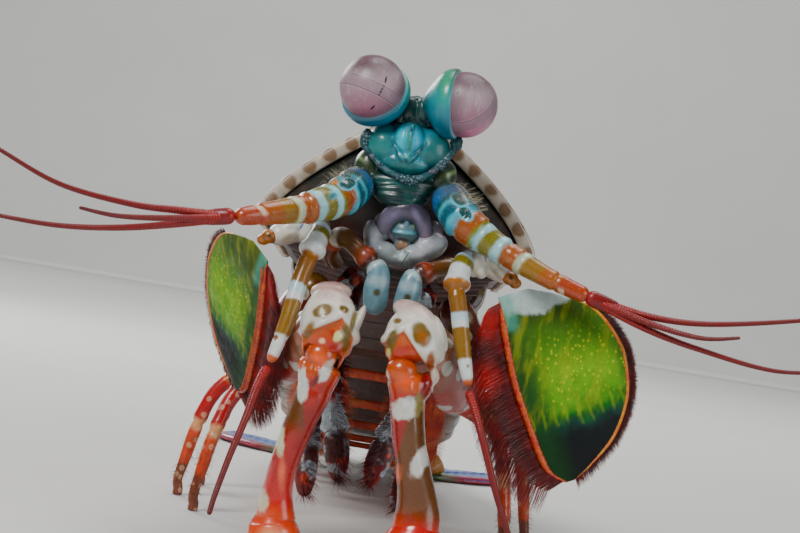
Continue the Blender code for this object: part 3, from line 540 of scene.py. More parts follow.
class Tree:
    """Adds linked nodes to a node tree."""

    def __init__(self, tree):
        self.tree = tree

    def node(self, kind, inputs=None, **settings):
        made = self.tree.nodes.new("ShaderNode" + kind)
        for key, value in settings.items():
            setattr(made, key, value)
        for key, value in (inputs or {}).items():
            self.give(made.inputs[key], value)
        return made

    def give(self, socket, value):
        """Link a socket to another, or set its value."""
        if isinstance(value, bpy.types.NodeSocket):
            self.tree.links.new(value, socket)
        else:
            socket.default_value = value

    def maths(self, operation, *values, clamp=False):
        made = self.node("Math", operation=operation, use_clamp=clamp)
        for socket, value in zip(made.inputs, values):
            self.give(socket, value)
        return made.outputs[0]

    def times(self, *values):
        return self.maths("MULTIPLY", *values)

    def plus(self, *values, clamp=False):
        return self.maths("ADD", *values, clamp=clamp)

    def less(self, *values):
        return self.maths("SUBTRACT", *values)

    def size(self, value):
        return self.maths("ABSOLUTE", value)

    def vector(self, operation, *values):
        made = self.node("VectorMath", operation=operation)
        for socket, value in zip(made.inputs, values):
            self.give(socket, value)
        plain = operation in ("DOT_PRODUCT", "LENGTH", "DISTANCE")
        return made.outputs["Value" if plain else "Vector"]

    def step(self, value, low, high):
        """0 below low, 1 above high and a smooth step between; the other way round if low is above high."""
        made = self.node("MapRange", interpolation_type="SMOOTHSTEP")
        made.inputs["From Min"].default_value = min(low, high)
        made.inputs["From Max"].default_value = max(low, high)
        self.give(made.inputs["Value"], value)
        if low > high:
            made.inputs["To Min"].default_value = 1.0
            made.inputs["To Max"].default_value = 0.0
        return made.outputs["Result"]

    def grain(self, vector, scale, detail=2.0, roughness=0.5):
        """Soft noise, about one cloud to each 1 / scale millimetre."""
        made = self.node("TexNoise", {"Vector": vector, "Scale": scale / MM, "Detail": detail,
                                      "Roughness": roughness})
        return made.outputs[0]

    def cells(self, vector, scale, feature="F1", smoothness=0.3):
        """Distance to the nearest of scattered points, about one to each 1 / scale millimetre."""
        made = self.node("TexVoronoi", {"Vector": vector, "Scale": scale / MM}, feature=feature)
        if feature == "SMOOTH_F1":
            made.inputs["Smoothness"].default_value = smoothness
        return made.outputs["Distance"]

    def ramp(self, value, stops, curve="LINEAR"):
        made = self.node("ValToRGB")
        ramp = made.color_ramp
        ramp.interpolation = curve
        ramp.elements[0].position, ramp.elements[0].color = stops[0]
        ramp.elements[1].position, ramp.elements[1].color = stops[-1]
        for position, colour in stops[1:-1]:
            ramp.elements.new(position).color = colour
        self.give(made.inputs[0], value)
        return made.outputs[0]

    def mix(self, factor, a, b, blend="MIX"):
        made = self.node("Mix", data_type="RGBA", blend_type=blend)
        self.give(made.inputs[0], factor)
        self.give(made.inputs[6], a)
        self.give(made.inputs[7], b)
        return made.outputs[2]


def effect(name, inputs, outputs):
    """A node group with named inputs and outputs, and its tree, input node and output node."""
    group = bpy.data.node_groups.new(name, "ShaderNodeTree")
    for label, kind, default in inputs:
        socket = group.interface.new_socket(name=label, in_out="INPUT",
                                            socket_type="NodeSocket" + kind)
        socket.default_value = default
    for label, kind in outputs:
        group.interface.new_socket(name=label, in_out="OUTPUT", socket_type="NodeSocket" + kind)
    tree = Tree(group)
    return group, tree, group.nodes.new("NodeGroupInput"), group.nodes.new("NodeGroupOutput")


@functools.lru_cache(maxsize=None)
def shell_effect():
    """Fine unevenness of shell: clouded shade, small pits and a height for bump."""
    group, tree, given, out = effect(
        "Shell grain",
        (("Vector", "Vector", (0, 0, 0)), ("Clouds", "Float", 600.0), ("Pits", "Float", 4000.0)),
        (("Shade", "Float"), ("Pit", "Float"), ("Height", "Float")))
    clouds = tree.node("TexNoise",
                       {"Vector": given.outputs["Vector"], "Scale": given.outputs["Clouds"],
                                    "Detail": 4.0, "Roughness": 0.6})
    holes = tree.node("TexVoronoi",
                      {"Vector": given.outputs["Vector"], "Scale": given.outputs["Pits"]})
    pit = tree.step(holes.outputs["Distance"], 0.35, 0.12)
    fine = tree.node("TexNoise", {"Vector": given.outputs["Vector"], "Scale": given.outputs["Pits"],
                                  "Detail": 2.0})
    height = tree.less(tree.times(fine.outputs[0], 0.5), pit)
    tree.give(out.inputs["Shade"], tree.step(clouds.outputs[0], 0.3, 0.7))
    tree.give(out.inputs["Pit"], pit)
    tree.give(out.inputs["Height"], height)
    return group


@functools.lru_cache(maxsize=None)
def mark_effect():
    """An oval mark: 1 inside, with a soft and slightly uneven edge."""
    group, tree, given, out = effect(
        "Oval mark",
        (("Vector", "Vector", (0, 0, 0)), ("Middle", "Vector", (0, 0, 0)),
         ("Long", "Vector", (1, 0, 0)),
         ("Short", "Vector", (0, 1, 0)), ("Deep", "Vector", (0, 0, 1)), ("Edge", "Float", 0.12),
         ("Wobble", "Float", 0.3), ("Fineness", "Float", 900.0)),
        (("Mask", "Float"),))
    away = tree.vector("SUBTRACT", given.outputs["Vector"], given.outputs["Middle"])
    parts = [tree.vector("DOT_PRODUCT", away, given.outputs[axis]) for axis in ("Long", "Short",
                                                                                "Deep")]
    squares = [tree.times(part, part) for part in parts]
    reach = tree.maths("SQRT", tree.plus(tree.plus(squares[0], squares[1]), squares[2]))
    cloud = tree.node("TexNoise",
                      {"Vector": given.outputs["Vector"], "Scale": given.outputs["Fineness"],
                                   "Detail": 2.0})
    uneven = tree.times(tree.less(cloud.outputs[0], 0.5), given.outputs["Wobble"])
    inside = tree.less(1.0, tree.plus(reach, uneven))
    share = tree.maths("DIVIDE", inside, given.outputs["Edge"])
    tree.give(out.inputs["Mask"], tree.step(share, -1.0, 1.0))
    return group


@functools.lru_cache(maxsize=None)
def band_effect():
    """Place along a limb, made uneven, for the edges of its coloured bands."""
    group, tree, given, out = effect(
        "Band place",
        (("Place", "Float", 0.0), ("Vector", "Vector", (0, 0, 0)), ("Wobble", "Float", 0.03),
         ("Fineness", "Float", 700.0)),
        (("Place", "Float"),))
    cloud = tree.node("TexNoise",
                      {"Vector": given.outputs["Vector"], "Scale": given.outputs["Fineness"],
                                   "Detail": 3.0})
    uneven = tree.times(tree.less(cloud.outputs[0], 0.5), given.outputs["Wobble"])
    tree.give(out.inputs["Place"], tree.plus(given.outputs["Place"], uneven))
    return group


class Finish(Tree):
    """A material with a colour that is built up in steps."""

    def __init__(self, name, roughness, coat=0.0, glow=0.0):
        self.material = bpy.data.materials.new(name)
        self.material.use_nodes = True
        super().__init__(self.material.node_tree)
        self.shader = self.tree.nodes["Principled BSDF"]
        self.shader.inputs["Roughness"].default_value = roughness
        self.shader.inputs["Coat Weight"].default_value = coat
        self.shader.inputs["Coat Roughness"].default_value = 0.12
        self.shader.inputs["Subsurface Weight"].default_value = glow
        self.shader.inputs["Subsurface Scale"].default_value = 0.0006
        self.roughness = roughness
        self.point = self.node("TexCoord").outputs["Object"]
        self.colour = None
        self.heights = []

    def pattern(self, layer="Pattern"):
        """The two pattern places of a piece that has them."""
        made = self.node("SeparateXYZ", {0: self.node("UVMap", uv_map=layer).outputs[0]})
        return made.outputs[0], made.outputs[1]

    def bands(self, place_along, rows, soft=0.006, wobble=0.03, fineness=0.7):
        """Base colour in bands: rows of where a band ends and its colour."""
        group = self.node("Group", node_tree=band_effect())
        for key, value in (("Place", place_along), ("Vector", self.point), ("Wobble", wobble),
                           ("Fineness", fineness / MM)):
            self.give(group.inputs[key], value)
        stops = []
        start = 0.0
        for end, colour in rows:
            stops += [(min(1.0, start + soft), colour), (max(0.0, end - soft), colour)]
            start = end
        self.colour = self.ramp(group.outputs[0], stops)
        return group.outputs[0]

    def mark(self, middle, radii, colour, tilt=0.0, edge=0.12, wobble=0.3, share=1.0):
        """Lay an oval over the colour: its middle, its half sizes along X, Z and Y, and its turn."""
        turn = math.radians(tilt)
        long = Vector((math.cos(turn), 0.0, math.sin(turn)))
        short = Vector((-math.sin(turn), 0.0, math.cos(turn)))
        self.lay(self.oval(place(middle), long / (radii[0] * MM), short / (radii[1] * MM),
                           Vector((0.0, 1.0, 0.0)) / (radii[2] * MM), edge, wobble), colour, share)

    def oval(self, middle, long, short, deep, edge=0.12, wobble=0.3, fineness=0.9):
        group = self.node("Group", node_tree=mark_effect())
        for key, value in (("Vector", self.point), ("Middle", middle), ("Long", long),
                           ("Short", short),
                           ("Deep", deep), ("Edge", edge), ("Wobble", wobble),
                           ("Fineness", fineness / MM)):
            self.give(group.inputs[key], value)
        return group.outputs[0]

    def beyond(self, point, way, soft):
        """1 on the side of a plane that it faces, with a soft edge in millimetres."""
        way = Vector(way).normalized()
        ahead = self.vector("DOT_PRODUCT", self.vector("SUBTRACT", self.point, place(point)), way)
        return self.step(ahead, -soft * MM, soft * MM)

    def lay(self, mask, colour, share=1.0):
        """Lay a colour over what is there, as far as a mask says."""
        if share != 1.0:
            mask = self.times(mask, share)
        self.colour = self.mix(mask, self.colour, colour)

    def shell(self, clouds=0.5, pits=4.0, depth=0.02, shade=0.2, tint=(0.0, 0.0, 0.0, 1.0)):
        """Clouded shade and fine pits over the colour so far."""
        group = self.node("Group", node_tree=shell_effect())
        for key, value in (("Vector", self.point), ("Clouds", clouds / MM), ("Pits", pits / MM)):
            self.give(group.inputs[key], value)
        self.lay(group.outputs["Shade"], tint, shade)
        self.heights.append((group.outputs["Height"], depth))
        uneven = self.times(self.less(group.outputs["Shade"], 0.5), 0.16)
        self.give(self.shader.inputs["Roughness"], self.plus(uneven, self.roughness, clamp=True))

    def raise_by(self, height, depth):
        """Add a bump of a depth in millimetres."""
        self.heights.append((height, depth))

    def done(self):
        """Link the colour and the bumps, and give the material."""
        self.give(self.shader.inputs["Base Color"], self.colour)
        normal = None
        for height, depth in self.heights:
            bump = self.node("Bump", {"Strength": 1.0, "Distance": depth * MM, "Height": height})
            if normal is not None:
                self.give(bump.inputs["Normal"], normal)
            normal = bump.outputs[0]
        if normal is not None:
            self.give(self.shader.inputs["Normal"], normal)
        return self.material


def view_axes(centre):
    """Right, up and toward the camera, as seen at a place beside the eyes."""
    roll = math.radians(CAMERA_ROLL)
    toward = (CAMERA - centre).normalized()
    right = Vector((math.cos(roll), 0.0, math.sin(roll)))
    right = (right - toward * right.dot(toward)).normalized()
    return right, toward.cross(right), toward


# Eyes: stripe across each cornea as the way it faces in the view and its offset, then the dark marks
STRIPE_HALF = 0.165
STRIPES = {
    "right": ((-0.404, -0.892, 0.199), 0.162),
    "left": ((0.243, -0.688, -0.684), -0.075),
}
EYE_MARKS = {
    "right": (((0.394, 0.24), 70, (0.44, 0.13)), ((0.0, -0.59), 56, (0.46, 0.13)),
              ((0.25, -0.09), 61, (0.62, 0.06)), ((0.33, 0.06), -29, (0.15, 0.08)),
              ((0.28, -0.03), -29, (0.19, 0.05)), ((0.235, -0.12), -29, (0.19, 0.07)),
              ((0.19, -0.21), -29, (0.15, 0.06))),
    "left": (((-0.203, 0.367), 63, (0.26, 0.12)),),
}
CUP_STATIONS = ((0.45, 3.9), (0.7, 4.26), (1.1, 4.42), (1.8, 4.4), (2.5, 4.15), (3.2, 3.6),
                (4.0, 2.75),
                (4.8, 1.9), (5.4, 1.3))
NECK_FOOT = Vector((3.2, 4.1, 56.0))


def cornea_finish(side, colours):
    """Pearly lavender with a greyer stripe between two fine lines, and small dark marks."""
    centre, look = EYES[side]
    look = look.normalized()
    right, up, toward = view_axes(centre)
    normal, offset = STRIPES[side]
    way = right * normal[0] + up * normal[1] + toward * normal[2]
    made = Finish(f"cornea_{side}", 0.46, coat=0.16, glow=0.08)
    made.shader.inputs["Coat Roughness"].default_value = 0.3
    away = made.vector("SUBTRACT", made.point, place(centre))
    radius = EYE_RADIUS * MM
    height = made.maths("DIVIDE", made.vector("DOT_PRODUCT", away, up), radius)
    ahead = made.maths("DIVIDE", made.vector("DOT_PRODUCT", away, look), radius)
    across = made.maths("DIVIDE", made.vector("DOT_PRODUCT", away, right), radius)
    cloud = made.grain(made.point, 0.35, 3.0, 0.6)
    made.colour = made.ramp(made.plus(height, made.times(cloud, 0.5)), (
        (0.0, srgb(160, 122, 138)), (0.25, srgb(168, 144, 154)), (0.55, srgb(166, 150, 156)),
        (0.8, srgb(138, 124, 128)), (1.0, srgb(84, 70, 74))))
    made.colour = made.mix(made.step(height, 0.35, 1.05), made.colour, srgb(96, 66, 76))
    made.colour = made.mix(made.times(made.step(height, -0.35, -0.95), 0.7), made.colour,
                           srgb(205, 120, 160))
    wisps = made.grain(made.vector("MULTIPLY", made.point, (1.0, 1.0, 0.25)), 1.6, 4.0, 0.65)
    made.lay(made.times(made.step(wisps, 0.5, 0.75), 0.3), srgb(226, 212, 222))
    # Painted edge shade: the cornea darkens towards the cup, partly its own darker edge and partly painted
    # shade, and darkens at its left and right edges as seen from the camera, which is painted shade
    rim = made.step(ahead, 0.42, -0.1)
    made.lay(rim, srgb(104, 80, 92), 0.75)
    made.lay(made.step(made.size(across), 0.7, 1.0), srgb(112, 88, 98), 0.55)
    level = made.maths("DIVIDE", made.vector("DOT_PRODUCT", away, way), radius)
    part = made.maths("DIVIDE", made.less(level, offset), STRIPE_HALF)
    reach = made.size(part)
    inside = made.step(reach, 1.0, 0.94)
    made.lay(inside, colours.stripe, 0.5)
    threads = made.maths("SINE", made.times(part, 15.0))
    made.lay(made.times(made.step(threads, 0.2, 1.0), inside), srgb(122, 104, 116), 0.3)
    line = made.times(made.step(reach, 0.93, 0.98), made.step(reach, 1.07, 1.02))
    made.lay(line, srgb(52, 38, 50), 0.85)
    paler = made.times(made.step(reach, 1.06, 1.1), made.step(reach, 1.22, 1.12))
    made.lay(paler, srgb(226, 208, 218), 0.35)
    for (x, y), turn, (long, short) in EYE_MARKS[side]:
        out = right * x + up * y + toward * math.sqrt(max(0.0, 1.0 - x * x - y * y))
        turn = math.radians(turn)
        run = right * math.cos(turn) + up * math.sin(turn)
        run = (run - out * run.dot(out)).normalized()
        mask = made.oval(place(centre + out * EYE_RADIUS), run / (long * MM),
                         out.cross(run) / (short * MM),
                         out / (1.2 * MM), 0.2, 0.25, 3.0)
        made.lay(mask, srgb(18, 12, 18), 0.96)
    lens = made.cells(made.point, 11.0)
    made.raise_by(made.step(lens, 0.0, 0.5), 0.004)
    made.raise_by(line, -0.02)
    return made.done()


def cup_finish(side, colours):
    """Glossy cyan that turns green above and blue below, with a painted green sheen band and a pale lip."""
    centre, look = EYES[side]
    look = look.normalized()
    made = Finish(f"eye_cup_{side}", 0.4, coat=0.3, glow=0.08)
    away = made.vector("SUBTRACT", made.point, place(centre))
    height = made.maths("DIVIDE", made.vector("DOT_PRODUCT", away, Vector((0.0, 0.0, 1.0))),
                        4.4 * MM)
    behind = made.maths("DIVIDE", made.vector("DOT_PRODUCT", away, -look), MM)
    cloud = made.times(made.less(made.grain(made.point, 0.5, 3.0), 0.5), 0.35)
    scaled = made.maths("MULTIPLY_ADD", made.plus(height, cloud), 0.5, 0.5)
    made.colour = made.ramp(scaled, (
        (0.0, colours.cup_low), (0.32, srgb(0, 134, 150)), (0.52, srgb(10, 156, 160)),
        (0.72, colours.cup_high), (0.9, srgb(0, 112, 84)), (1.0, srgb(4, 60, 50))))
    # Painted sheen: a green band a little behind the lip, on the upper part of the cup
    painted_sheen = made.times(made.step(behind, 1.0, 1.6), made.step(behind, 2.7, 1.9))
    made.lay(made.times(painted_sheen, made.step(height, -0.5, 0.3)), srgb(40, 172, 132), 0.55)
    made.lay(made.step(behind, 3.4, 4.6), srgb(4, 66, 76), 0.75)
    made.lay(made.step(behind, 0.95, 0.68), srgb(176, 214, 226), 0.85)
    made.shell(0.9, 6.0, 0.008, 0.12, srgb(0, 40, 60))
    return made.done()


def build_eyes(colours):
    """Corneas and the cups that hold them."""
    for side, (centre, look) in EYES.items():
        look = look.normalized()
        right, up, toward = view_axes(centre)
        normal, offset = STRIPES[side]
        way = right * normal[0] + up * normal[1] + toward * normal[2]
        bm = bmesh.new()
        bmesh.ops.create_uvsphere(bm, u_segments=112, v_segments=80, radius=EYE_RADIUS * MM)
        cut = bmesh.ops.bisect_plane(bm, geom=bm.verts[:] + bm.edges[:] + bm.faces[:],
                                     plane_co=(0, 0, -1.5 * MM), plane_no=(0, 0, 1),
                                     clear_inner=True)
        bmesh.ops.holes_fill(bm,
                             edges=[e for e in cut["geom_cut"] if isinstance(e,
                                                                             bmesh.types.BMEdge)])
        turned = look.to_track_quat("Z", "Y").to_matrix().to_4x4()
        bmesh.ops.transform(bm, matrix=turned, verts=bm.verts)
        for vert in bm.verts:
            out = vert.co.normalized()
            reach = abs((out.dot(way) - offset) / STRIPE_HALF)
            vert.co *= 1.0 + 0.010 * (1.0 - ease(reach, 0.9, 1.1)) - 0.012 * ease(-out.dot(look),
                                                                                  -0.1, 0.4)
        bmesh.ops.translate(bm, vec=place(centre), verts=bm.verts)
        piece(f"cornea_{side}", bm, cornea_finish(side, colours), f"eye_{side}")

        stations = [(*(centre - look * back), radius, radius) for back, radius in CUP_STATIONS]
        cup = limb(Path(stations, (0, 0.3, 1)), 72, 64, blunt=(0.12, 0.6))
        foot = Vector((NECK_FOOT.x * SIDES[side], NECK_FOOT.y, NECK_FOOT.z))
        start = centre - look * 3.2
        bend = foot + Vector((0.0, 0.0, 1.6))
        neck = limb(Path([(*start, 2.0, 2.0), (*((start + bend) / 2), 1.7, 1.7), (*bend, 1.5, 1.5),
                          (*foot, 1.6, 1.6)], (1, 0.2, 0)), 32, 24)
        notch = bmesh.new()
        crest = centre - look * 3.4 + Vector((0.0, -0.6, 2.9))
        ball(notch, crest, (0.75, 0.7, 0.5))
        melted(f"eye_cup_{side}", joined(cup, neck, notch), cup_finish(side, colours),
               f"eye_stalk_{side}", 0.14, 3)


# Face: lumps as middle and half sizes, merged into one skin for each piece
FACE_LUMPS = (((-0.2, 0.9, 54.0), (2.2, 2.4, 2.6)), ((-0.15, 1.0, 52.4), (1.7, 2.2, 1.7)),
              ((-2.9, 2.1, 53.2), (2.7, 2.6, 2.7)), ((2.6, 2.1, 53.5), (2.6, 2.6, 2.7)),
              ((-0.3, 1.9, 51.4), (3.7, 2.5, 1.9)), ((0.0, 3.0, 54.6), (4.0, 2.4, 2.1)))
BOSS_LUMPS = (((-0.75, 1.7, 58.0), (1.15, 1.3, 1.75)), ((0.95, 1.7, 58.2), (1.15, 1.3, 1.75)),
              ((0.1, 2.4, 57.0), (2.0, 1.6, 1.5)))
FACE_RIM = ((-5.5, 1.6, 54.6, 0.5, 0.5), (-5.2, 1.0, 52.6, 0.5, 0.5), (-3.6, 0.3, 50.9, 0.4, 0.4),
            (-1.7, -0.5, 49.8, 0.44, 0.44), (0.8, -0.8, 49.4, 0.55, 0.5),
            (2.9, -0.2, 50.4, 0.44, 0.44),
            (4.3, 0.5, 52.1, 0.45, 0.45), (5.6, 1.0, 54.0, 0.5, 0.5))
SHIELD_LUMPS = (((-0.2, 1.6, 48.9), (4.5, 2.2, 1.5)), ((-0.1, 1.3, 48.0), (4.0, 2.2, 1.5)),
                ((-0.1, 1.1, 47.0), (3.5, 2.2, 1.25)), ((0.0, 1.0, 46.4), (2.9, 2.1, 0.8)),
                ((-4.6, 2.8, 50.2), (1.9, 2.2, 2.5)), ((4.6, 2.8, 50.4), (1.9, 2.2, 2.5)))


def face_finish(colours):
    """Turquoise face with a paler boss and dark creases."""
    made = Finish("face_turquoise", 0.38, coat=0.35, glow=0.15)
    made.colour = made.ramp(made.grain(made.point, 0.55, 4.0, 0.6), (
        (0.3, srgb(18, 108, 122)), (0.5, srgb(28, 138, 156)), (0.7, srgb(50, 154, 166))))
    made.mark((-3.9, -0.6, 53.0), (1.7, 2.2, 3.0), srgb(48, 134, 134), 10, 0.4)
    made.mark((3.5, -0.4, 53.4), (1.7, 2.2, 3.0), srgb(20, 112, 112), -10, 0.4)
    made.mark((-0.2, -2.2, 53.8), (1.95, 2.5, 2.0), colours.face, 0, 0.25)
    made.mark((-1.3, -2.2, 54.3), (0.72, 1.25, 2.0), srgb(92, 208, 224), 10, 0.6)
    made.mark((0.95, -2.2, 54.6), (0.62, 1.2, 2.0), srgb(78, 186, 216), -8, 0.6)
    made.mark((-0.2, -2.0, 52.0), (0.55, 0.35, 1.6), srgb(150, 226, 226), 0, 0.6)
    made.mark((-0.1, -2.2, 54.0), (0.17, 1.7, 2.0), srgb(86, 150, 128), 8, 0.5)
    made.mark((-0.1, -2.3, 55.5), (0.2, 0.42, 2.0), srgb(12, 34, 38), 0, 0.4)
    for x, turn in ((-1.35, -62), (1.0, 62)):
        made.mark((x, -1.9, 52.3), (1.5, 0.13, 2.4), srgb(12, 84, 92), turn, 0.7)
    made.mark((-0.3, -1.0, 50.9), (3.0, 0.8, 3.0), srgb(18, 116, 118), 0, 0.5)
    made.lay(made.beyond((0, 0, 56.2), (0, 0, 1), 0.5), srgb(6, 62, 62))
    made.shell(1.2, 7.0, 0.02, 0.25, srgb(0, 50, 56))
    return made.done()


def crust_finish():
    """Dark teal rim with white crust in patches."""
    made = Finish("face_rim_crust", 0.5, glow=0.08)
    grit = made.cells(made.point, 3.4)
    crust = made.ramp(grit,
                      ((0.0, srgb(206, 224, 228)), (0.26, srgb(128, 160, 172)),
                       (0.5, srgb(34, 62, 70))))
    made.colour = made.ramp(made.grain(made.point, 0.7, 3.0), (
        (0.3, srgb(10, 54, 58)), (0.55, srgb(22, 88, 92)), (0.8, srgb(96, 120, 132))))
    for middle, radii in (((0.6, -1.0, 49.3), (1.7, 0.75, 1.5)),
                          ((4.4, 0.3, 52.4), (0.7, 1.2, 1.4)),
                          ((-5.4, 0.8, 53.6), (0.5, 1.0, 1.4)),
                          ((-3.2, 0.0, 50.8), (0.6, 0.4, 1.2))):
        mask = made.oval(place(middle), *(Vector(axis) / (radii[k] * MM) for k, axis in
                                          ((0, (1, 0, 0)), (1, (0, 0, 1)), (2, (0, 1, 0)))), 0.4,
                                          0.5)
        made.lay(mask, crust)
    made.lay(made.step(made.grain(made.vector("ADD", made.point, (0.03, 0.0, 0.0)), 0.8, 2.0), 0.58,
                       0.72),
             srgb(150, 130, 156), 0.35)
    made.raise_by(grit, -0.07)
    made.shell(1.5, 8.0, 0.02, 0.2)
    return made.done()


def dark_shield_finish(name="dark_shield"):
    """Dark green plate under the face, with folds."""
    made = Finish(name, 0.34, coat=0.3)
    made.colour = made.ramp(made.grain(made.point, 0.7, 4.0, 0.6), (
        (0.3, srgb(8, 40, 42)), (0.55, srgb(12, 62, 60)), (0.75, srgb(30, 92, 84))))
    made.mark((-0.4, -0.6, 48.9), (3.0, 0.5, 3.0), srgb(20, 92, 90), 0, 0.6)
    made.mark((0.1, -0.8, 45.75), (3.1, 0.15, 3.0), srgb(112, 146, 124), 3, 0.8)
    for x in (-5.2, 5.2):
        made.mark((x, 1.2, 50.0), (1.5, 2.2, 3.0), srgb(58, 70, 34), 0, 0.6, 0.5, 0.7)
        made.mark((x * 1.15, 1.0, 51.3), (0.9, 0.25, 2.4), srgb(132, 150, 110),
                  40 if x > 0 else -40, 0.7, 0.4)
    made.shell(1.0, 6.0, 0.02, 0.3)
    return made.done()


def build_face(colours):
    """Face, its crusty rim and the dark shield below."""
    lumps = bmesh.new()
    for centre, radii in FACE_LUMPS:
        ball(lumps, centre, radii, rings=36)
    for centre, radii in BOSS_LUMPS:
        ball(lumps, centre, radii, rings=20)
    face = melted("face", lumps, face_finish(colours), "head", 0.13, 4)

    def ridges(point, _):
        if point.y > 1.2:
            return 0.0
        middle = -0.1 + 0.05 * (point.z - 54)
        lift = 0.2 * hump(point.x, middle, 0.22) * ease(point.z, 52.6, 53.4) * ease(point.z, 56.6,
                                                                                    55.8)
        lift -= 0.14 * hump(abs(point.x + 0.15), 0.5, 0.2) * ease(point.z, 52.8,
                                                                  53.6) * ease(point.z, 56.4, 55.4)
        fold = abs(point.x + 0.2) * 1.1 + 51.5
        lift -= 0.3 * hump(point.z, fold, 0.28) * ease(abs(point.x + 0.2), 2.6, 1.6)
        lift += 0.22 * hump(point.x, -0.2, 0.4) * hump(point.z, 52.0, 0.4)
        lift += 0.05 * rough(point, 0.9)
        return lift
    raised(face, ridges)

    def grit(turn, s):
        return 1.0 + 0.22 * rough((s, turn * 1.5, 0.0), 1.6) + 0.12 * rough((s, turn * 2.0, 4.0),
                                                                            3.2)
    knobs = bmesh.new()
    for centre, radii in (((-5.5, 1.3, 53.6), (0.75, 0.9, 1.35)),
                          ((5.7, 1.3, 54.9), (0.8, 0.9, 1.0)),
                          ((0.6, -0.4, 49.3), (1.4, 0.7, 0.65)),
                          ((4.3, 0.9, 51.9), (0.6, 0.7, 0.9))):
        ball(knobs, centre, radii)
    rim = melted("face_rim", joined(limb(Path(FACE_RIM, (0, 1, 0.3)), 36, 150, grit), knobs),
                 crust_finish(), "head", 0.12, 1)
    raised(rim, lambda point, _: 0.09 * rough(point, 2.6) + 0.05 * rough(point, 5.0))

    shield = bmesh.new()
    for centre, radii in SHIELD_LUMPS:
        ball(shield, centre, radii, rings=30)
    made = melted("lower_shield", shield, dark_shield_finish(), "head", 0.13, 4)
    raised(made, lambda point,
           _: 0.06 * rough(point, 0.8) - 0.12 * hump(point.z, 48.6 - abs(point.x) * 0.2, 0.2))


# Mouth: stations of the upper lip as a place and two half sizes, and lumps that fill it
LABRUM = ((-1.6, 1.6, 42.2, 0.75, 0.7), (-1.35, 0.9, 43.7, 1.05, 1.1), (-0.4, 0.4, 45.0, 1.2, 1.35),
          (1.0, 0.2, 45.6, 1.3, 1.4), (2.5, 0.4, 45.1, 1.2, 1.3), (3.6, 0.8, 43.6, 0.95, 1.0),
          (4.2, 1.4, 41.9, 0.55, 0.6))
HOOD_LUMPS = (((1.1, 1.7, 44.2), (2.5, 1.5, 2.0)), ((1.1, 1.9, 42.9), (2.3, 1.4, 1.6)))


def mouth_finish(name, rows, marks=()):
    """Soft satin flesh by height, with marks laid over it."""
    made = Finish(name, 0.42, coat=0.25, glow=0.2)
    level = made.maths("DIVIDE", made.less(made.node("SeparateXYZ", {0: made.point}).outputs[2],
                                            38.0 * MM), 10.0 * MM)
    cloud = made.times(made.less(made.grain(made.point, 0.6, 4.0), 0.5), 0.14)
    made.colour = made.ramp(made.plus(level, cloud), rows)
    for middle, radii, colour, tilt, edge in marks:
        made.mark(middle, radii, colour, tilt, edge)
    made.shell(0.9, 5.0, 0.02, 0.22, srgb(30, 30, 44))
    return made.done()


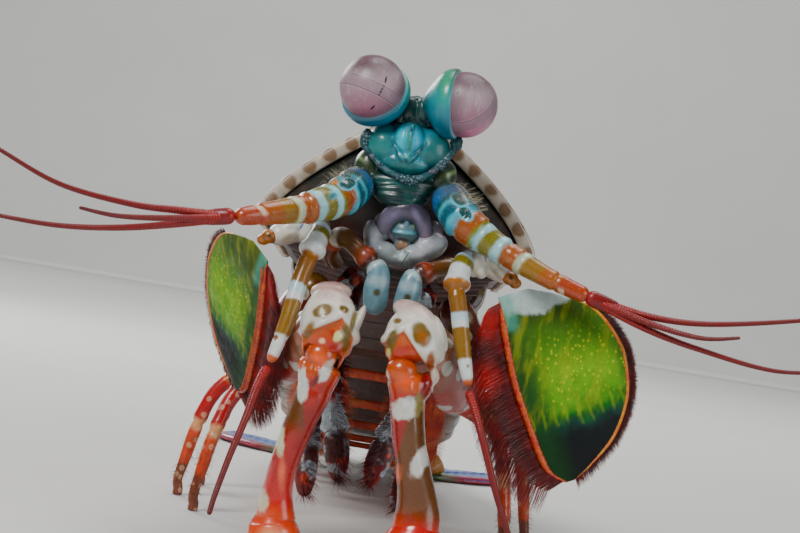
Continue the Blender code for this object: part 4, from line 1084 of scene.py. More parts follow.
def build_mouth():
    """Upper lip, ridge and mandibles."""
    hood_finish = mouth_finish("labrum_lavender", (
        (0.4, srgb(150, 144, 160)), (0.62, srgb(116, 110, 132)), (0.8, srgb(62, 58, 74))),
        (((1.2, 0.6, 43.6), (1.7, 1.7, 1.6), srgb(58, 76, 84), 0, 0.5),
         ((3.9, -0.2, 42.4), (0.5, 0.7, 2.0), srgb(160, 142, 156), 20, 0.6),
         ((2.4, -0.6, 44.9), (0.35, 1.0, 2.0), srgb(132, 122, 152), 36, 0.8),
         ((-0.6, -0.6, 44.4), (0.35, 1.0, 2.0), srgb(124, 116, 146), -30, 0.8)))
    hood = limb(Path(LABRUM, (0, 1, 0)), 40, 96,
                lambda turn, s: 1.0 + 0.05 * rough((s, turn, 2.0), 0.7))
    for centre, radii in HOOD_LUMPS:
        ball(hood, centre, radii)
    melted("labrum", hood, hood_finish, "mouth", 0.12, 5)

    ridge_finish = mouth_finish("mouth_ridge", (
        (0.3, srgb(120, 128, 126)), (0.45, srgb(92, 124, 132)), (0.6, srgb(116, 146, 158))),
        (((1.2, 0.2, 42.9), (1.35, 0.26, 1.4), srgb(118, 176, 190), 3, 0.4),
         ((1.15, -0.1, 41.2), (0.72, 0.75, 1.6), srgb(158, 126, 100), 0, 0.25),
         ((1.15, -0.1, 41.9), (0.8, 0.25, 1.6), srgb(60, 48, 46), 0, 0.5),
         ((0.4, -0.2, 44.1), (0.3, 0.5, 1.5), srgb(120, 142, 120), -20, 0.6),
         ((2.0, -0.2, 44.0), (0.3, 0.6, 1.5), srgb(120, 142, 120), 20, 0.6)))
    ridge = bmesh.new()
    for centre, radii in (((1.2, 1.1, 43.0), (1.7, 1.5, 1.5)), ((1.2, 0.3, 42.7), (1.6, 0.8, 0.4)),
                          ((1.25, 0.6, 43.9), (0.5, 1.0, 1.3)),
                          ((1.15, 1.2, 41.3), (1.1, 1.3, 1.1)),
                          ((0.3, 0.9, 43.6), (0.5, 1.0, 0.9)), ((2.1, 0.9, 43.6), (0.5, 1.0, 0.9))):
        ball(ridge, centre, radii)
    melted("mouth_ridge", ridge, ridge_finish, "mouth", 0.11, 4)

    jaw_finish = mouth_finish("mandible_pale", (
        (0.0, srgb(96, 100, 100)), (0.2, srgb(150, 160, 160)), (0.4, srgb(190, 196, 202)),
        (0.54, srgb(120, 116, 124)), (0.66, srgb(54, 50, 56))),
        (((-2.6, 0.2, 40.6), (0.55, 1.1, 2.4), srgb(216, 222, 236), 14, 0.6),
         ((3.6, 0.2, 40.9), (1.3, 0.8, 2.4), srgb(206, 210, 218), 24, 0.6),
         ((1.4, -0.2, 39.9), (0.6, 0.5, 2.0), srgb(206, 220, 220), 0, 0.6),
         ((1.75, -0.4, 39.7), (0.07, 0.9, 2.0), srgb(60, 66, 70), -24, 0.8)))
    jaws = bmesh.new()
    for centre, radii, turn in (((-2.6, 1.7, 41.6), (1.25, 1.7, 2.3), 16),
                                ((-0.8, 1.4, 39.9), (2.2, 1.7, 1.5), -14),
                                ((4.4, 1.6, 41.6), (2.5, 1.7, 1.7), 30),
                                ((2.6, 1.2, 40.3), (2.2, 1.7, 1.4), 12),
                                ((1.0, 1.5, 39.5), (2.6, 1.8, 1.2), 0),
                                ((-1.6, 2.4, 43.2), (1.3, 1.4, 1.8), 10),
                                ((4.6, 2.4, 43.2), (1.3, 1.4, 1.8), -10)):
        ball(jaws, centre, radii, Matrix.Rotation(-math.radians(turn), 3, "Y").to_quaternion())
    made = melted("mandibles", jaws, jaw_finish, "mouth", 0.13, 5)
    raised(made, lambda point, _: -0.22 * hump(point.x - 1.7 + (point.z - 40.0) * 0.4, 0.0, 0.16)
           * ease(point.y, 1.0, 0.2) * ease(point.z, 40.9, 40.3) + 0.05 * rough(point, 1.0))


def segmented(joints, uneven=0.02, scale=0.6, seed=0.0):
    """Swell of a limb whose segments flare before each crease."""
    def swell(turn, s):
        part = 1.0 + uneven * rough((s, 2.0 * math.cos(turn), 2.0 * math.sin(turn)), scale, seed)
        for where, depth, width, flare in joints:
            part *= 1.0 - depth * hump(s, where, width)
            part *= 1.0 + flare * hump(s, where - 2.2 * width, 1.3 * width)
        return part
    return swell


# First feelers: joints as place along, depth of the crease, its width and the flare before it
ANTENNULE_JOINTS = ((6.9, 0.12, 0.3, 0.06), (9.3, 0.08, 0.22, 0.04), (13.3, 0.12, 0.28, 0.07),
                    (15.4, 0.06, 0.2, 0.04), (20.4, 0.1, 0.25, 0.05))


def antennule_finish(side, colours):
    """Bands from blue at the base through orange, white and olive to red at the tip."""
    made = Finish(f"antennule_bands_{side}", 0.3, coat=0.4, glow=0.15)
    turn, along = made.pattern()
    slant = made.times(made.maths("COSINE", made.times(turn, math.tau)), -0.02)
    pale = srgb(176, 220, 224)
    place_along = made.bands(made.plus(along, slant), (
        (0.11, srgb(16, 54, 60)), (0.175, srgb(22, 104, 160)), (0.205, srgb(14, 88, 98)),
        (0.226, srgb(100, 186, 204)), (0.268, srgb(18, 96, 112)), (0.298, srgb(104, 190, 214)),
        (0.37, colours.brown_orange), (0.388, srgb(128, 140, 50)), (0.425, pale),
        (0.49, colours.olive),
        (0.54, pale), (0.625, srgb(160, 92, 14)), (0.665, srgb(206, 218, 190)),
        (0.76, srgb(150, 114, 20)), (0.86, srgb(168, 98, 12)), (1.0, srgb(168, 72, 8))), 0.008,
        0.03)
    s = SIDES[side]
    base = {"left": ((8.05, -4.9, 46.35), (7.0, -4.6, 48.0)),
            "right": ((-8.4, -6.2, 45.4), (-6.6, -5.4, 47.6))}[side]
    for middle, (long, short), turned in ((base[0], (0.95, 0.62), -38 * s),
                                          (base[1], (1.1, 0.7), -30 * s)):
        made.mark(middle, (long + 0.3, short + 0.26, 1.9), srgb(134, 206, 224), turned, 0.16, 0.35)
        made.mark(middle, (long, short, 1.9), srgb(12, 78, 78), turned, 0.2, 0.35)
    top = place((8.0 * s, -1.0, 48.6))
    crust = made.oval(top, Vector((1, 0, 0)) / (3.4 * MM), Vector((0, 0, 1)) / (1.5 * MM),
                      Vector((0, 1, 0)) / (3.4 * MM), 0.5, 0.7)
    made.lay(crust, srgb(92, 96, 84), 0.8)
    spot = {"left": (8.6, -4.2, 48.6), "right": (-8.3, -5.4, 47.6)}[side]
    made.mark(spot, (0.6, 0.42, 1.6), srgb(214, 150, 30), 20 * s, 0.4)
    white = made.times(made.step(place_along, 0.862, 0.872), made.step(place_along, 0.905, 0.892))
    under = made.step(made.maths("SINE", made.times(turn, math.tau)), 0.1, -0.4)
    made.lay(made.times(white, under), srgb(232, 214, 190), 0.9)
    speckle = made.cells(made.point, 1.9)
    made.lay(made.step(speckle, 0.16, 0.08), srgb(244, 240, 214), 0.35)
    made.shell(1.4, 6.0, 0.02, 0.2, srgb(30, 30, 16))
    return made.done()


def whip_finish(colours):
    """Dark translucent red with fine rings."""
    made = Finish("whip_red", 0.38, coat=0.2, glow=0.15)
    _, along = made.pattern()
    made.colour = made.ramp(along,
                            ((0.0, srgb(168, 26, 8)), (0.25, colours.whip), (1.0, srgb(96, 8, 14))))
    made.lay(made.step(made.maths("SINE", made.times(along, 420.0)), 0.0, 1.0), srgb(70, 4, 10),
             0.3)
    made.shell(1.6, 8.0, 0.01, 0.2)
    return made.done()


def ringed(count, depth, end):
    """Swell of a thin feeler with fine rings all the way along."""
    return lambda turn, s: 1.0 + depth * math.sin(math.tau * s * count / end)


def whip_line(points, radii, around, along, ring_length, fade=0.82):
    """One ringed whip along a line of points."""
    rows = smooth(points, 6)
    last = len(rows) - 1
    stations = [(*row, *(2 * (radii[0] + (radii[1] - radii[0]) * (k / last) ** fade,))) for k,
                row in enumerate(rows)]
    path = Path(stations, (0.1, 1, 0.2))
    return limb(path, around, along, ringed(path.length / ring_length, 0.07, path.length))


ANTENNULE_HAIRS = 70


def build_first_feelers(colours, sizes):
    """First feelers with their whips and hairs."""
    pick = random.Random(SEED)
    red = whip_finish(colours)
    hair = Finish("pale_hair", 0.5)
    hair.colour = hair.ramp(hair.grain(hair.point, 2.0),
                            ((0.3, srgb(188, 180, 150)), (0.7, srgb(230, 224, 204))))
    pale_hair = hair.done()
    for side, s in SIDES.items():
        path = Path(ANTENNULE[side], (0.2, 1, 0.3))
        bm = limb(path, 72, 220, segmented(ANTENNULE_JOINTS, 0.03, 0.5, s))
        piece(f"antennule_{side}", bm, antennule_finish(side, colours), f"antennule_{side}")
        lines = [whip_line(points, (sizes.whip_radius / MM, 0.2), 12, 420,
                           0.34) for points in FLAGELLA[side]]
        first = Vector(FLAGELLA[side][0][0])
        start = first - Vector((0.9 * s, -0.1, -0.25))
        knob = Path([(*start, 0.9, 0.95), (*(first + Vector((0.3 * s, 0.0, -0.1))), 0.85, 1.0),
                     (*(first + Vector((1.6 * s, -0.2, -0.4))), 0.62, 0.95),
                     (*(first + Vector((3.2 * s, -0.5, -0.8))), 0.4, 0.8)], (0, 1, 0))
        piece(f"antennule_flagella_{side}", joined(limb(knob, 32, 60), *lines), red,
              f"antennule_flagella_{side}")
        hairs = []
        for _ in range(ANTENNULE_HAIRS):
            along = pick.uniform(2.2, 7.2)
            centre, way, _, _, a, _ = path.at(along)
            out = Vector((pick.uniform(-0.2, 0.9) * s, pick.uniform(-1.0, 0.2),
                          pick.uniform(0.5, 1.0)))
            out = (out - way * out.dot(way)).normalized()
            root = centre + out * a * 0.96
            tip = root + (out * 0.8 + way * pick.uniform(0.2, 0.9)).normalized() * pick.uniform(0.8,
                                                                                                1.8)
            middle = (root + tip) / 2 + out * 0.12
            hairs.append(((root, middle, tip), 0.022, (along / 24.0, pick.random() * 0.9)))
        bristles(f"antennule_hair_{side}", hairs, pale_hair, f"antennule_{side}")


# Second feelers: joints as place, depth, width and flare, and lumps as middle, half sizes and turn
ANTENNA_JOINTS = ((2.6, 0.14, 0.4, 0.08), (8.3, 0.22, 0.5, 0.22), (19.3, 0.1, 0.3, 0.02))
HOOK_LUMPS = {
    "left": (((10.6, -1.6, 40.6), (1.15, 1.3, 1.9), -14),
             ((11.6, -1.9, 41.5), (1.2, 1.1, 0.95), -35),
             ((12.7, -2.2, 40.8), (1.5, 1.0, 0.8), -42),
             ((13.7, -2.4, 40.0), (1.2, 1.0, 0.75), -42),
             ((11.2, -1.8, 39.6), (0.8, 1.0, 0.9), 20)),
    "right": (((-11.0, -1.6, 41.2), (1.1, 1.3, 1.7), 14),
              ((-12.0, -1.9, 41.6), (1.2, 1.1, 0.9), 30),
              ((-13.2, -2.2, 41.0), (1.4, 1.0, 0.8), 40),
              ((-14.1, -2.4, 40.4), (1.0, 1.0, 0.7), 40)),
}
HINGE_BALLS = {"left": (14.9, -2.7, 39.4), "right": (-15.1, -2.8, 39.6)}


def antenna_finish(side, colours):
    """Brown and white bands of the second feelers."""
    made = Finish(f"antenna_bands_{side}", 0.32, coat=0.35, glow=0.15)
    _, along = made.pattern()
    white = colours.white
    brown = srgb(140, 98, 26)
    made.bands(along, (
        (0.12, srgb(120, 104, 84)), (0.19, srgb(186, 208, 222)), (0.25, srgb(126, 118, 46)),
        (0.36, white),
        (0.385, srgb(176, 116, 30)), (0.43, srgb(150, 100, 22)), (0.55, brown),
        (0.60, srgb(206, 232, 238)), (0.645, white), (0.84, srgb(142, 108, 24)), (0.965, white),
        (1.0, srgb(206, 104, 22))), 0.008, 0.035)
    for middle in ({"left": (11.35, -8.9, 28.2), "right": (-11.9, -9.9, 27.8)}[side],):
        made.mark(middle, (0.3, 0.34, 0.8), srgb(146, 84, 50), 0, 0.35)
    made.shell(1.6, 7.0, 0.02, 0.16, srgb(60, 40, 20))
    return made.done()


def hook_finish():
    """White base of the second feelers with blue lines."""
    made = Finish("antenna_base_white", 0.34, coat=0.4, glow=0.2)
    made.colour = made.ramp(made.grain(made.point, 0.5, 3.0), (
        (0.3, srgb(214, 206, 190)), (0.55, srgb(238, 236, 228)), (0.8, srgb(214, 226, 238))))
    for s in SIDES.values():
        made.mark((11.9 * s, -2.9, 42.0), (0.75, 0.11, 1.4), srgb(70, 96, 170), -30 * s, 0.7)
        made.mark((11.4 * s, -2.9, 41.5), (0.12, 0.6, 1.4), srgb(90, 112, 176), 20 * s, 0.7)
        made.mark((12.9 * s, -1.6, 39.9), (1.0, 0.3, 1.6), srgb(170, 160, 140), -40 * s, 0.7)
        made.mark((10.5 * s, 2.5, 42.4), (3.0, 3.0, 3.6), srgb(96, 84, 66), 0, 0.5)
    made.shell(0.9, 5.0, 0.02, 0.12, srgb(90, 80, 60))
    return made.done()


def hinge_finish():
    """Brown hinge of the green blades."""
    made = Finish("hinge_brown", 0.34, coat=0.4, glow=0.15)
    made.colour = made.ramp(made.grain(made.point, 1.2, 3.0), (
        (0.3, srgb(120, 78, 22)), (0.55, srgb(176, 112, 30)), (0.8, srgb(206, 146, 54))))
    for middle in HINGE_BALLS.values():
        made.mark((middle[0], middle[1] - 1.0, middle[2] + 0.1), (0.3, 0.3, 0.8), srgb(90, 56, 20),
                  0, 0.4)
    made.shell(1.6, 7.0, 0.02, 0.2)
    return made.done()


def build_second_feelers(colours, sizes):
    """Second feelers with their bases and whips."""
    red = whip_finish(colours)
    white = hook_finish()
    brown = hinge_finish()
    for side, s in SIDES.items():
        base = limb(Path(ANTENNA_BASE[side], (0.1, 0.3, 1)), 32, 48)
        for centre, radii, turn in HOOK_LUMPS[side]:
            ball(base, centre, radii, Matrix.Rotation(-math.radians(turn), 3, "Y").to_quaternion(),
                 20)
        made = melted(f"antenna_base_{side}", base, white, f"antenna_{side}", 0.12,
                      3)
        raised(made, lambda point, _: 0.05 * rough(point, 1.1))
        hinge = bmesh.new()
        ball(hinge, HINGE_BALLS[side], (1.0, 0.95, 0.9))
        ball(hinge, Vector(HINGE_BALLS[side]) + Vector((0.7 * s, 0.2, -0.5)), (0.8, 0.8, 0.7))
        melted(f"antenna_hinge_{side}", hinge, brown, f"antenna_{side}", 0.1, 2)
        arm = limb(Path(ANTENNA_ARM[side]), 56, 200,
                   lambda turn,
                   s: segmented(ANTENNA_JOINTS, 0.03, 0.7)(turn,
                                                           s) * (1.0 - 0.2 * ease(s, 7.6, 9.4)))
        piece(f"antenna_arm_{side}", arm, antenna_finish(side, colours), f"antenna_{side}")
        line = whip_line(ANTENNA_WHIP[side], (1.1 * sizes.whip_radius / MM, 0.3), 14, 300, 0.32)
        piece(f"antenna_whip_{side}", line, red, f"antenna_whip_{side}")


# Blades beside the second feelers
SCALE_UV = 30.0
SCALE_OUTLINE_POINTS = 160


BLADE_PART = 0.95
SCALE_OUTER_LINE = [(part * BLADE_PART, reach * BLADE_PART) for part,
                    reach in smooth((*SCALE_OUTER[:-1], (1.02, 0.6)), 10)]
SCALE_INNER_LINE = [(part * BLADE_PART, reach) for part,
                    reach in smooth((*SCALE_INNER[:-1], (1.02, 0.4)), 10)]
BLADE_END = 1.02 * BLADE_PART


def scale_axes(side):
    """The directions across, along and out of a blade."""
    origin, run, across = SCALES[side]
    run = run.normalized()
    across = (across - run * across.dot(run)).normalized()
    return origin, run, across, across.cross(run).normalized()


def scale_outline():
    """Blade outline as length and reach: out along one edge and back along the other."""
    count = SCALE_OUTLINE_POINTS // 2
    rows = []
    for k in range(count):
        part = BLADE_END * 0.5 * (1.0 - math.cos(math.pi * k / count))
        rows.append((part * SCALE_LENGTH, table(SCALE_OUTER_LINE, part)))
    for k in range(count):
        part = BLADE_END * 0.5 * (1.0 + math.cos(math.pi * k / count))
        rows.append((part * SCALE_LENGTH, -table(SCALE_INNER_LINE, part)))
    return rows


def blade(outline, origin, run, across, up, rings, thickness, relief=None, sides=1.0):
    """A closed plate whose outline is seen from its middle; thickness is by part of the way out."""
    middle = [sum(point[k] for point in outline) / len(outline) for k in (0, 1)]
    count = len(outline)

    def shape(u, v):
        edge = outline[round(u * count) % count]
        out = 1.0 - abs(2.0 * v - 1.0) ** 1.6
        side = 1.0 if v > 0.5 else -1.0
        a = middle[0] + (edge[0] - middle[0]) * out
        c = middle[1] + (edge[1] - middle[1]) * out
        lift = side * thickness(out)
        if relief:
            lift += relief(a, c, side, out)
        return origin + run * a + across * c + up * lift, (0.5 + c / SCALE_UV * sides, a / SCALE_UV)
    return sheet_of(count, rings, shape)


def scale_finish(colours):
    """Green blade: white at the root, bright with pale dots at the middle and black at the end."""
    made = Finish("antennal_scale_green", 0.55)
    made.shader.inputs["Specular IOR Level"].default_value = 0.25
    across, along = made.pattern()
    a = made.times(along, SCALE_UV / SCALE_LENGTH)
    c = made.times(made.less(across, 0.5), SCALE_UV)
    cloud = made.times(made.less(made.grain(made.point, 0.4, 4.0), 0.5), 0.12)
    a = made.plus(a, cloud)
    side = made.size(made.less(c, 4.4))
    made.colour = made.ramp(a, (
        (0.0, srgb(88, 100, 32)), (0.14, srgb(60, 82, 20)), (0.28, srgb(86, 128, 10)),
        (0.44, colours.scale_green),
        (0.58, srgb(112, 166, 4)), (0.655, srgb(36, 110, 22)), (0.70, srgb(6, 58, 48)),
        (0.745, srgb(2, 8, 16)),
        (1.0, srgb(2, 3, 6))))
    made.lay(made.times(made.step(side, 4.2, 6.8), made.step(a, 0.74, 0.66)), srgb(14, 74, 34), 0.8)
    made.lay(made.times(made.step(c, 2.0, -1.6), made.step(a, 0.1, 0.4)), srgb(14, 66, 30), 0.75)
    streak = made.grain(made.vector("MULTIPLY", made.point, (1.0, 1.0, 0.22)), 1.0, 3.0)
    made.lay(made.times(made.step(streak, 0.45, 0.7), made.step(a, 0.7, 0.6)), srgb(176, 186, 4),
             0.4)
    dots = made.cells(made.vector("MULTIPLY", made.point, (1.0, 1.0, 0.8)), 1.8)
    field = made.times(made.step(a, 0.2, 0.34), made.step(a, 0.66, 0.5))
    field = made.times(field, made.step(c, -1.2, 0.8))
    made.lay(made.times(made.step(dots, 0.36, 0.12), field), srgb(212, 222, 70), 0.75)
    ends = made.maths("SINE", made.maths("MULTIPLY_ADD", c, 4.2, made.times(cloud, 40.0)))
    rays = made.times(made.step(a, 0.56, 0.62), made.step(a, 0.71, 0.66))
    made.lay(made.times(made.step(ends, 0.3, 1.0), rays), srgb(150, 176, 10), 0.4)
    patch = made.plus(a, made.times(made.size(made.less(c, 2.2)), 0.009))
    shown = made.step(made.node("SeparateXYZ", {0: made.point}).outputs[0], 0.0, MM)
    made.lay(made.times(made.step(patch, 0.15, 0.12), shown), srgb(200, 216, 214), 0.97)
    made.lay(made.times(made.step(c, -0.2, -1.4), made.step(a, 0.2, 0.14)), srgb(110, 178, 160),
             0.6)
    made.raise_by(dots, -0.05)
    made.shell(0.8, 5.0, 0.03, 0.22, srgb(10, 30, 10))
    return made.done()


def rim_finish(name, low, high):
    """Fine beads in two warm colours."""
    made = Finish(name, 0.34, coat=0.4, glow=0.15)
    made.colour = made.ramp(made.grain(made.point, 0.9, 3.0), ((0.3, low), (0.7, high)))
    beads = made.cells(made.point, 2.6)
    made.lay(made.step(beads, 0.3, 0.1), srgb(238, 190, 90), 0.5)
    made.raise_by(beads, -0.08)
    made.shell(1.5, 7.0, 0.02, 0.2, srgb(60, 10, 0))
    return made.done()


def fringe_finish(name, low, high):
    """Setae that pass from one colour to another."""
    made = Finish(name, 0.42, coat=0.2, glow=0.2)
    made.colour = made.ramp(made.grain(made.point, 0.35, 3.0), ((0.35, low), (0.7, high)))
    made.shell(1.2, 6.0, 0.01, 0.2)
    return made.done()


def inner_fringe_finish():
    """Dark red setae with two bright red patches where the light comes through."""
    made = Finish("fringe_bright_red", 0.42, coat=0.2, glow=0.15)
    made.colour = made.ramp(made.grain(made.point, 0.4, 3.0),
                            ((0.35, srgb(62, 4, 8)), (0.7, srgb(128, 10, 12))))
    for middle, radii in (((12.7, -3.0, 33.6), (1.5, 1.9, 4.0)),
                          ((13.6, -3.0, 26.4), (1.7, 2.1, 4.0)),
                          ((-12.9, 0.0, 34.0), (1.2, 2.4, 5.0))):
        made.mark(middle, radii, srgb(226, 28, 16), 0, 0.8, 0.5, 0.9)
    made.mark((12.6, -3.0, 36.4), (1.8, 1.2, 4.0), srgb(150, 96, 90), 0, 0.9, 0.5, 0.6)
    made.shell(1.2, 6.0, 0.01, 0.2)
    return made.done()


SCALE_BEADS = 110
OUTER_FRINGE_HAIRS = 700
INNER_FRINGE_HAIRS = 1300


def build_scales(colours, sizes):
    """Green blades with their rims and fringes."""
    pick = random.Random(SEED + 1)
    green = scale_finish(colours)
    outer_rim = rim_finish("scale_rim_yellow", srgb(214, 96, 12), srgb(222, 168, 24))
    inner_rim = rim_finish("scale_rim_orange", srgb(168, 38, 10), srgb(216, 108, 20))
    fringe = fringe_finish("fringe_red", srgb(34, 4, 8), srgb(86, 8, 14))
    glow = inner_fringe_finish()
    outline = scale_outline()
    for side, s in SIDES.items():
        origin, run, across, up = scale_axes(side)

        def spot(part, reach, lift=0.0):
            return origin + run * (part * SCALE_LENGTH) + across * reach + up * lift

        def relief(a, c, face, out):
            wave = 0.16 * math.sin(a * 0.55 + 0.4) * ease(out, 1.0, 0.6)
            rib = 0.12 * hump(c, 1.2 + a * 0.03, 2.2) * ease(out, 1.0, 0.8)
            wave -= face * 0.22 * ease(out, 0.75, 0.2)
            return wave + face * rib + face * 0.05 * rough((a, c, face), 0.8) * ease(out, 1.0, 0.9)
        bm = blade(outline, origin, run, across, up, 96,
                   lambda out: (0.32 + 0.42 * (1.0 - out ** 2)) * (1.0 - out ** 8) ** 0.4, relief)
        piece(f"antennal_scale_{side}", bm, green, f"antennal_scale_{side}")

        def edge_path(line, sign, first, last, radius, inset, count=40):
            rows = []
            for k in range(count + 1):
                part = first + (last - first) * k / count
                reach = sign * (table(line, part) - inset)
                fade = min(1.0, 0.25 + 6.0 * min(part - first, last - part))
                rows.append((*spot(part, reach), radius * fade, radius * fade * 0.8))
            return rows
        rim = limb(Path(edge_path(SCALE_OUTER_LINE, 1, 0.1, BLADE_END, 0.3, 0.1), up), 14, 220,
                   lambda turn, s: 1.0 + 0.08 * math.sin(s * 13.0))
        piece(f"scale_outer_rim_{side}", rim, outer_rim, f"antennal_scale_{side}")
        band = limb(Path(edge_path(SCALE_INNER_LINE, -1, 0.02, BLADE_END, 0.55, 0.1), up), 20, 260,
                    lambda turn, s: 1.0 + 0.07 * math.sin(s * 9.0) * math.sin(2 * turn))
        for k in range(SCALE_BEADS):
            part = 0.05 + 0.86 * k / SCALE_BEADS
            for row, lift in ((0.35, 0.48), (-0.05, 0.56)):
                reach = -(table(SCALE_INNER_LINE, part) - 0.15) + row + 0.08 * (k % 2)
                point = spot(part, reach, lift * s * (1 if side == "left" else -1))
                bmesh.ops.create_icosphere(band, subdivisions=1, radius=0.12 * MM,
                                           matrix=Matrix.Translation(place(point)))
        piece(f"scale_inner_rim_{side}", band, inner_rim, f"antennal_scale_{side}")

        outer, inner = [], []
        for k in range(OUTER_FRINGE_HAIRS):
            part = 0.16 + (BLADE_END - 0.165) * k / OUTER_FRINGE_HAIRS
            reach = table(SCALE_OUTER_LINE, part)
            ahead = table(SCALE_OUTER_LINE, min(BLADE_END, part + 0.02))
            edge = (spot(min(BLADE_END, part + 0.02), ahead) - spot(part, reach)).normalized()
            out = edge.cross(up) if (edge.cross(up)).dot(across) > 0 else -edge.cross(up)
            root = spot(part, reach - 0.1, pick.uniform(-0.15, 0.15))
            length = sizes.outer_fringe / MM * (0.85 + 0.3 * pick.random())
            length *= 0.5 + 0.5 * ease(part, 0.12, 0.3)
            tip = root + (out + edge * 0.45).normalized() * length + up * pick.uniform(-0.12, 0.12)
            outer.append(((root, (root + tip) / 2 + out * 0.05, tip), 0.055,
                          (0.55 + 0.4 * part, part * 0.9)))
        for k in range(INNER_FRINGE_HAIRS):
            part = 0.03 + (BLADE_END - 0.04) * k / INNER_FRINGE_HAIRS
            reach = -table(SCALE_INNER_LINE, part)
            root = spot(part, reach + 0.1, pick.uniform(-0.2, 0.2))
            length = sizes.inner_fringe / MM * (0.9 + 0.2 * pick.random())
            length *= (0.35 + 0.65 * ease(part, 0.0, 0.2)) * (1.0 - 0.4 * ease(part, 0.6, 1.0))
            drop = run * length * (0.42 + 0.25 * part)
            tip = root - across * length * 0.92 + drop + up * pick.uniform(-0.35, 0.35)
            bend = root - across * length * 0.55 + drop * 0.25 + up * pick.uniform(-0.15, 0.15)
            inner.append(((root, (root + bend) / 2 - across * 0.1, bend, tip), 0.05,
                          (0.45 - 0.4 * part, part * 0.9)))
        bristles(f"scale_outer_fringe_{side}", outer, fringe, f"antennal_scale_{side}")
        bristles(f"scale_inner_fringe_{side}", inner, glow, f"antennal_scale_{side}")


# Jaw legs: finish rows as parts of the length
def jaw_leg_finish(side):
    """Brown and white arm that ends in a pale blue rounded segment with a brown spot."""
    made = Finish(f"jaw_leg_{side}", 0.34, coat=0.3, glow=0.2)
    _, along = made.pattern()
    made.bands(along, (
        (0.30, srgb(120, 72, 40)), (0.36, srgb(196, 96, 36)), (0.44, srgb(226, 218, 206)),
        (0.54, srgb(108, 74, 26)), (0.60, srgb(120, 70, 26)), (0.655, srgb(140, 62, 26)),
        (0.69, srgb(72, 30, 16)), (0.73, srgb(186, 208, 212)), (1.0, srgb(118, 154, 166))), 0.008,
        0.04)
    x = {"left": 2.8, "right": -1.0}[side]
    made.mark((x, -3.9, 35.0), (0.45, 0.45, 1.2), srgb(66, 66, 38), 10, 0.4, 0.5)
    made.mark((x, -3.9, 36.4), (1.5, 0.6, 2.4), srgb(200, 216, 222), 0, 0.7, 0.3, 0.5)
    made.shell(1.2, 6.0, 0.02, 0.25, srgb(40, 30, 40))
    return made.done()


def dark_leg_finish():
    """Dark red jaw legs with white and bluish patches."""
    made = Finish("jaw_leg_dark", 0.4, coat=0.2, glow=0.15)
    _, along = made.pattern()
    made.bands(along, (
        (0.30, srgb(60, 14, 10)), (0.36, srgb(170, 60, 26)), (0.42, srgb(150, 170, 180)),
        (0.52, srgb(96, 14, 12)), (0.62, srgb(56, 8, 10)), (0.68, srgb(176, 52, 22)),
        (0.80, srgb(196, 212, 220)), (0.9, srgb(90, 60, 60)), (1.0, srgb(120, 24, 16))), 0.01, 0.14,
        0.5)
    patch = made.grain(made.point, 0.45, 2.0)
    made.lay(made.step(patch, 0.58, 0.64), srgb(186, 206, 218), 0.8)
    made.lay(made.step(made.grain(made.vector("ADD", made.point, (0.02, 0.01, 0.0)), 0.5, 2.0), 0.6,
                       0.66),
             srgb(206, 80, 34), 0.8)
    made.shell(1.0, 5.0, 0.02, 0.3, srgb(30, 4, 6))
    return made.done()


def brush(pick, path, first, last, count, out_way, length, radius, spread=0.6):
    """Rows of setae on one side of a limb."""
    hairs = []
    for _ in range(count):
        s = path.length * pick.uniform(first, last)
        centre, way, _, _, a, b = path.at(s)
        out = Vector(out_way) + Vector([pick.uniform(-spread, spread) for _ in range(3)])
        out = (out - way * out.dot(way)).normalized()
        root = centre + out * min(a, b) * 0.85
        tip = root + (out + way * pick.uniform(0.3, 1.1)).normalized() * length * pick.uniform(0.6,
                                                                                               1.15)
        bend = (root + tip) / 2 + out * 0.1 * length
        hairs.append(((root, bend, tip), radius, (s / path.length * 0.95, pick.random() * 0.95)))
    return hairs


FIRST_LEG_HAIRS = 160
BRUSH_HAIRS = 620


def build_jaw_legs(sizes):
    """Jaw legs and the brushes on them."""
    pick = random.Random(SEED + 2)
    dark = dark_leg_finish()
    setae = fringe_finish("brush_dark", srgb(36, 8, 10), srgb(92, 16, 14))
    for side, s in SIDES.items():
        path = Path(JAW_LEG_3[side], (1, 0.3, 0.2))

        def knuckles(turn, along, end=path.length):
            part = 1.0 - 0.22 * hump(along, 0.69 * end, 0.25) - 0.12 * hump(along, 0.36 * end, 0.3)
            part *= 1.0 + 0.10 * hump(along, 0.63 * end, 0.7) - 0.16 * ease(along, 0.43 * end,
                                                                            0.5 * end) \
                * ease(along, 0.63 * end, 0.56 * end)
            return part * (1.0 + 0.03 * rough((along, math.cos(turn), math.sin(turn)), 0.8,
                                              4.0 * s))
        piece(f"jaw_leg_3_{side}", limb(path, 48, 150, knuckles), jaw_leg_finish(side),
              f"maxilliped_3_{side}")
        for number, stations in JAW_LEGS.items():
            held = [(x * s, y, z, wide, deep) for x, y, z, wide, deep in stations]
            path = Path(held, (0, 0.2, 1) if number == 1 else (1, 0, 0))

            def knuckles(turn, along, end=path.length):
                part = 1.0
                for where in (0.36, 0.62, 0.8):
                    part *= 1.0 - 0.28 * hump(along, where * end, 0.35)
                    part *= 1.0 + 0.18 * hump(along, where * end - 0.9, 0.6)
                return part
            piece(f"jaw_leg_{number}_{side}", limb(path, 32, 120, knuckles), dark,
                  f"maxilliped_{number}_{side}")
            if number == 1:
                hairs = brush(pick, path, 0.55, 1.0, FIRST_LEG_HAIRS, (-0.2 * s, -1.0, 0.2), 0.9, 0.02)
            else:
                hairs = brush(pick, path, 0.42, 1.0, BRUSH_HAIRS, (-0.5 * s, -1.0, -0.1),
                              sizes.brush_length / MM, 0.035, 0.8)
            bristles(f"jaw_leg_{number}_brush_{side}", hairs, setae, f"maxilliped_{number}_{side}")


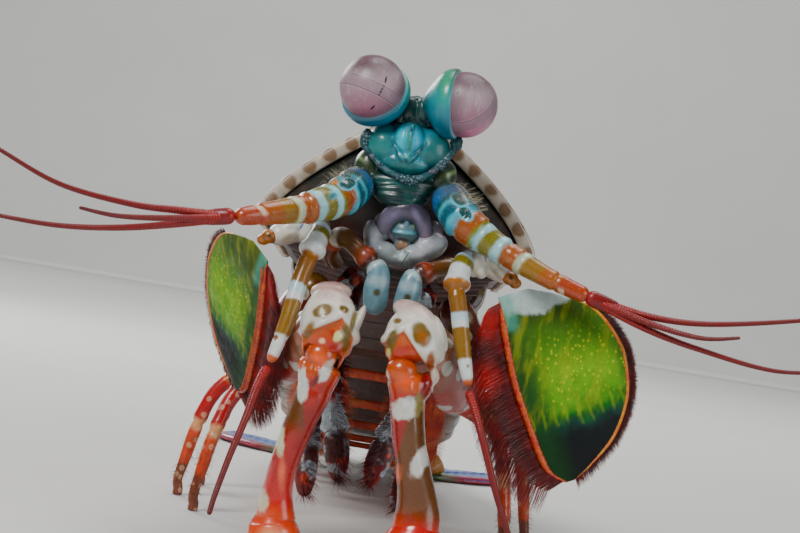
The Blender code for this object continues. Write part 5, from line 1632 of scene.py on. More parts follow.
# Claws: peak of the orange field on each carpus, and the way in across each of its two edges
CHEVRONS = {
    "left": ((3.0, -12.0, 31.2), (-1.1, 0, -1), (0.85, 0, -1)),
    "right": ((-4.4, -12.0, 31.5), (0.6, 0, -1), (-1.3, 0, -1)),
}
OLIVE = srgb(108, 92, 30)
CREAM = srgb(228, 230, 224)
ORANGE = srgb(198, 98, 12)
DEEP_RED = srgb(150, 6, 8)
# Oval marks: middle, half sizes across, up and deep, colour, turn in degrees and softness of the edge
CARPUS_MARKS = {
    "left": (
        ((1.95, -11.6, 32.2), (0.62, 0.4, 2.2), OLIVE, 15, 0.3),
        ((5.15, -11.9, 31.1), (1.12, 1.5, 2.4), OLIVE, 32, 0.22),
        ((5.3, -12.2, 30.8), (0.55, 0.85, 2.4), srgb(150, 92, 22), 32, 0.7),
        ((1.75, -11.6, 29.4), (0.62, 1.9, 2.6), OLIVE, -8, 0.35),
        ((1.55, -11.6, 28.0), (0.42, 0.8, 2.6), srgb(232, 224, 160), 0, 0.35),
        ((3.45, -12.2, 27.2), (0.42, 0.4, 2.2), srgb(250, 224, 190), 0, 0.6),
        ((6.75, -11.2, 28.0), (0.5, 1.25, 2.6), srgb(158, 84, 24), 6, 0.35),
        ((2.4, -12.0, 27.0), (1.3, 0.5, 2.6), srgb(150, 34, 16), 0, 0.7),
        ((5.8, -11.4, 26.2), (0.9, 0.5, 2.6), srgb(226, 96, 30), 30, 0.6),
    ),
    "right": (
        ((-6.85, -11.9, 31.9), (1.3, 0.82, 2.4), OLIVE, 24, 0.22),
        ((-4.35, -11.6, 32.5), (0.62, 0.42, 2.2), OLIVE, -28, 0.3),
        ((-3.1, -11.0, 31.4), (0.34, 1.9, 2.8), srgb(110, 100, 40), -4, 0.4),
        ((-3.7, -11.6, 29.2), (0.62, 1.7, 2.6), OLIVE, 6, 0.35),
        ((-4.6, -12.0, 29.2), (0.46, 0.72, 2.2), srgb(240, 236, 176), -8, 0.35),
        ((-6.35, -12.2, 28.4), (0.36, 0.32, 2.2), srgb(250, 214, 176), 0, 0.6),
        ((-8.15, -11.6, 29.2), (0.55, 1.35, 2.6), srgb(140, 104, 28), -18, 0.4),
        ((-4.6, -12.2, 27.9), (0.8, 0.6, 2.4), srgb(150, 26, 14), 0, 0.7),
    ),
}
PROPODUS_MARKS = {
    "left": (
        ((1.75, -12.0, 24.7), (0.62, 1.45, 2.8), CREAM, 0, 0.25),
        ((4.75, -12.0, 22.1), (1.9, 1.3, 3.0), CREAM, 28, 0.22),
        ((6.2, -11.0, 22.9), (0.55, 1.5, 3.4), srgb(150, 140, 90), 0, 0.4),
        ((7.5, -11.2, 16.2), (0.95, 2.2, 3.0), CREAM, -18, 0.25),
        ((5.0, -11.6, 13.9), (0.5, 1.2, 2.8), srgb(236, 140, 110), 0, 0.7),
        ((6.6, -11.0, 25.2), (0.72, 1.5, 2.8), srgb(132, 12, 12), 6, 0.4),
        ((4.3, -12.2, 25.4), (1.1, 0.8, 2.6), srgb(232, 104, 24), 0, 0.7),
    ),
    "right": (
        ((-7.95, -12.0, 22.9), (0.85, 2.1, 3.0), CREAM, 14, 0.22),
        ((-5.3, -12.0, 25.0), (0.72, 1.5, 3.0), CREAM, -22, 0.25),
        ((-6.3, -12.2, 26.3), (1.0, 0.8, 2.6), srgb(236, 110, 24), 0, 0.7),
        ((-6.35, -12.2, 23.6), (0.3, 0.9, 2.8), srgb(112, 8, 14), -20, 0.5),
        ((-9.5, -11.2, 16.2), (0.62, 2.3, 3.0), srgb(226, 228, 196), 12, 0.25),
        ((-10.4, -10.8, 8.4), (0.8, 1.6, 3.0), srgb(226, 214, 190), 12, 0.3),
        ((-8.5, -12.0, 12.0), (0.4, 1.8, 2.8), srgb(236, 120, 96), 8, 0.8),
    ),
}


def carpus_finish(side):
    """Cream cap with olive ovals around an orange field."""
    made = Finish(f"claw_cap_{side}", 0.34, coat=0.4, glow=0.12)
    height = made.node("SeparateXYZ", {0: made.point}).outputs[2]
    cloud = made.times(made.less(made.grain(made.point, 0.6, 3.0), 0.5), 2.0 * MM)
    level = made.maths("MULTIPLY_ADD", made.plus(height, cloud), 1.0 / (12.0 * MM), -24.0 / 12.0)
    made.colour = made.ramp(level, (
        (0.0, srgb(236, 210, 180)), (0.5, CREAM), (0.74, srgb(240, 236, 226)),
        (0.9, srgb(206, 176, 170)),
        (1.0, srgb(150, 110, 110))))
    peak, first, second = CHEVRONS[side]
    field = made.times(made.beyond(peak, first, 0.14), made.beyond(peak, second, 0.14))
    s = SIDES[side]
    middle = {"left": 3.4, "right": -5.8}[side]
    made.lay(field, ORANGE)
    crease = made.oval(place((peak[0] - 0.1 * s, -12.0, peak[2] - 2.5)),
                       Vector((1, 0, 0.5 * s)) / (2.0 * MM),
                       Vector((-0.5 * s, 0, 1)) / (0.5 * MM), Vector((0, 1, 0)) / (3.2 * MM), 0.5,
                       0.6)
    made.lay(made.times(crease, field), srgb(150, 26, 8), 0.8)
    deeper = made.oval(place((middle, -12.0, 27.6)), Vector((1, 0, 0)) / (2.2 * MM),
                       Vector((0, 0, 1)) / (1.7 * MM),
                       Vector((0, 1, 0)) / (3.2 * MM), 0.6, 0.4)
    made.lay(made.times(deeper, field), srgb(186, 58, 14), 0.85)
    flank = made.beyond((middle + 3.1 * s, 0, 28), (s, 0, -0.1), 0.2)
    made.lay(made.times(flank, field), CREAM, 0.9)
    inner = made.beyond((middle - 2.95 * s, 0, 28), (-s, 0, -0.1), 0.2)
    made.lay(made.times(inner, field), CREAM, 0.9)
    for spot, radii, colour, tilt, edge in CARPUS_MARKS[side]:
        made.mark(spot, radii, colour, tilt, edge, 0.7)
    behind = made.beyond((0, -5.2, 30), (0, 1, 0.1), 1.0)
    made.lay(behind, srgb(150, 64, 40), 0.8)
    made.lay(made.times(behind, made.step(made.cells(made.point, 0.42), 0.42, 0.36)), CREAM, 0.8)
    made.shell(0.9, 5.0, 0.012, 0.24, srgb(130, 84, 52))
    return made.done()


def propodus_finish(side):
    """Orange shoulder and red shaft with cream patches."""
    made = Finish(f"claw_shaft_{side}", 0.28, coat=0.5, glow=0.12)
    height = made.node("SeparateXYZ", {0: made.point}).outputs[2]
    cloud = made.times(made.less(made.grain(made.point, 0.45, 3.0), 0.5), 4.0 * MM)
    level = made.maths("DIVIDE", made.plus(height, cloud), 30.0 * MM)
    made.colour = made.ramp(level, (
        (0.22, srgb(220, 92, 62)), (0.30, srgb(200, 36, 22)), (0.42, srgb(172, 10, 10)),
        (0.66, DEEP_RED),
        (0.78, srgb(180, 58, 12)), (0.84, ORANGE), (0.92, srgb(186, 84, 14))))
    middle = {"left": 5.5, "right": -7.9}[side]
    side_plane = made.beyond((middle, 0, 23.5), (1, 0, -0.12) if side == "left" else (-1, 0, -0.22),
                             0.35)
    low = made.beyond((0, 0, {"left": 24.2, "right": 23.8}[side]), (0, 0, -1), 0.4)
    fade = made.beyond((0, 0, {"left": 9.0, "right": 17.5}[side]), (0, 0, 1), 1.6)
    made.lay(made.times(made.times(side_plane, low), fade), srgb(92, 68, 26), 0.88)
    for spot, radii, colour, tilt, edge in PROPODUS_MARKS[side]:
        made.mark(spot, radii, colour, tilt, edge, 1.0)
    behind = made.beyond((0, -7.4, 20), (0, 1, 0), 0.8)
    made.lay(behind, srgb(150, 14, 14), 0.6)
    made.lay(made.times(behind, made.step(made.cells(made.point, 0.36), 0.4, 0.34)), CREAM, 0.8)
    made.shell(0.8, 5.0, 0.01, 0.22, srgb(70, 0, 0))
    return made.done()


def club_finish(colours):
    """Glossy salmon club, redder above, with a pale worn striking face."""
    made = Finish("club_salmon", 0.2, coat=0.7, glow=0.15)
    height = made.node("SeparateXYZ", {0: made.point}).outputs[2]
    cloud = made.times(made.less(made.grain(made.point, 0.4, 3.0), 0.5), 2.6 * MM)
    made.colour = made.ramp(made.maths("DIVIDE", made.plus(height, cloud), 14.0 * MM), (
        (0.0, srgb(226, 170, 140)), (0.14, srgb(230, 140, 106)), (0.36, colours.club),
        (0.55, srgb(200, 40, 24)), (0.8, srgb(178, 14, 12)), (1.0, srgb(190, 60, 40))))
    for x in (8.5, -8.3):
        made.mark((x, -11.8, 3.6), (1.5, 1.7, 1.6), srgb(240, 190, 160), 0, 0.9)
    pores = made.cells(made.point, 3.4)
    made.lay(made.step(pores, 0.14, 0.06), srgb(150, 50, 40), 0.25)
    made.shell(0.7, 6.0, 0.008, 0.12, srgb(120, 10, 0))
    return made.done()


def arm_finish():
    """Claw arm: pinkish white at its end, red and brown with cream spots behind."""
    made = Finish("claw_arm", 0.3, coat=0.45, glow=0.15)
    _, along = made.pattern()
    made.bands(along, (
        (0.35, srgb(110, 44, 20)), (0.60, srgb(150, 34, 18)), (0.8, srgb(176, 60, 30)),
        (0.92, srgb(160, 100, 80)), (1.0, srgb(186, 140, 124))), 0.03, 0.16, 0.3)
    spots = made.cells(made.point, 0.34)
    made.lay(made.step(spots, 0.4, 0.34), CREAM, 0.9)
    made.lay(made.step(made.grain(made.point, 0.22, 2.0), 0.56, 0.62), srgb(120, 96, 34), 0.75)
    made.shell(0.8, 5.0, 0.015, 0.2, srgb(70, 10, 0))
    return made.done()


CAP_PLATES = {
    "left": (((7.3, -8.0, 31.4), (0.8, 2.7, 2.3), 26), ((3.6, -6.9, 33.4), (2.4, 2.5, 1.4), -14)),
    "right": (((-2.6, -8.0, 31.2), (0.55, 2.5, 2.2), -14),
              ((-6.4, -6.9, 34.2), (2.5, 2.5, 1.3), 8)),
}
# Lobes that hang from the cap beside the knee: middle, half sizes and turn in degrees
CLAW_SKIRTS = {
    "left": (((2.0, -9.5, 27.0), (0.7, 1.7, 2.2), 8), ((7.1, -9.3, 26.2), (0.8, 1.8, 2.4), -14)),
    "right": (((-3.6, -9.5, 26.9), (0.7, 1.8, 2.3), 16),
              ((-8.5, -9.3, 27.2), (0.65, 1.6, 2.0), -12)),
}
KNEE_BALLS = {
    "left": ((3.6, -10.6, 26.3), (1.9, 1.7, 1.8)),
    "right": ((-6.2, -10.6, 26.6), (1.9, 1.7, 1.8)),
}
CARPUS_FULLNESS = 1.03


def build_claws(colours):
    """Caps, shafts, clubs and arms of the claws."""
    club = club_finish(colours)
    arm = arm_finish()
    for side, segments in RAPTORIAL.items():
        s = SIDES[side]
        peak, first, second = CHEVRONS[side]
        first, second = Vector(first).normalized(), Vector(second).normalized()

        cap = limb(Path(segments["carpus"]), 72, 90, lambda turn, along: CARPUS_FULLNESS,
                   power=0.92, blunt=(0.6, 0.3))
        for centre, radii, turn in CLAW_SKIRTS[side]:
            ball(cap, centre, radii, Matrix.Rotation(math.radians(turn), 3, "Y").to_quaternion(),
                 28)
        for centre, radii, turn in CAP_PLATES[side]:
            ball(cap, centre, radii, Matrix.Rotation(-math.radians(turn), 3, "Y").to_quaternion(),
                 32)
        made = melted(f"claw_cap_{side}", cap, carpus_finish(side), f"raptorial_carpus_{side}",
                      0.14, 4)

        def folds(point, _):
            ahead = ease(-point.y, 6.0, 8.5)
            a = (point - Vector(peak)).dot(first)
            b = (point - Vector(peak)).dot(second)
            edge = min(a, b)
            lift = -0.45 * ease(edge, -0.1, 0.4) * ahead
            lift += 0.24 * hump(edge, -0.35, 0.35) * ahead
            fold = 27.4 - 0.4 * s * (point.x - peak[0])
            lift += 0.3 * hump(point.z, fold, 0.5) * hump(point.x, peak[0] + 0.6 * s, 1.4) * ahead
            return lift + 0.05 * rough(point, 0.7)
        raised(made, folds)

        shaft_path = Path(segments["propodus"])

        def shoulder(turn, along):
            part = 1.0 + 0.05 * rough((along, math.cos(turn), math.sin(turn)), 0.35, s)
            part *= 1.0 + 0.07 * hump(along, 1.6, 1.2) - 0.05 * hump(along, 3.4, 0.5)
            return part
        shaft = limb(shaft_path, 72, 150, shoulder, power=0.94, blunt=(0.4, 0.1))
        ball(shaft, *KNEE_BALLS[side], rings=28)
        knob = {"left": (6.7, -9.6, 25.4), "right": (-8.0, -9.4, 25.0)}[side]
        ball(shaft, knob, (0.85, 1.8, 1.4), rings=28)
        made = melted(f"claw_shaft_{side}", shaft, propodus_finish(side),
                      f"raptorial_propodus_{side}",
                      0.14, 4)
        raised(made, lambda point, _: 0.04 * rough(point, 0.6)
               - 0.2 * hump(point.x, shaft_path.at(max(0.0, 26.0 - point.z))[0].x + 0.5 * s, 0.25)
               * ease(-point.y, 10.0, 11.5) * ease(point.z, 20.5, 22.0) * ease(point.z, 26.0, 25.0))

        made = piece(f"claw_club_{side}", limb(Path(segments["dactyl"]), 80, 190, blunt=(0.0, 1.0)),
                     club,
                     f"raptorial_dactyl_{side}")
        raised(made, lambda point,
               _: 0.05 * rough(point, 0.5) - 0.12 * hump(point.z, segments["dactyl"][4][2], 0.5))

        arm_path = Path(segments["merus"])

        def grooves(turn, along):
            part = 1.0 + 0.03 * rough((along, math.cos(turn), math.sin(turn)), 0.4, 2.0 * s)
            part *= 1.0 - 0.10 * hump(along, arm_path.length - 3.2, 0.5)
            return part * (1.0 - 0.07 * hump(abs(math.sin(turn)), 0.0, 0.12) * ease(along, 3.0,
                                                                                    6.0))
        piece(f"claw_arm_{side}", limb(arm_path, 72, 150, grooves), arm, f"raptorial_merus_{side}")


# Trunk
FRONT_OVALS = 15
FRONT_BAND_STATIONS = 24


def arch_place(where, turn, inset):
    """A point on the carapace's arch, from one lower edge over the top to the other."""
    power = 2.0 / table(ARCH_POWER, where)
    edge = table(ARCH_EDGE, where)
    width = table(ARCH_HALF_WIDTH, where) - inset
    rise = table(ARCH_TOP, where) - edge - inset
    return on_trunk(where, width * bent(math.cos(turn), power),
                    edge + rise * math.sin(turn) ** power)


def carapace_finish():
    """Olive back that pales to cream sides with brown ovals, and a cream band with ovals along the front."""
    made = Finish("carapace_leopard", 0.34, coat=0.35, glow=0.1)
    turn, along = made.pattern()
    top = made.step(made.size(made.less(turn, 0.5)), 0.42, 0.2)
    cloud = made.grain(made.point, 0.22, 4.0, 0.6)
    side_colour = made.ramp(cloud, ((0.3, srgb(206, 198, 170)), (0.55, srgb(224, 212, 190)),
                                    (0.8, srgb(190, 196, 176))))
    back_colour = made.ramp(cloud, ((0.28, srgb(62, 74, 36)), (0.5, srgb(92, 104, 48)),
                                    (0.75, srgb(134, 124, 62))))
    made.colour = made.mix(top, side_colour, back_colour)
    stretched = made.vector("MULTIPLY", made.point, (1.25, 0.72, 1.0))
    spots = made.cells(stretched, 0.36)
    rings = made.times(made.step(spots, 0.46, 0.40), made.step(top, 0.95, 0.5))
    made.lay(rings, srgb(228, 222, 200), 0.55)
    made.lay(made.times(made.step(spots, 0.38, 0.33), made.step(top, 1.0, 0.55)), srgb(118, 86, 46),
             0.92)
    made.lay(made.times(made.step(spots, 0.2, 0.1), made.step(top, 1.0, 0.55)), srgb(146, 116, 62),
             0.7)
    band = made.step(along, 0.062, 0.05)
    made.lay(band, srgb(214, 206, 196), 0.95)
    beads = made.node("CombineXYZ", {0: made.times(turn, 17.0), 1: 0.5, 2: 0.0}).outputs[0]
    gap = made.node("TexVoronoi",
                    {"Vector": beads, "Scale": 1.0, "Randomness": 0.35}).outputs["Distance"]
    middle = made.step(made.size(made.less(along, 0.026)), 0.02, 0.012)
    made.lay(made.times(made.times(made.step(gap, 0.3, 0.22), middle), band),
             srgb(128, 84, 40), 0.95)
    edge = made.times(made.step(along, 0.058, 0.064), made.step(along, 0.078, 0.068))
    made.lay(edge, srgb(92, 120, 120), 0.7)
    made.lay(made.step(along, 0.955, 0.975), srgb(60, 96, 100), 0.7)
    made.lay(made.step(made.size(made.less(turn, 0.5)), 0.478, 0.492),
             srgb(176, 150, 130), 0.8)
    made.raise_by(spots, 0.03)
    made.shell(0.5, 4.0, 0.02, 0.22, srgb(30, 36, 14))
    return made.done()


def front_band_finish():
    """Cream band with brown ovals between thin pale blue lines, round the front of the carapace."""
    made = Finish("carapace_front_band", 0.4, coat=0.25, glow=0.1)
    turn, along = made.pattern()
    made.colour = made.ramp(made.grain(made.point, 0.5, 3.0),
                            ((0.3, srgb(186, 176, 160)), (0.7, srgb(216, 206, 192))))
    beat = made.maths("SINE", made.times(along, math.tau * FRONT_OVALS))
    level = made.plus(beat, made.times(made.less(made.grain(made.point, 0.5, 2.0), 0.5), 2.2))
    face = made.size(made.maths("SINE", made.times(turn, math.tau)))
    round_off = made.maths("MULTIPLY_ADD", face, 2.2, -2.2)
    made.lay(made.step(made.plus(level, round_off), -0.75, 0.35), srgb(116, 78, 34), 0.85)
    made.lay(made.step(face, 0.35, 0.15), srgb(120, 150, 160), 0.7)
    made.shell(0.8, 5.0, 0.02, 0.2, srgb(60, 50, 30))
    return made.done()


def under_finish():
    """Front body under the carapace: dark maroon low down, which is painted deep shadow over its own tan,
    near-black green higher up, and faint tan patches low down.
    """
    made = Finish("front_body_shadowed_skin", 0.5, coat=0.15, glow=0.2)
    cloud = made.grain(made.point, 0.25, 4.0, 0.6)
    height = made.node("SeparateXYZ", {0: made.point}).outputs[2]
    high = made.step(height, 40.0 * MM, 50.0 * MM)
    # Painted shadow: the lower front body is painted dark maroon as deep shadow over its orange-tan colour
    low_painted_shadow = made.ramp(cloud,
                           ((0.3, srgb(22, 4, 6)), (0.55, srgb(50, 10, 10)),
                            (0.8, srgb(96, 30, 24))))
    high_colour = made.ramp(cloud,
                            ((0.3, srgb(12, 20, 18)), (0.55, srgb(28, 34, 28)),
                             (0.8, srgb(74, 60, 48))))
    made.colour = made.mix(high, low_painted_shadow, high_colour)
    patch = made.cells(made.point, 0.3)
    made.lay(made.times(made.step(patch, 0.36, 0.3), made.step(height, 44.0 * MM, 38.0 * MM)),
             srgb(140, 80, 66), 0.3)
    made.shell(0.6, 4.0, 0.04, 0.35, srgb(14, 4, 6))
    return made.done()


def rostral_finish():
    """Dark green plate between the eyes."""
    made = Finish("rostral_green", 0.34, coat=0.4)
    made.colour = made.ramp(made.grain(made.point, 0.6, 4.0), (
        (0.3, srgb(6, 52, 52)), (0.55, srgb(14, 88, 82)), (0.8, srgb(40, 120, 104))))
    made.mark((0.0, 0.3, 59.6), (4.5, 0.6, 0.7), srgb(120, 150, 110), 0, 0.6)
    made.shell(0.8, 5.0, 0.02, 0.3)
    return made.done()


def build_carapace():
    """Shield, its front band and the front body inside it."""
    def shell(u, v):
        """The outside of the shield from its front edge (v 0) to its back edge."""
        turn = math.pi * u
        where = CARAPACE_LENGTH * (0.5 - 0.5 * math.cos(math.pi * min(1.0, v))) if v > 0.12 else \
            CARAPACE_LENGTH * 0.0351 * (v / 0.12)
        corner = CORNER_SET_BACK * max(0.0, 1.0 - where / CORNER_LENGTH)
        spot = where + corner * math.cos(turn) ** 2
        inset = 0.42 * hump(where, 1.75, 0.35) + 0.3 * hump(where, CARAPACE_LENGTH - 1.5, 0.5)
        inset += 0.22 * hump(abs(math.cos(turn)), 0.74, 0.05) * ease(where, 2.0, 6.0) * ease(where,
                                                                                             32.0,
                                                                                             27.0)
        inset += 0.18 * hump(where, 16.0, 0.8) * ease(abs(math.cos(turn)), 0.72, 0.5)
        inset -= 0.12 * hump(where, 0.8, 0.5)
        return arch_place(spot, turn, inset), (u, where / CARAPACE_LENGTH)
    bm = sheet_of(132, 190, shell)
    bmesh.ops.recalc_face_normals(bm, faces=bm.faces)
    middle = bm.faces[:][len(bm.faces) // 2]
    centre = place(trunk(16.0)[0])
    if middle.normal.dot(middle.calc_center_median() - centre) < 0:
        bmesh.ops.reverse_faces(bm, faces=bm.faces)
    mesh = bpy.data.meshes.new("carapace_shell")
    bm.to_mesh(mesh)
    bm.free()
    mesh.shade_smooth()
    mesh.materials.append(carapace_finish())
    made = bpy.data.objects.new("carapace_shell", mesh)
    bpy.context.scene.collection.objects.link(made)
    wall = made.modifiers.new("wall", "SOLIDIFY")
    wall.thickness = SHELL * MM
    wall.offset = -1.0
    wall.use_rim = True
    settle(made)
    made.data.shade_smooth()
    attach(made, "root")
    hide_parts("carapace")

    stations = []
    for k in range(FRONT_BAND_STATIONS + 1):
        turn = math.pi * k / FRONT_BAND_STATIONS
        corner = CORNER_SET_BACK * math.cos(turn) ** 2
        spot = Vector(arch_place(0.25 + corner, turn, 0.85))
        stations.append((*spot, 0.95, 0.34))
    middle = Vector(arch_place(1.0, 0.5 * math.pi, 12.0))
    ring = Path(stations, (0, 0, 1))
    for k, point in enumerate(ring.points):
        out = point - middle
        out = (out - ring.ways[k] * out.dot(ring.ways[k])).normalized()
        ring.wides[k], ring.deeps[k] = out, ring.ways[k].cross(out)
    piece("carapace_front_band", limb(ring, 28, 300), front_band_finish(), "carapace")

    def front_body(u, v):
        turn = math.tau * u
        where = -2.6 + 35.3 * v
        part = math.sqrt(max(0.0, 1.0 - (1.0 - min(1.0, v / 0.05)) ** 2)) * \
            math.sqrt(max(0.0, 1.0 - (1.0 - min(1.0, (1.0 - v) / 0.02)) ** 2))
        fill = table(FRONT_FILL, where) * (0.05 + 0.95 * part)
        if turn <= math.pi:
            centre, _ = trunk(where)
            point = centre + (arch_place(where, turn, SHELL + GAP) - centre) * fill
        else:
            side = -table(ARCH_HALF_WIDTH, where) * BELLY_SPREAD * fill * math.cos(turn - math.pi)
            low = table(BELLY_DEPTH, where) - BELLY_ROUND * math.cos(turn) ** 2
            low += 0.5 * math.sin(where * 1.25) * ease(where, 3.0, 8.0)
            point = on_trunk(where, side, -low * (0.6 + 0.4 * fill) * (0.1 + 0.9 * part))
        wave = 0.12 * rough(point, 0.5)
        return point + Vector((wave, 0.0, -wave)), (u, v)
    bm = sheet_of(120, 150, front_body)
    bmesh.ops.holes_fill(bm, edges=[edge for edge in bm.edges if edge.is_boundary])
    piece("front_body", bm, under_finish(), "thorax_front")

    outline = []
    for k in range(120):
        turn = math.tau * k / 120
        a = 3.15 - 3.15 * math.cos(turn)
        half = 3.9 * math.sin(turn) * (0.62 + 0.10 * a)
        outline.append((a, half))
    run = Vector((0.0, 1.0, -0.04)).normalized()
    bm = blade(outline, Vector((0.0, 2.6, 59.6)), run, Vector((1, 0, 0)), Vector((0, 0, 1)), 48,
               lambda out: (0.3 + 0.28 * (1.0 - out ** 2)) * (1.0 - out ** 8) ** 0.4,
               lambda a, c, face,
               out: 0.16 * hump(c, 0.0, 0.5) * face * ease(out, 1.0, 0.7) * (face > 0))
    piece("rostral_plate", bm, rostral_finish(), "rostral_plate")


# Free somites
def body_finish(name, last):
    """Green and olive shell with a blue and red rear edge and paler spots on the flanks."""
    made = Finish(name, 0.34, coat=0.35, glow=0.1)
    turn, along = made.pattern()
    cloud = made.grain(made.point, 0.2, 4.0, 0.6)
    made.colour = made.ramp(cloud,
                            ((0.26, srgb(46, 66, 34)), (0.48, srgb(78, 98, 44)),
                             (0.62, srgb(112, 118, 52)),
                                    (0.8, srgb(146, 132, 74))))
    flank = made.step(made.size(made.less(turn, 0.25)), 0.16, 0.235)
    cells = made.cells(made.vector("MULTIPLY", made.point, (1.0, 0.7, 1.0)), 0.4)
    made.lay(flank, srgb(176, 168, 128), 0.55)
    made.lay(made.times(made.step(cells, 0.4, 0.34), flank), srgb(110, 72, 36), 0.85)
    made.lay(made.times(made.step(cells, 0.2, 0.12), made.step(flank, 0.6, 0.2)),
             srgb(160, 168, 110), 0.35)
    rear = made.step(along, 0.84, 0.88)
    made.lay(made.times(made.step(along, 0.76, 0.80), made.step(along, 0.88, 0.84)),
             srgb(22, 62, 58), 0.75)
    made.lay(made.times(rear, made.step(along, 0.965, 0.945)), srgb(44, 132, 152), 0.85)
    made.lay(made.step(along, 0.945, 0.965), srgb(176, 46, 26), 0.9)
    if last:
        made.lay(made.step(along, 0.2, 0.9), srgb(24, 92, 92), 0.5)
        made.lay(made.step(along, 0.9, 0.97), srgb(14, 60, 54), 0.95)
    # Painted shadow: the underside is painted dark maroon, with redder patches, as deep shadow over the
    # orange-tan belly
    belly = made.step(made.size(made.less(turn, 0.75)), 0.235, 0.2)
    made.lay(belly, srgb(44, 8, 8), 0.95)
    made.lay(made.times(made.step(cloud, 0.5, 0.62), belly), srgb(96, 30, 20), 0.5)
    made.raise_by(cells, 0.02)
    made.shell(0.5, 4.0, 0.02, 0.24, srgb(24, 30, 12))
    return made.done()


SOMITE_ROWS = [(f"thorax_somite_{number}", THORAX_SOMITE) for number in range(5, 9)] + \
              [(f"abdomen_somite_{number}", length) for number,
               length in enumerate(ABDOMEN_SOMITES, start=1)]
CARINAE = (0.0, 0.33, 0.62, 0.84)


def somite_place(where, turn, swell, ridge):
    """A point on a somite's section: a round back over a flat belly with low side lobes."""
    width = table(HALF_WIDTH, where) * swell
    height = table(HEIGHT, where) * swell
    depth = table(DEPTH, where)
    side, lift = math.cos(turn), math.sin(turn)
    if lift >= 0:
        return on_trunk(where, (width + ridge) * bent(side, BACK_POWER),
                        (height + ridge) * lift ** BACK_POWER)
    low = depth * (1.0 + LOBE_DROP * side * side) * abs(lift) ** BELLY_POWER
    return on_trunk(where, width * bent(side, SIDE_POWER), -low)


def build_somites():
    """Rings of shell behind the carapace."""
    plain, last = body_finish("somite_shell", False), body_finish("last_somite_shell", True)
    start = CARAPACE_LENGTH
    for name, length in SOMITE_ROWS:
        thorax = name.startswith("thorax")
        keel = 0.45 if name == "abdomen_somite_6" else (0.22 if name == "abdomen_somite_5" else 0.12)

        def ring(u, v, start=start, length=length, thorax=thorax, keel=keel):
            """Front face, back over the length and rear face of one somite."""
            turn = math.tau * u
            if v < 0.1:
                fill, part = v / 0.1, 0.0
            elif v > 0.9:
                fill, part = (1.0 - v) / 0.1, 1.0
            else:
                fill, part = 1.0, (v - 0.1) / 0.8
            part = part * part * (3 - 2 * part) * 0.35 + part * 0.65
            where = start + GAP / 2 + part * (length - GAP)
            swell = table(((0, 0.95), (0.35, 1.0), (1, 0.985)) if thorax else
                          ((0, 0.94), (0.2, 1.0), (0.6, 1.02), (1, 1.0)), part)
            swell *= 1.0 - 0.05 * (1.0 - ease(part, 0.0, 0.07))
            if name == "abdomen_somite_6":
                swell *= 1.0 - 0.34 * ease(part, 0.62, 1.05)
            ridge = 0.25 * hump(part, 0.93, 0.035) - 0.3 * hump(part, 0.80,
                                                                0.025) - 0.14 * hump(part, 0.22,
                                                                                     0.03)
            side = abs(math.cos(turn))
            for carina in CARINAE:
                ridge += keel * hump(side, carina, 0.02) * ease(part, 0.25, 0.4)
            ridge -= 0.5 * (1.0 - ease(part, 0.0, 0.04)) + 0.45 * ease(part, 0.975, 1.0)
            point = somite_place(where, turn, swell, ridge)
            centre, _ = trunk(where)
            if fill < 1.0:
                reach = fill ** 0.5
                point = centre + (point - centre) * reach
            return point, (u, part)
        bm = sheet_of(112, 84, ring)
        piece(f"{name}_shell", bm, last if name == "abdomen_somite_6" else plain, name)
        start += length


# Tail fan
def tail_finish():
    """Blue green plate with olive carinae, darker hollows and pale teeth."""
    made = Finish("telson_green", 0.34, coat=0.4, glow=0.1)
    across, along = made.pattern()
    c = made.times(made.less(across, 0.5), SCALE_UV)
    a = made.times(along, SCALE_UV)
    cloud = made.grain(made.point, 0.3, 4.0, 0.6)
    made.colour = made.ramp(cloud,
                            ((0.28, srgb(8, 60, 70)), (0.5, srgb(22, 96, 92)),
                             (0.72, srgb(70, 122, 70)),
                                    (0.85, srgb(120, 128, 60))))
    reach = made.size(c)
    made.lay(made.step(reach, 1.6, 0.5), srgb(136, 112, 44), 0.7)
    made.lay(made.times(made.step(reach, 4.2, 4.8), made.step(reach, 6.4, 5.6)), srgb(128, 116, 50),
             0.55)
    made.lay(made.step(a, 17.0, 19.5), srgb(216, 150, 110), 0.8)
    made.lay(made.step(made.size(made.less(reach, 3.2)), 1.1, 0.4), srgb(6, 40, 64), 0.5)
    made.raise_by(made.cells(made.point, 1.1), 0.03)
    made.shell(0.6, 4.5, 0.03, 0.25, srgb(4, 24, 30))
    return made.done()


def paddle_finish():
    """Deep blue paddle with a red rim and a green root."""
    made = Finish("uropod_blue", 0.32, coat=0.4, glow=0.15)
    cloud = made.grain(made.point, 0.28, 4.0, 0.6)
    made.colour = made.ramp(cloud,
                            ((0.3, srgb(8, 48, 120)), (0.55, srgb(16, 84, 160)),
                             (0.8, srgb(30, 130, 176))))
    across, along = made.pattern()
    made.lay(made.step(across, 0.72, 0.9), srgb(150, 26, 40), 0.85)
    made.lay(made.step(along, 0.35, 0.05), srgb(60, 110, 70), 0.8)
    made.shell(0.7, 4.5, 0.02, 0.22, srgb(2, 10, 40))
    return made.done()


def uropod_arm_finish():
    """Arm that carries the tail paddles."""
    made = Finish("uropod_arm", 0.32, coat=0.4, glow=0.1)
    made.colour = made.ramp(made.grain(made.point, 0.35, 3.0), (
        (0.3, srgb(120, 96, 40)), (0.55, srgb(176, 120, 52)), (0.8, srgb(206, 150, 90))))
    made.lay(made.step(made.cells(made.point, 0.5), 0.36, 0.3), srgb(230, 216, 180), 0.7)
    made.shell(0.7, 4.5, 0.02, 0.2, srgb(60, 20, 4))
    return made.done()


def paddle_outline(length, width, count=144):
    """Outline of a tail paddle."""
    rows = []
    for k in range(count):
        turn = math.tau * k / count
        part = 0.5 - 0.5 * math.cos(turn)
        rows.append((length * part, 0.5 * width * math.sin(turn) * (0.75 + 0.4 * part)))
    return rows


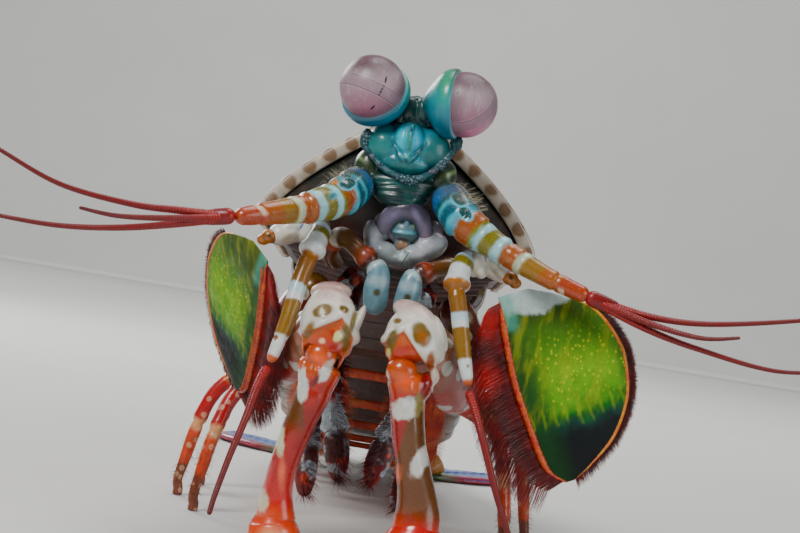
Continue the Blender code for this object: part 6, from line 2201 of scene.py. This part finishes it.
def outline_fringe(pick, outline, origin, run, across, up, length, count, radius, keep):
    """Setae standing out from the edge of a blade."""
    hairs = []
    total = len(outline)
    middle = [sum(row[k] for row in outline) / total for k in (0, 1)]
    for k in range(count):
        place_on = (k + 0.5 * pick.random()) / count * total
        first = outline[int(place_on) % total]
        after = outline[(int(place_on) + 1) % total]
        part = place_on % 1.0
        a, c = (p + (q - p) * part for p, q in zip(first, after))
        if not keep(a, c):
            continue
        out_a, out_c = after[1] - first[1], -(after[0] - first[0])
        size = math.hypot(out_a, out_c) or 1.0
        out_a, out_c = out_a / size, out_c / size
        if out_a * (a - middle[0]) + out_c * (c - middle[1]) < 0:
            out_a, out_c = -out_a, -out_c
        out = run * (out_a + 0.35) + across * out_c
        out.normalize()
        root = origin + run * a + across * c - out * 0.15
        reach = length * pick.uniform(0.8, 1.1)
        tip = root + out * reach + up * pick.uniform(-0.1, 0.1)
        hairs.append(((root, (root + tip) / 2, tip), radius,
                      (0.05 + 0.9 * k / count, 0.5 + 0.4 * pick.random())))
    return hairs


TELSON_TEETH = ((14.6, 9.3, 2.3), (18.0, 7.0, 2.3), (20.6, 3.7, 2.4))


def build_tail(sizes):
    """Telson, uropods and their fringes."""
    pick = random.Random(SEED + 4)
    blue, brown, green = paddle_finish(), uropod_arm_finish(), tail_finish()
    setae = fringe_finish("tail_fringe", srgb(120, 14, 24), srgb(206, 56, 40))
    tail, _ = trunk(CARAPACE_LENGTH + 4 * THORAX_SOMITE + sum(ABDOMEN_SOMITES))
    origin = tail + Vector((0.0, GAP + 0.5, TELSON_LIFT))
    slope = math.radians(TELSON_SLOPE)
    run = Vector((0.0, math.cos(slope), -math.sin(slope)))
    up = Vector((0.0, math.sin(slope), math.cos(slope)))
    half = [(0.0, 8.4), (4.0, 9.9), (9.5, 10.3), (14.0, 9.3), (17.0, 7.3), (19.2, 4.9), (20.2, 2.4),
            (19.4, 0.3)]
    fine = smooth(half, 12)
    outline = [(a, c) for a, c in fine] + [(a, -c) for a, c in reversed(fine)]

    def keels(a, c, face, out):
        if face < 0:
            return 0.0
        fade = ease(out, 1.0, 0.82)
        lift = 1.25 * hump(c, 0.0, 0.75) * ease(a, 0.5, 3.0) * ease(a, 17.5, 13.5)
        lift += 0.7 * hump(abs(c), 3.6, 0.5) * ease(a, 1.5, 4.0) * ease(a, 18.5, 15.5)
        lift += 0.6 * hump(abs(c), 6.7, 0.5) * ease(a, 1.5, 4.0) * ease(a, 17.0, 14.0)
        lift += 0.3 * ease(abs(c), 8.6, 9.6)
        lift -= 0.35 * hump(abs(c), 5.1, 0.8)
        return (lift + 0.08 * rough((a, c, 0.0), 0.7)) * fade
    bm = blade(outline, origin, run, Vector((1, 0, 0)), up, 90,
               lambda out: (0.6 + 1.5 * (1.0 - out ** 2.5)) * (1.0 - out ** 10) ** 0.5, keels)
    for a, c, length in TELSON_TEETH:
        for s in (-1.0, 1.0):
            foot = origin + run * (a - 1.6) + Vector((c * s, 0, 0)) * 0.97
            tip = origin + run * (a + length * 0.55) + Vector((c * s * 1.02, 0, 0))
            tooth = limb(Path([(*foot, 1.0, 0.75), (*foot.lerp(tip, 0.5), 0.75, 0.6),
                               (*tip, 0.12, 0.12)]), 16, 24)
            bm = joined(bm, tooth)
    piece("telson_plate", bm, green, "telson")

    for side, s in SIDES.items():
        root = Vector((s * UROPOD_ROOT[0], tail.y + UROPOD_ROOT[1], 0.0))
        arm = limb(Path([(s * x, tail.y + y, z, wide, deep) for x, y, z, wide, deep in UROPOD_ARM]),
                   40, 60)
        for tip_y, tip_x in ((12.5, 11.2), (10.0, 13.4)):
            foot = Vector((s * (tip_x + 0.6), tail.y + tip_y - 6.0, 1.7))
            tip = Vector((s * tip_x, tail.y + tip_y, 1.1))
            arm = joined(arm,
                         limb(Path([(*foot, 0.8, 0.6), (*foot.lerp(tip, 0.6), 0.55, 0.45),
                                    (*tip, 0.1, 0.1)]), 14, 30))
        piece(f"uropod_arm_{side}", arm, brown, f"uropod_{side}")
        hairs = []
        paddles = []
        for length, width, splay, thick in UROPOD_BLADES:
            turn = math.radians(splay)
            way = Vector((s * math.sin(turn), math.cos(turn), 0.0))
            across = Vector((s * math.cos(turn), -math.sin(turn), 0.0))
            lifted = root + Vector((0.0, 0.0, thick / 2))
            outline = paddle_outline(length, width)
            middle = [sum(row[k] for row in outline) / len(outline) for k in (0, 1)]

            def shape(u, v, outline=outline, middle=middle, lifted=lifted, way=way, across=across,
                      thick=thick,
                      length=length):
                edge = outline[round(u * len(outline)) % len(outline)]
                out = 1.0 - abs(2.0 * v - 1.0) ** 1.5
                a = middle[0] + (edge[0] - middle[0]) * out
                c = middle[1] + (edge[1] - middle[1]) * out
                face = 1.0 if v > 0.5 else -1.0
                lift = face * thick / 2 * (1.0 - out ** 9) ** 0.45
                if face > 0:
                    lift += (0.28 * hump(c, 0.25, 0.4) * ease(out, 1.0, 0.7)
                             + 0.05 * math.sin(a * 2.2) * ease(out, 1.0, 0.6))
                return lifted + way * a + across * c + Vector((0, 0, lift)), (out, a / length)
            paddles.append(sheet_of(144, 48, shape))
            hairs += outline_fringe(pick, outline, lifted, way, across, Vector((0, 0, 1)),
                                    sizes.tail_fringe / MM, 460, 0.05,
                                    lambda a, c, length=length: a > 0.25 * length)
            for k in range(9):
                part = 0.30 + 0.058 * k
                place_on = min(outline, key=lambda row, part=part,
                               length=length: abs(row[0] - part * length) + (row[1] < 0) * 99)
                foot = lifted + way * (place_on[0] - 0.4) + across * (place_on[1] - 0.3)
                tip = foot + way * 1.5 + across * 0.9
                paddles.append(limb(Path([(*foot, 0.3, 0.28), (*foot.lerp(tip, 0.5), 0.2, 0.2),
                                          (*tip, 0.04, 0.04)],
                                         (0, 0, 1)), 10, 12))
        bm = joined(*paddles)
        piece(f"uropod_paddles_{side}", bm, blue, f"uropod_{side}")
        bristles(f"uropod_fringe_{side}", hairs, setae, f"uropod_{side}")


# Swimmerets
def swimmeret_finish():
    """Red and orange swimmerets."""
    made = Finish("swimmeret_red", 0.42, coat=0.2, glow=0.3)
    made.colour = made.ramp(made.grain(made.point, 0.3, 4.0, 0.6), (
        (0.3, srgb(150, 44, 22)), (0.55, srgb(196, 84, 40)), (0.8, srgb(222, 150, 100))))
    made.lay(made.step(made.grain(made.vector("MULTIPLY", made.point, (3.0, 0.6, 0.6)), 0.5, 2.0),
                       0.5, 0.7),
             srgb(120, 22, 16), 0.6)
    made.shell(0.8, 5.0, 0.02, 0.25, srgb(60, 6, 4))
    return made.done()




def build_swimmerets(sizes):
    """Five pairs of swimmerets under the abdomen."""
    pick = random.Random(SEED + 5)
    red = swimmeret_finish()
    setae = fringe_finish("swimmeret_fringe", srgb(170, 70, 40), srgb(226, 160, 110))
    start = CARAPACE_LENGTH + 4 * THORAX_SOMITE
    for number, (length, sweep) in enumerate(PLEOPODS, start=1):
        middle = start + ABDOMEN_SOMITES[number - 1] * 0.35
        low = table(DEPTH, middle) * (1.0 + LOBE_DROP) + 0.75
        root = on_trunk(middle, 0.0, -low)
        turn = math.radians(sweep)
        down = upright(-1.0, -turn)
        face = Vector((0.0, math.cos(turn), math.sin(turn)))
        bar = limb(Path([(*(root + Vector((x, 0, 0)) + down * 0.09 * length), 0.9 * fade,
                          0.5 * fade)
                         for x,
                         fade in ((-12.0, 0.5), (-6.0, 1.0), (0.0, 0.9), (6.0, 1.0), (12.0, 0.5))],
                        down), 24, 80)
        parts, hairs = [bar], []
        for s in (-1.0, 1.0):
            for inner, outer, top, bottom in ((2.9, 7.4, 0.1, 0.92), (6.8, 12.3, 0.12, 1.0)):
                centre = (inner + outer) / 2
                outline = []
                for k in range(96):
                    t = math.tau * k / 96
                    part = 0.5 - 0.5 * math.cos(t)
                    half = 0.5 * (outer - inner) * math.sin(t) * (0.7 + 0.42 * part)
                    outline.append((length * (top + (bottom - top) * part), half))
                base = root + Vector((centre * s, 0, 0))
                across = Vector((s, 0, 0))
                parts.append(blade(
                    outline, base, down, across, face, 30,
                    lambda out: (0.18 + 0.22 * (1 - out ** 2)) * (1.0 - out ** 8) ** 0.4,
                    lambda a, c, side, out: 0.1 * math.sin(a * 1.7) * ease(out, 1.0, 0.5)))
                hairs += outline_fringe(pick, outline, base, down, across, face,
                                        min(0.85 * sizes.tail_fringe / MM, 0.16 * length), 170,
                                        0.045,
                                        lambda a, c, top=top,
                                        length=length: a > (top + 0.25) * length)
        piece(f"swimmerets_{number}", joined(*parts), red, f"pleopods_{number}")
        bristles(f"swimmeret_fringe_{number}", hairs, setae, f"pleopods_{number}")
        start += ABDOMEN_SOMITES[number - 1]


# Walking legs
def leg_finish():
    """Orange and white bands of the walking legs."""
    made = Finish("walking_leg", 0.36, coat=0.35, glow=0.2)
    _, along = made.pattern()
    made.bands(along, (
        (0.16, srgb(176, 60, 30)), (0.2, srgb(226, 190, 160)), (0.4, srgb(196, 66, 28)),
        (0.46, srgb(222, 130, 70)),
        (0.66, srgb(176, 44, 22)), (0.71, srgb(228, 170, 130)), (0.86, srgb(206, 84, 36)),
        (1.0, srgb(120, 60, 40))),
        0.01, 0.05)
    made.lay(made.step(made.cells(made.point, 0.6), 0.3, 0.24), srgb(232, 206, 176), 0.5)
    made.shell(0.9, 5.0, 0.02, 0.25, srgb(60, 8, 2))
    return made.done()


def build_legs():
    """Three pairs of walking legs."""
    pick = random.Random(SEED + 6)
    red = leg_finish()
    setae = fringe_finish("leg_hair", srgb(90, 40, 24), srgb(176, 110, 70))
    for number, (where, bend, knee, foot) in enumerate(LEGS, start=1):
        hip = on_trunk(where, 0.0, -table(DEPTH, where) * 1.1 - 0.9)
        for side, s in SIDES.items():
            root = Vector((s * LEG_ROOT_X, hip.y, hip.z))
            ground = Vector((root.x + s * foot[0], root.y + foot[1], 0.0))
            turn = root + Vector((s * bend[0], bend[1], bend[2]))
            crook = root + Vector((s * knee[0], knee[1], knee[2]))
            path = Path([(*root, 1.7, 1.5), (*turn, 1.5, 1.4), (*crook, 1.05, 1.0),
                         (ground.x, ground.y, 4.0, 0.85, 0.8),
                         (ground.x, ground.y, 0.9, FOOT_RADIUS, FOOT_RADIUS),
                         (ground.x, ground.y, 0.0, FOOT_RADIUS, FOOT_RADIUS)])
            end = path.length

            def joints(angle, along, end=end):
                part = 1.0
                for spot in (0.17, 0.42, 0.68):
                    part *= 1.0 - 0.2 * hump(along, spot * end, 0.35)
                    part *= 1.0 + 0.12 * hump(along, spot * end - 1.1, 0.7)
                part *= 1.0 - 0.12 * ease(along, 0.8 * end, 0.9 * end) * ease(along, end,
                                                                              0.93 * end)
                return part * (1.0 + 0.03 * rough((along, math.cos(angle), math.sin(angle)), 0.6))
            leg = limb(path, 32, 130, joints, blunt=(1.0, 0.25))
            start = root + Vector((s * bend[0] * BRANCH_ROOT[0], bend[1] * BRANCH_ROOT[1],
                                   bend[2] * BRANCH_ROOT[2]))
            tip = start + Vector((s * BRANCH_RUN.x, BRANCH_RUN.y, BRANCH_RUN.z))
            branch = limb(Path([(*start, 0.6, 0.6), (*((start + tip) / 2), 0.55, 0.55),
                                (*tip, 0.4, 0.4)],
                               (0, 0.3, 1)), 20, 40)
            piece(f"walking_leg_{number}_{side}", joined(leg, branch), red,
                  f"walking_leg_{number}_{side}")
            hairs = brush(pick, path, 0.72, 0.95, 150, (0.0, -0.6, 0.1), 1.0, 0.025, 1.0)
            bristles(f"walking_leg_{number}_hair_{side}", hairs, setae,
                     f"walking_leg_{number}_{side}")


# Stage: floor, backdrop and lights, in metres
FLOOR_HALF = 1.4
BACKDROP_BEND = 1.0
LIGHTS = (
    # name, place, aim, size, power, warmth
    ("key", (-0.26, -0.42, 0.42), (0.0, -0.06, 0.035), 0.22, 3.0, (1.0, 0.985, 0.96)),
    ("fill", (0.40, -0.34, 0.16), (0.0, -0.05, 0.03), 0.30, 0.8, (0.96, 0.98, 1.0)),
    ("top", (0.05, 0.05, 0.50), (0.0, -0.02, 0.02), 0.36, 1.3, (1.0, 1.0, 1.0)),
    ("rim", (-0.30, 0.36, 0.26), (0.0, 0.0, 0.03), 0.24, 1.5, (1.0, 0.98, 0.96)),
    ("backdrop", (0.0, 0.45, 0.75), (0.0, 1.3, 0.25), 0.70, 9.0, (1.0, 1.0, 1.0)),
)
WORLD_LEVEL = 0.12


def floor_finish(shade):
    """Plain pale matt board with a faint unevenness."""
    material = bpy.data.materials.new("stage_board")
    material.use_nodes = True
    tree = Tree(material.node_tree)
    shader = material.node_tree.nodes["Principled BSDF"]
    point = tree.node("TexCoord").outputs["Object"]
    cloud = tree.node("TexNoise", {"Vector": point, "Scale": 9.0, "Detail": 3.0}).outputs[0]
    low = tuple(part * 0.94 for part in shade[:3]) + (1.0,)
    tree.give(shader.inputs["Base Color"], tree.ramp(cloud, ((0.3, low), (0.7, tuple(shade)))))
    shader.inputs["Roughness"].default_value = 0.75
    return material


def build_stage(colours):
    """Pale floor that bends up behind, soft lights, and the camera at the photo's angle."""
    bm = bmesh.new()
    bmesh.ops.create_grid(bm, x_segments=8, y_segments=8, size=FLOOR_HALF)
    back = [edge for edge in bm.edges if all(vert.co.y > FLOOR_HALF - 1e-4 for vert in edge.verts)]
    made = bmesh.ops.extrude_edge_only(bm, edges=back)
    raised_row = [item for item in made["geom"] if isinstance(item, bmesh.types.BMVert)]
    bmesh.ops.translate(bm, vec=(0.0, 0.0, 2.0 * FLOOR_HALF), verts=raised_row)
    corner = [edge for edge in bm.edges
              if all(vert.co.y > FLOOR_HALF - 1e-4 and vert.co.z < 1e-4 for vert in edge.verts)]
    bmesh.ops.bevel(bm, geom=corner, offset=BACKDROP_BEND, segments=12, profile=0.5, material=-1,
                    affect="EDGES", clamp_overlap=True)
    bmesh.ops.recalc_face_normals(bm, faces=bm.faces)
    mesh = bpy.data.meshes.new("studio_floor")
    bm.to_mesh(mesh)
    bm.free()
    mesh.shade_smooth()
    mesh.materials.append(floor_finish(colours.floor))
    floor = bpy.data.objects.new("studio_floor", mesh)
    bpy.context.scene.collection.objects.link(floor)

    for name, spot, aim, size, power, tint in LIGHTS:
        lamp = bpy.data.lights.new(name, "AREA")
        lamp.shape = "DISK"
        lamp.size = size
        lamp.energy = power
        lamp.color = tint
        held = bpy.data.objects.new(name, lamp)
        away = Vector(spot) - Vector(aim)
        held.matrix_world = Matrix.Translation(spot) @ away.to_track_quat("Z",
                                                                          "Y").to_matrix().to_4x4()
        bpy.context.scene.collection.objects.link(held)

    world = bpy.context.scene.world or bpy.data.worlds.new("studio")
    bpy.context.scene.world = world
    world.use_nodes = True
    ground = world.node_tree.nodes["Background"]
    ground.inputs["Color"].default_value = (1.0, 1.0, 1.0, 1.0)
    ground.inputs["Strength"].default_value = WORLD_LEVEL

    view = bpy.data.cameras.new("photo_view")
    view.sensor_width = SENSOR
    view.lens = SENSOR * -CAMERA.y / (2.0 * HALF_VIEW)
    view.clip_start = 0.001
    eye = bpy.data.objects.new("photo_view", view)
    roll = math.radians(CAMERA_ROLL)
    c, s = math.cos(roll), math.sin(roll)
    eye.matrix_world = Matrix.Translation(place(CAMERA)) @ Matrix(
        ((c, -s, 0.0), (0.0, 0.0, -1.0), (s, c, 0.0))).to_4x4()
    bpy.context.scene.collection.objects.link(eye)
    bpy.context.scene.camera = eye


def tint(label, description, colour):
    """A colour that a user may change."""
    return bpy.props.FloatVectorProperty(name=label, description=description, subtype="COLOR",
                                         size=4,
                                         min=0.0, max=1.0, default=colour)


def span(label, description, length, least, most):
    """A length in metres that a user may change."""
    return bpy.props.FloatProperty(name=label, description=description, subtype="DISTANCE",
                                   unit="LENGTH",
                                   precision=5, min=least, max=most, default=length)


class ShrimpColours(bpy.types.PropertyGroup):
    """Colours of the pieces that differ most from animal to animal."""
    stripe: tint("Eye stripe", "Band across the middle of each cornea", srgb(150, 132, 142))
    cup_low: tint("Eye cup, low", "Lower side of each eye cup", srgb(0, 96, 124))
    cup_high: tint("Eye cup, high", "Upper side of each eye cup", srgb(4, 140, 118))
    face: tint("Face", "Round boss in the middle of the face", srgb(22, 160, 178))
    brown_orange: tint("Feeler orange", "Broad orange band of the first feelers", srgb(158, 90, 14))
    olive: tint("Feeler olive", "Olive bands of the first feelers", srgb(128, 122, 26))
    white: tint("Feeler white", "Pale bands of the second feelers", srgb(234, 240, 240))
    whip: tint("Whips", "Thin red ends of all feelers", srgb(132, 8, 10))
    scale_green: tint("Blade green", "Bright middle of the green blades", srgb(134, 182, 6))
    club: tint("Clubs", "Round striking end of each claw", srgb(226, 100, 70))
    floor: tint("Floor", "Studio floor and backdrop", srgb(222, 222, 220))


class ShrimpSizes(bpy.types.PropertyGroup):
    """Sizes of the fine parts, which the solid frame doesn't hold."""
    whip_radius: span("Whip radius", "Radius of the red whips at their root", 0.00056, 0.0002,
                      0.001)
    outer_fringe: span("Outer fringe", "Length of the bristles outside the green blades", 0.00135,
                       0.0002, 0.003)
    inner_fringe: span("Inner fringe", "Length of the bristles inside the green blades", 0.0068,
                       0.0005, 0.009)
    brush_length: span("Jaw leg brushes", "Length of the bristles on the jaw legs", 0.002, 0.0003,
                       0.004)
    tail_fringe: span("Tail fringe", "Length of the bristles round the tail fan", 0.0019, 0.0003,
                      0.004)


class SHRIMP_OT_eyes(bpy.types.Operator):
    """Build the corneas and the cups that hold them."""
    bl_idname = "shrimp.eyes"
    bl_label = "Eyes"

    def execute(self, context):
        build_eyes(context.scene.shrimp_colours)
        return {"FINISHED"}


class SHRIMP_OT_face(bpy.types.Operator):
    """Build the face with its crusted rim and the dark shield below it."""
    bl_idname = "shrimp.face"
    bl_label = "Face"

    def execute(self, context):
        build_face(context.scene.shrimp_colours)
        return {"FINISHED"}


class SHRIMP_OT_mouth(bpy.types.Operator):
    """Build the labrum, the ridge below it and the mandibles."""
    bl_idname = "shrimp.mouth"
    bl_label = "Mouth"

    def execute(self, context):
        build_mouth()
        return {"FINISHED"}


class SHRIMP_OT_first_feelers(bpy.types.Operator):
    """Build the banded first feelers with their red whips."""
    bl_idname = "shrimp.first_feelers"
    bl_label = "First feelers"

    def execute(self, context):
        build_first_feelers(context.scene.shrimp_colours, context.scene.shrimp_sizes)
        return {"FINISHED"}


class SHRIMP_OT_second_feelers(bpy.types.Operator):
    """Build the second feelers with their white hooks."""
    bl_idname = "shrimp.second_feelers"
    bl_label = "Second feelers"

    def execute(self, context):
        build_second_feelers(context.scene.shrimp_colours, context.scene.shrimp_sizes)
        return {"FINISHED"}


class SHRIMP_OT_blades(bpy.types.Operator):
    """Build the green blades with their rims and fringes."""
    bl_idname = "shrimp.blades"
    bl_label = "Green blades"

    def execute(self, context):
        build_scales(context.scene.shrimp_colours, context.scene.shrimp_sizes)
        return {"FINISHED"}


class SHRIMP_OT_jaw_legs(bpy.types.Operator):
    """Build the small jaw legs round the mouth and claws."""
    bl_idname = "shrimp.jaw_legs"
    bl_label = "Jaw legs"

    def execute(self, context):
        build_jaw_legs(context.scene.shrimp_sizes)
        return {"FINISHED"}


class SHRIMP_OT_claws(bpy.types.Operator):
    """Build the striking claws with their clubs."""
    bl_idname = "shrimp.claws"
    bl_label = "Claws"

    def execute(self, context):
        build_claws(context.scene.shrimp_colours)
        return {"FINISHED"}


class SHRIMP_OT_carapace(bpy.types.Operator):
    """Build the carapace, the plate over the eyestalks and the front of the body."""
    bl_idname = "shrimp.carapace"
    bl_label = "Carapace"

    def execute(self, context):
        build_carapace()
        return {"FINISHED"}


class SHRIMP_OT_somites(bpy.types.Operator):
    """Build the free rings of the thorax and the abdomen."""
    bl_idname = "shrimp.somites"
    bl_label = "Body rings"

    def execute(self, context):
        build_somites()
        return {"FINISHED"}


class SHRIMP_OT_tail(bpy.types.Operator):
    """Build the tail plate and the paddles beside it."""
    bl_idname = "shrimp.tail"
    bl_label = "Tail fan"

    def execute(self, context):
        build_tail(context.scene.shrimp_sizes)
        return {"FINISHED"}


class SHRIMP_OT_swimmerets(bpy.types.Operator):
    """Build the five pairs of swimmerets."""
    bl_idname = "shrimp.swimmerets"
    bl_label = "Swimmerets"

    def execute(self, context):
        build_swimmerets(context.scene.shrimp_sizes)
        return {"FINISHED"}


class SHRIMP_OT_legs(bpy.types.Operator):
    """Build the six walking legs."""
    bl_idname = "shrimp.legs"
    bl_label = "Walking legs"

    def execute(self, context):
        build_legs()
        return {"FINISHED"}


class SHRIMP_OT_stage(bpy.types.Operator):
    """Build the floor, the lights and the camera."""
    bl_idname = "shrimp.stage"
    bl_label = "Stage"

    def execute(self, context):
        build_stage(context.scene.shrimp_colours)
        return {"FINISHED"}


STEPS = (SHRIMP_OT_stage, SHRIMP_OT_eyes, SHRIMP_OT_face, SHRIMP_OT_mouth, SHRIMP_OT_first_feelers,
         SHRIMP_OT_second_feelers, SHRIMP_OT_blades, SHRIMP_OT_jaw_legs, SHRIMP_OT_claws,
         SHRIMP_OT_carapace,
         SHRIMP_OT_somites, SHRIMP_OT_tail, SHRIMP_OT_swimmerets, SHRIMP_OT_legs)


class SHRIMP_PT_model(bpy.types.Panel):
    """Lists the steps that build the model, and its colours and sizes."""
    bl_idname = "SHRIMP_PT_model"
    bl_label = "Mantis shrimp"
    bl_space_type = "VIEW_3D"
    bl_region_type = "UI"
    bl_category = "Mantis shrimp"

    def draw(self, context):
        for step in STEPS:
            self.layout.operator(step.bl_idname)
        for settings in (context.scene.shrimp_colours, context.scene.shrimp_sizes):
            for key in type(settings).__annotations__:
                self.layout.prop(settings, key)


CLASSES = (ShrimpColours, ShrimpSizes, *STEPS, SHRIMP_PT_model)


def register():
    """Add the classes and the settings to Blender."""
    for kind in CLASSES:
        bpy.utils.register_class(kind)
    bpy.types.Scene.shrimp_colours = bpy.props.PointerProperty(type=ShrimpColours)
    bpy.types.Scene.shrimp_sizes = bpy.props.PointerProperty(type=ShrimpSizes)


def unregister():
    """Take them out again."""
    del bpy.types.Scene.shrimp_sizes
    del bpy.types.Scene.shrimp_colours
    for kind in reversed(CLASSES):
        bpy.utils.unregister_class(kind)


def main():
    """Build every piece."""
    register()
    for step in STEPS:
        group, name = step.bl_idname.split(".")
        if getattr(getattr(bpy.ops, group), name)() != {"FINISHED"}:
            raise RuntimeError(f"{step.bl_label} did not finish")


if __name__ == "__main__":
    main()
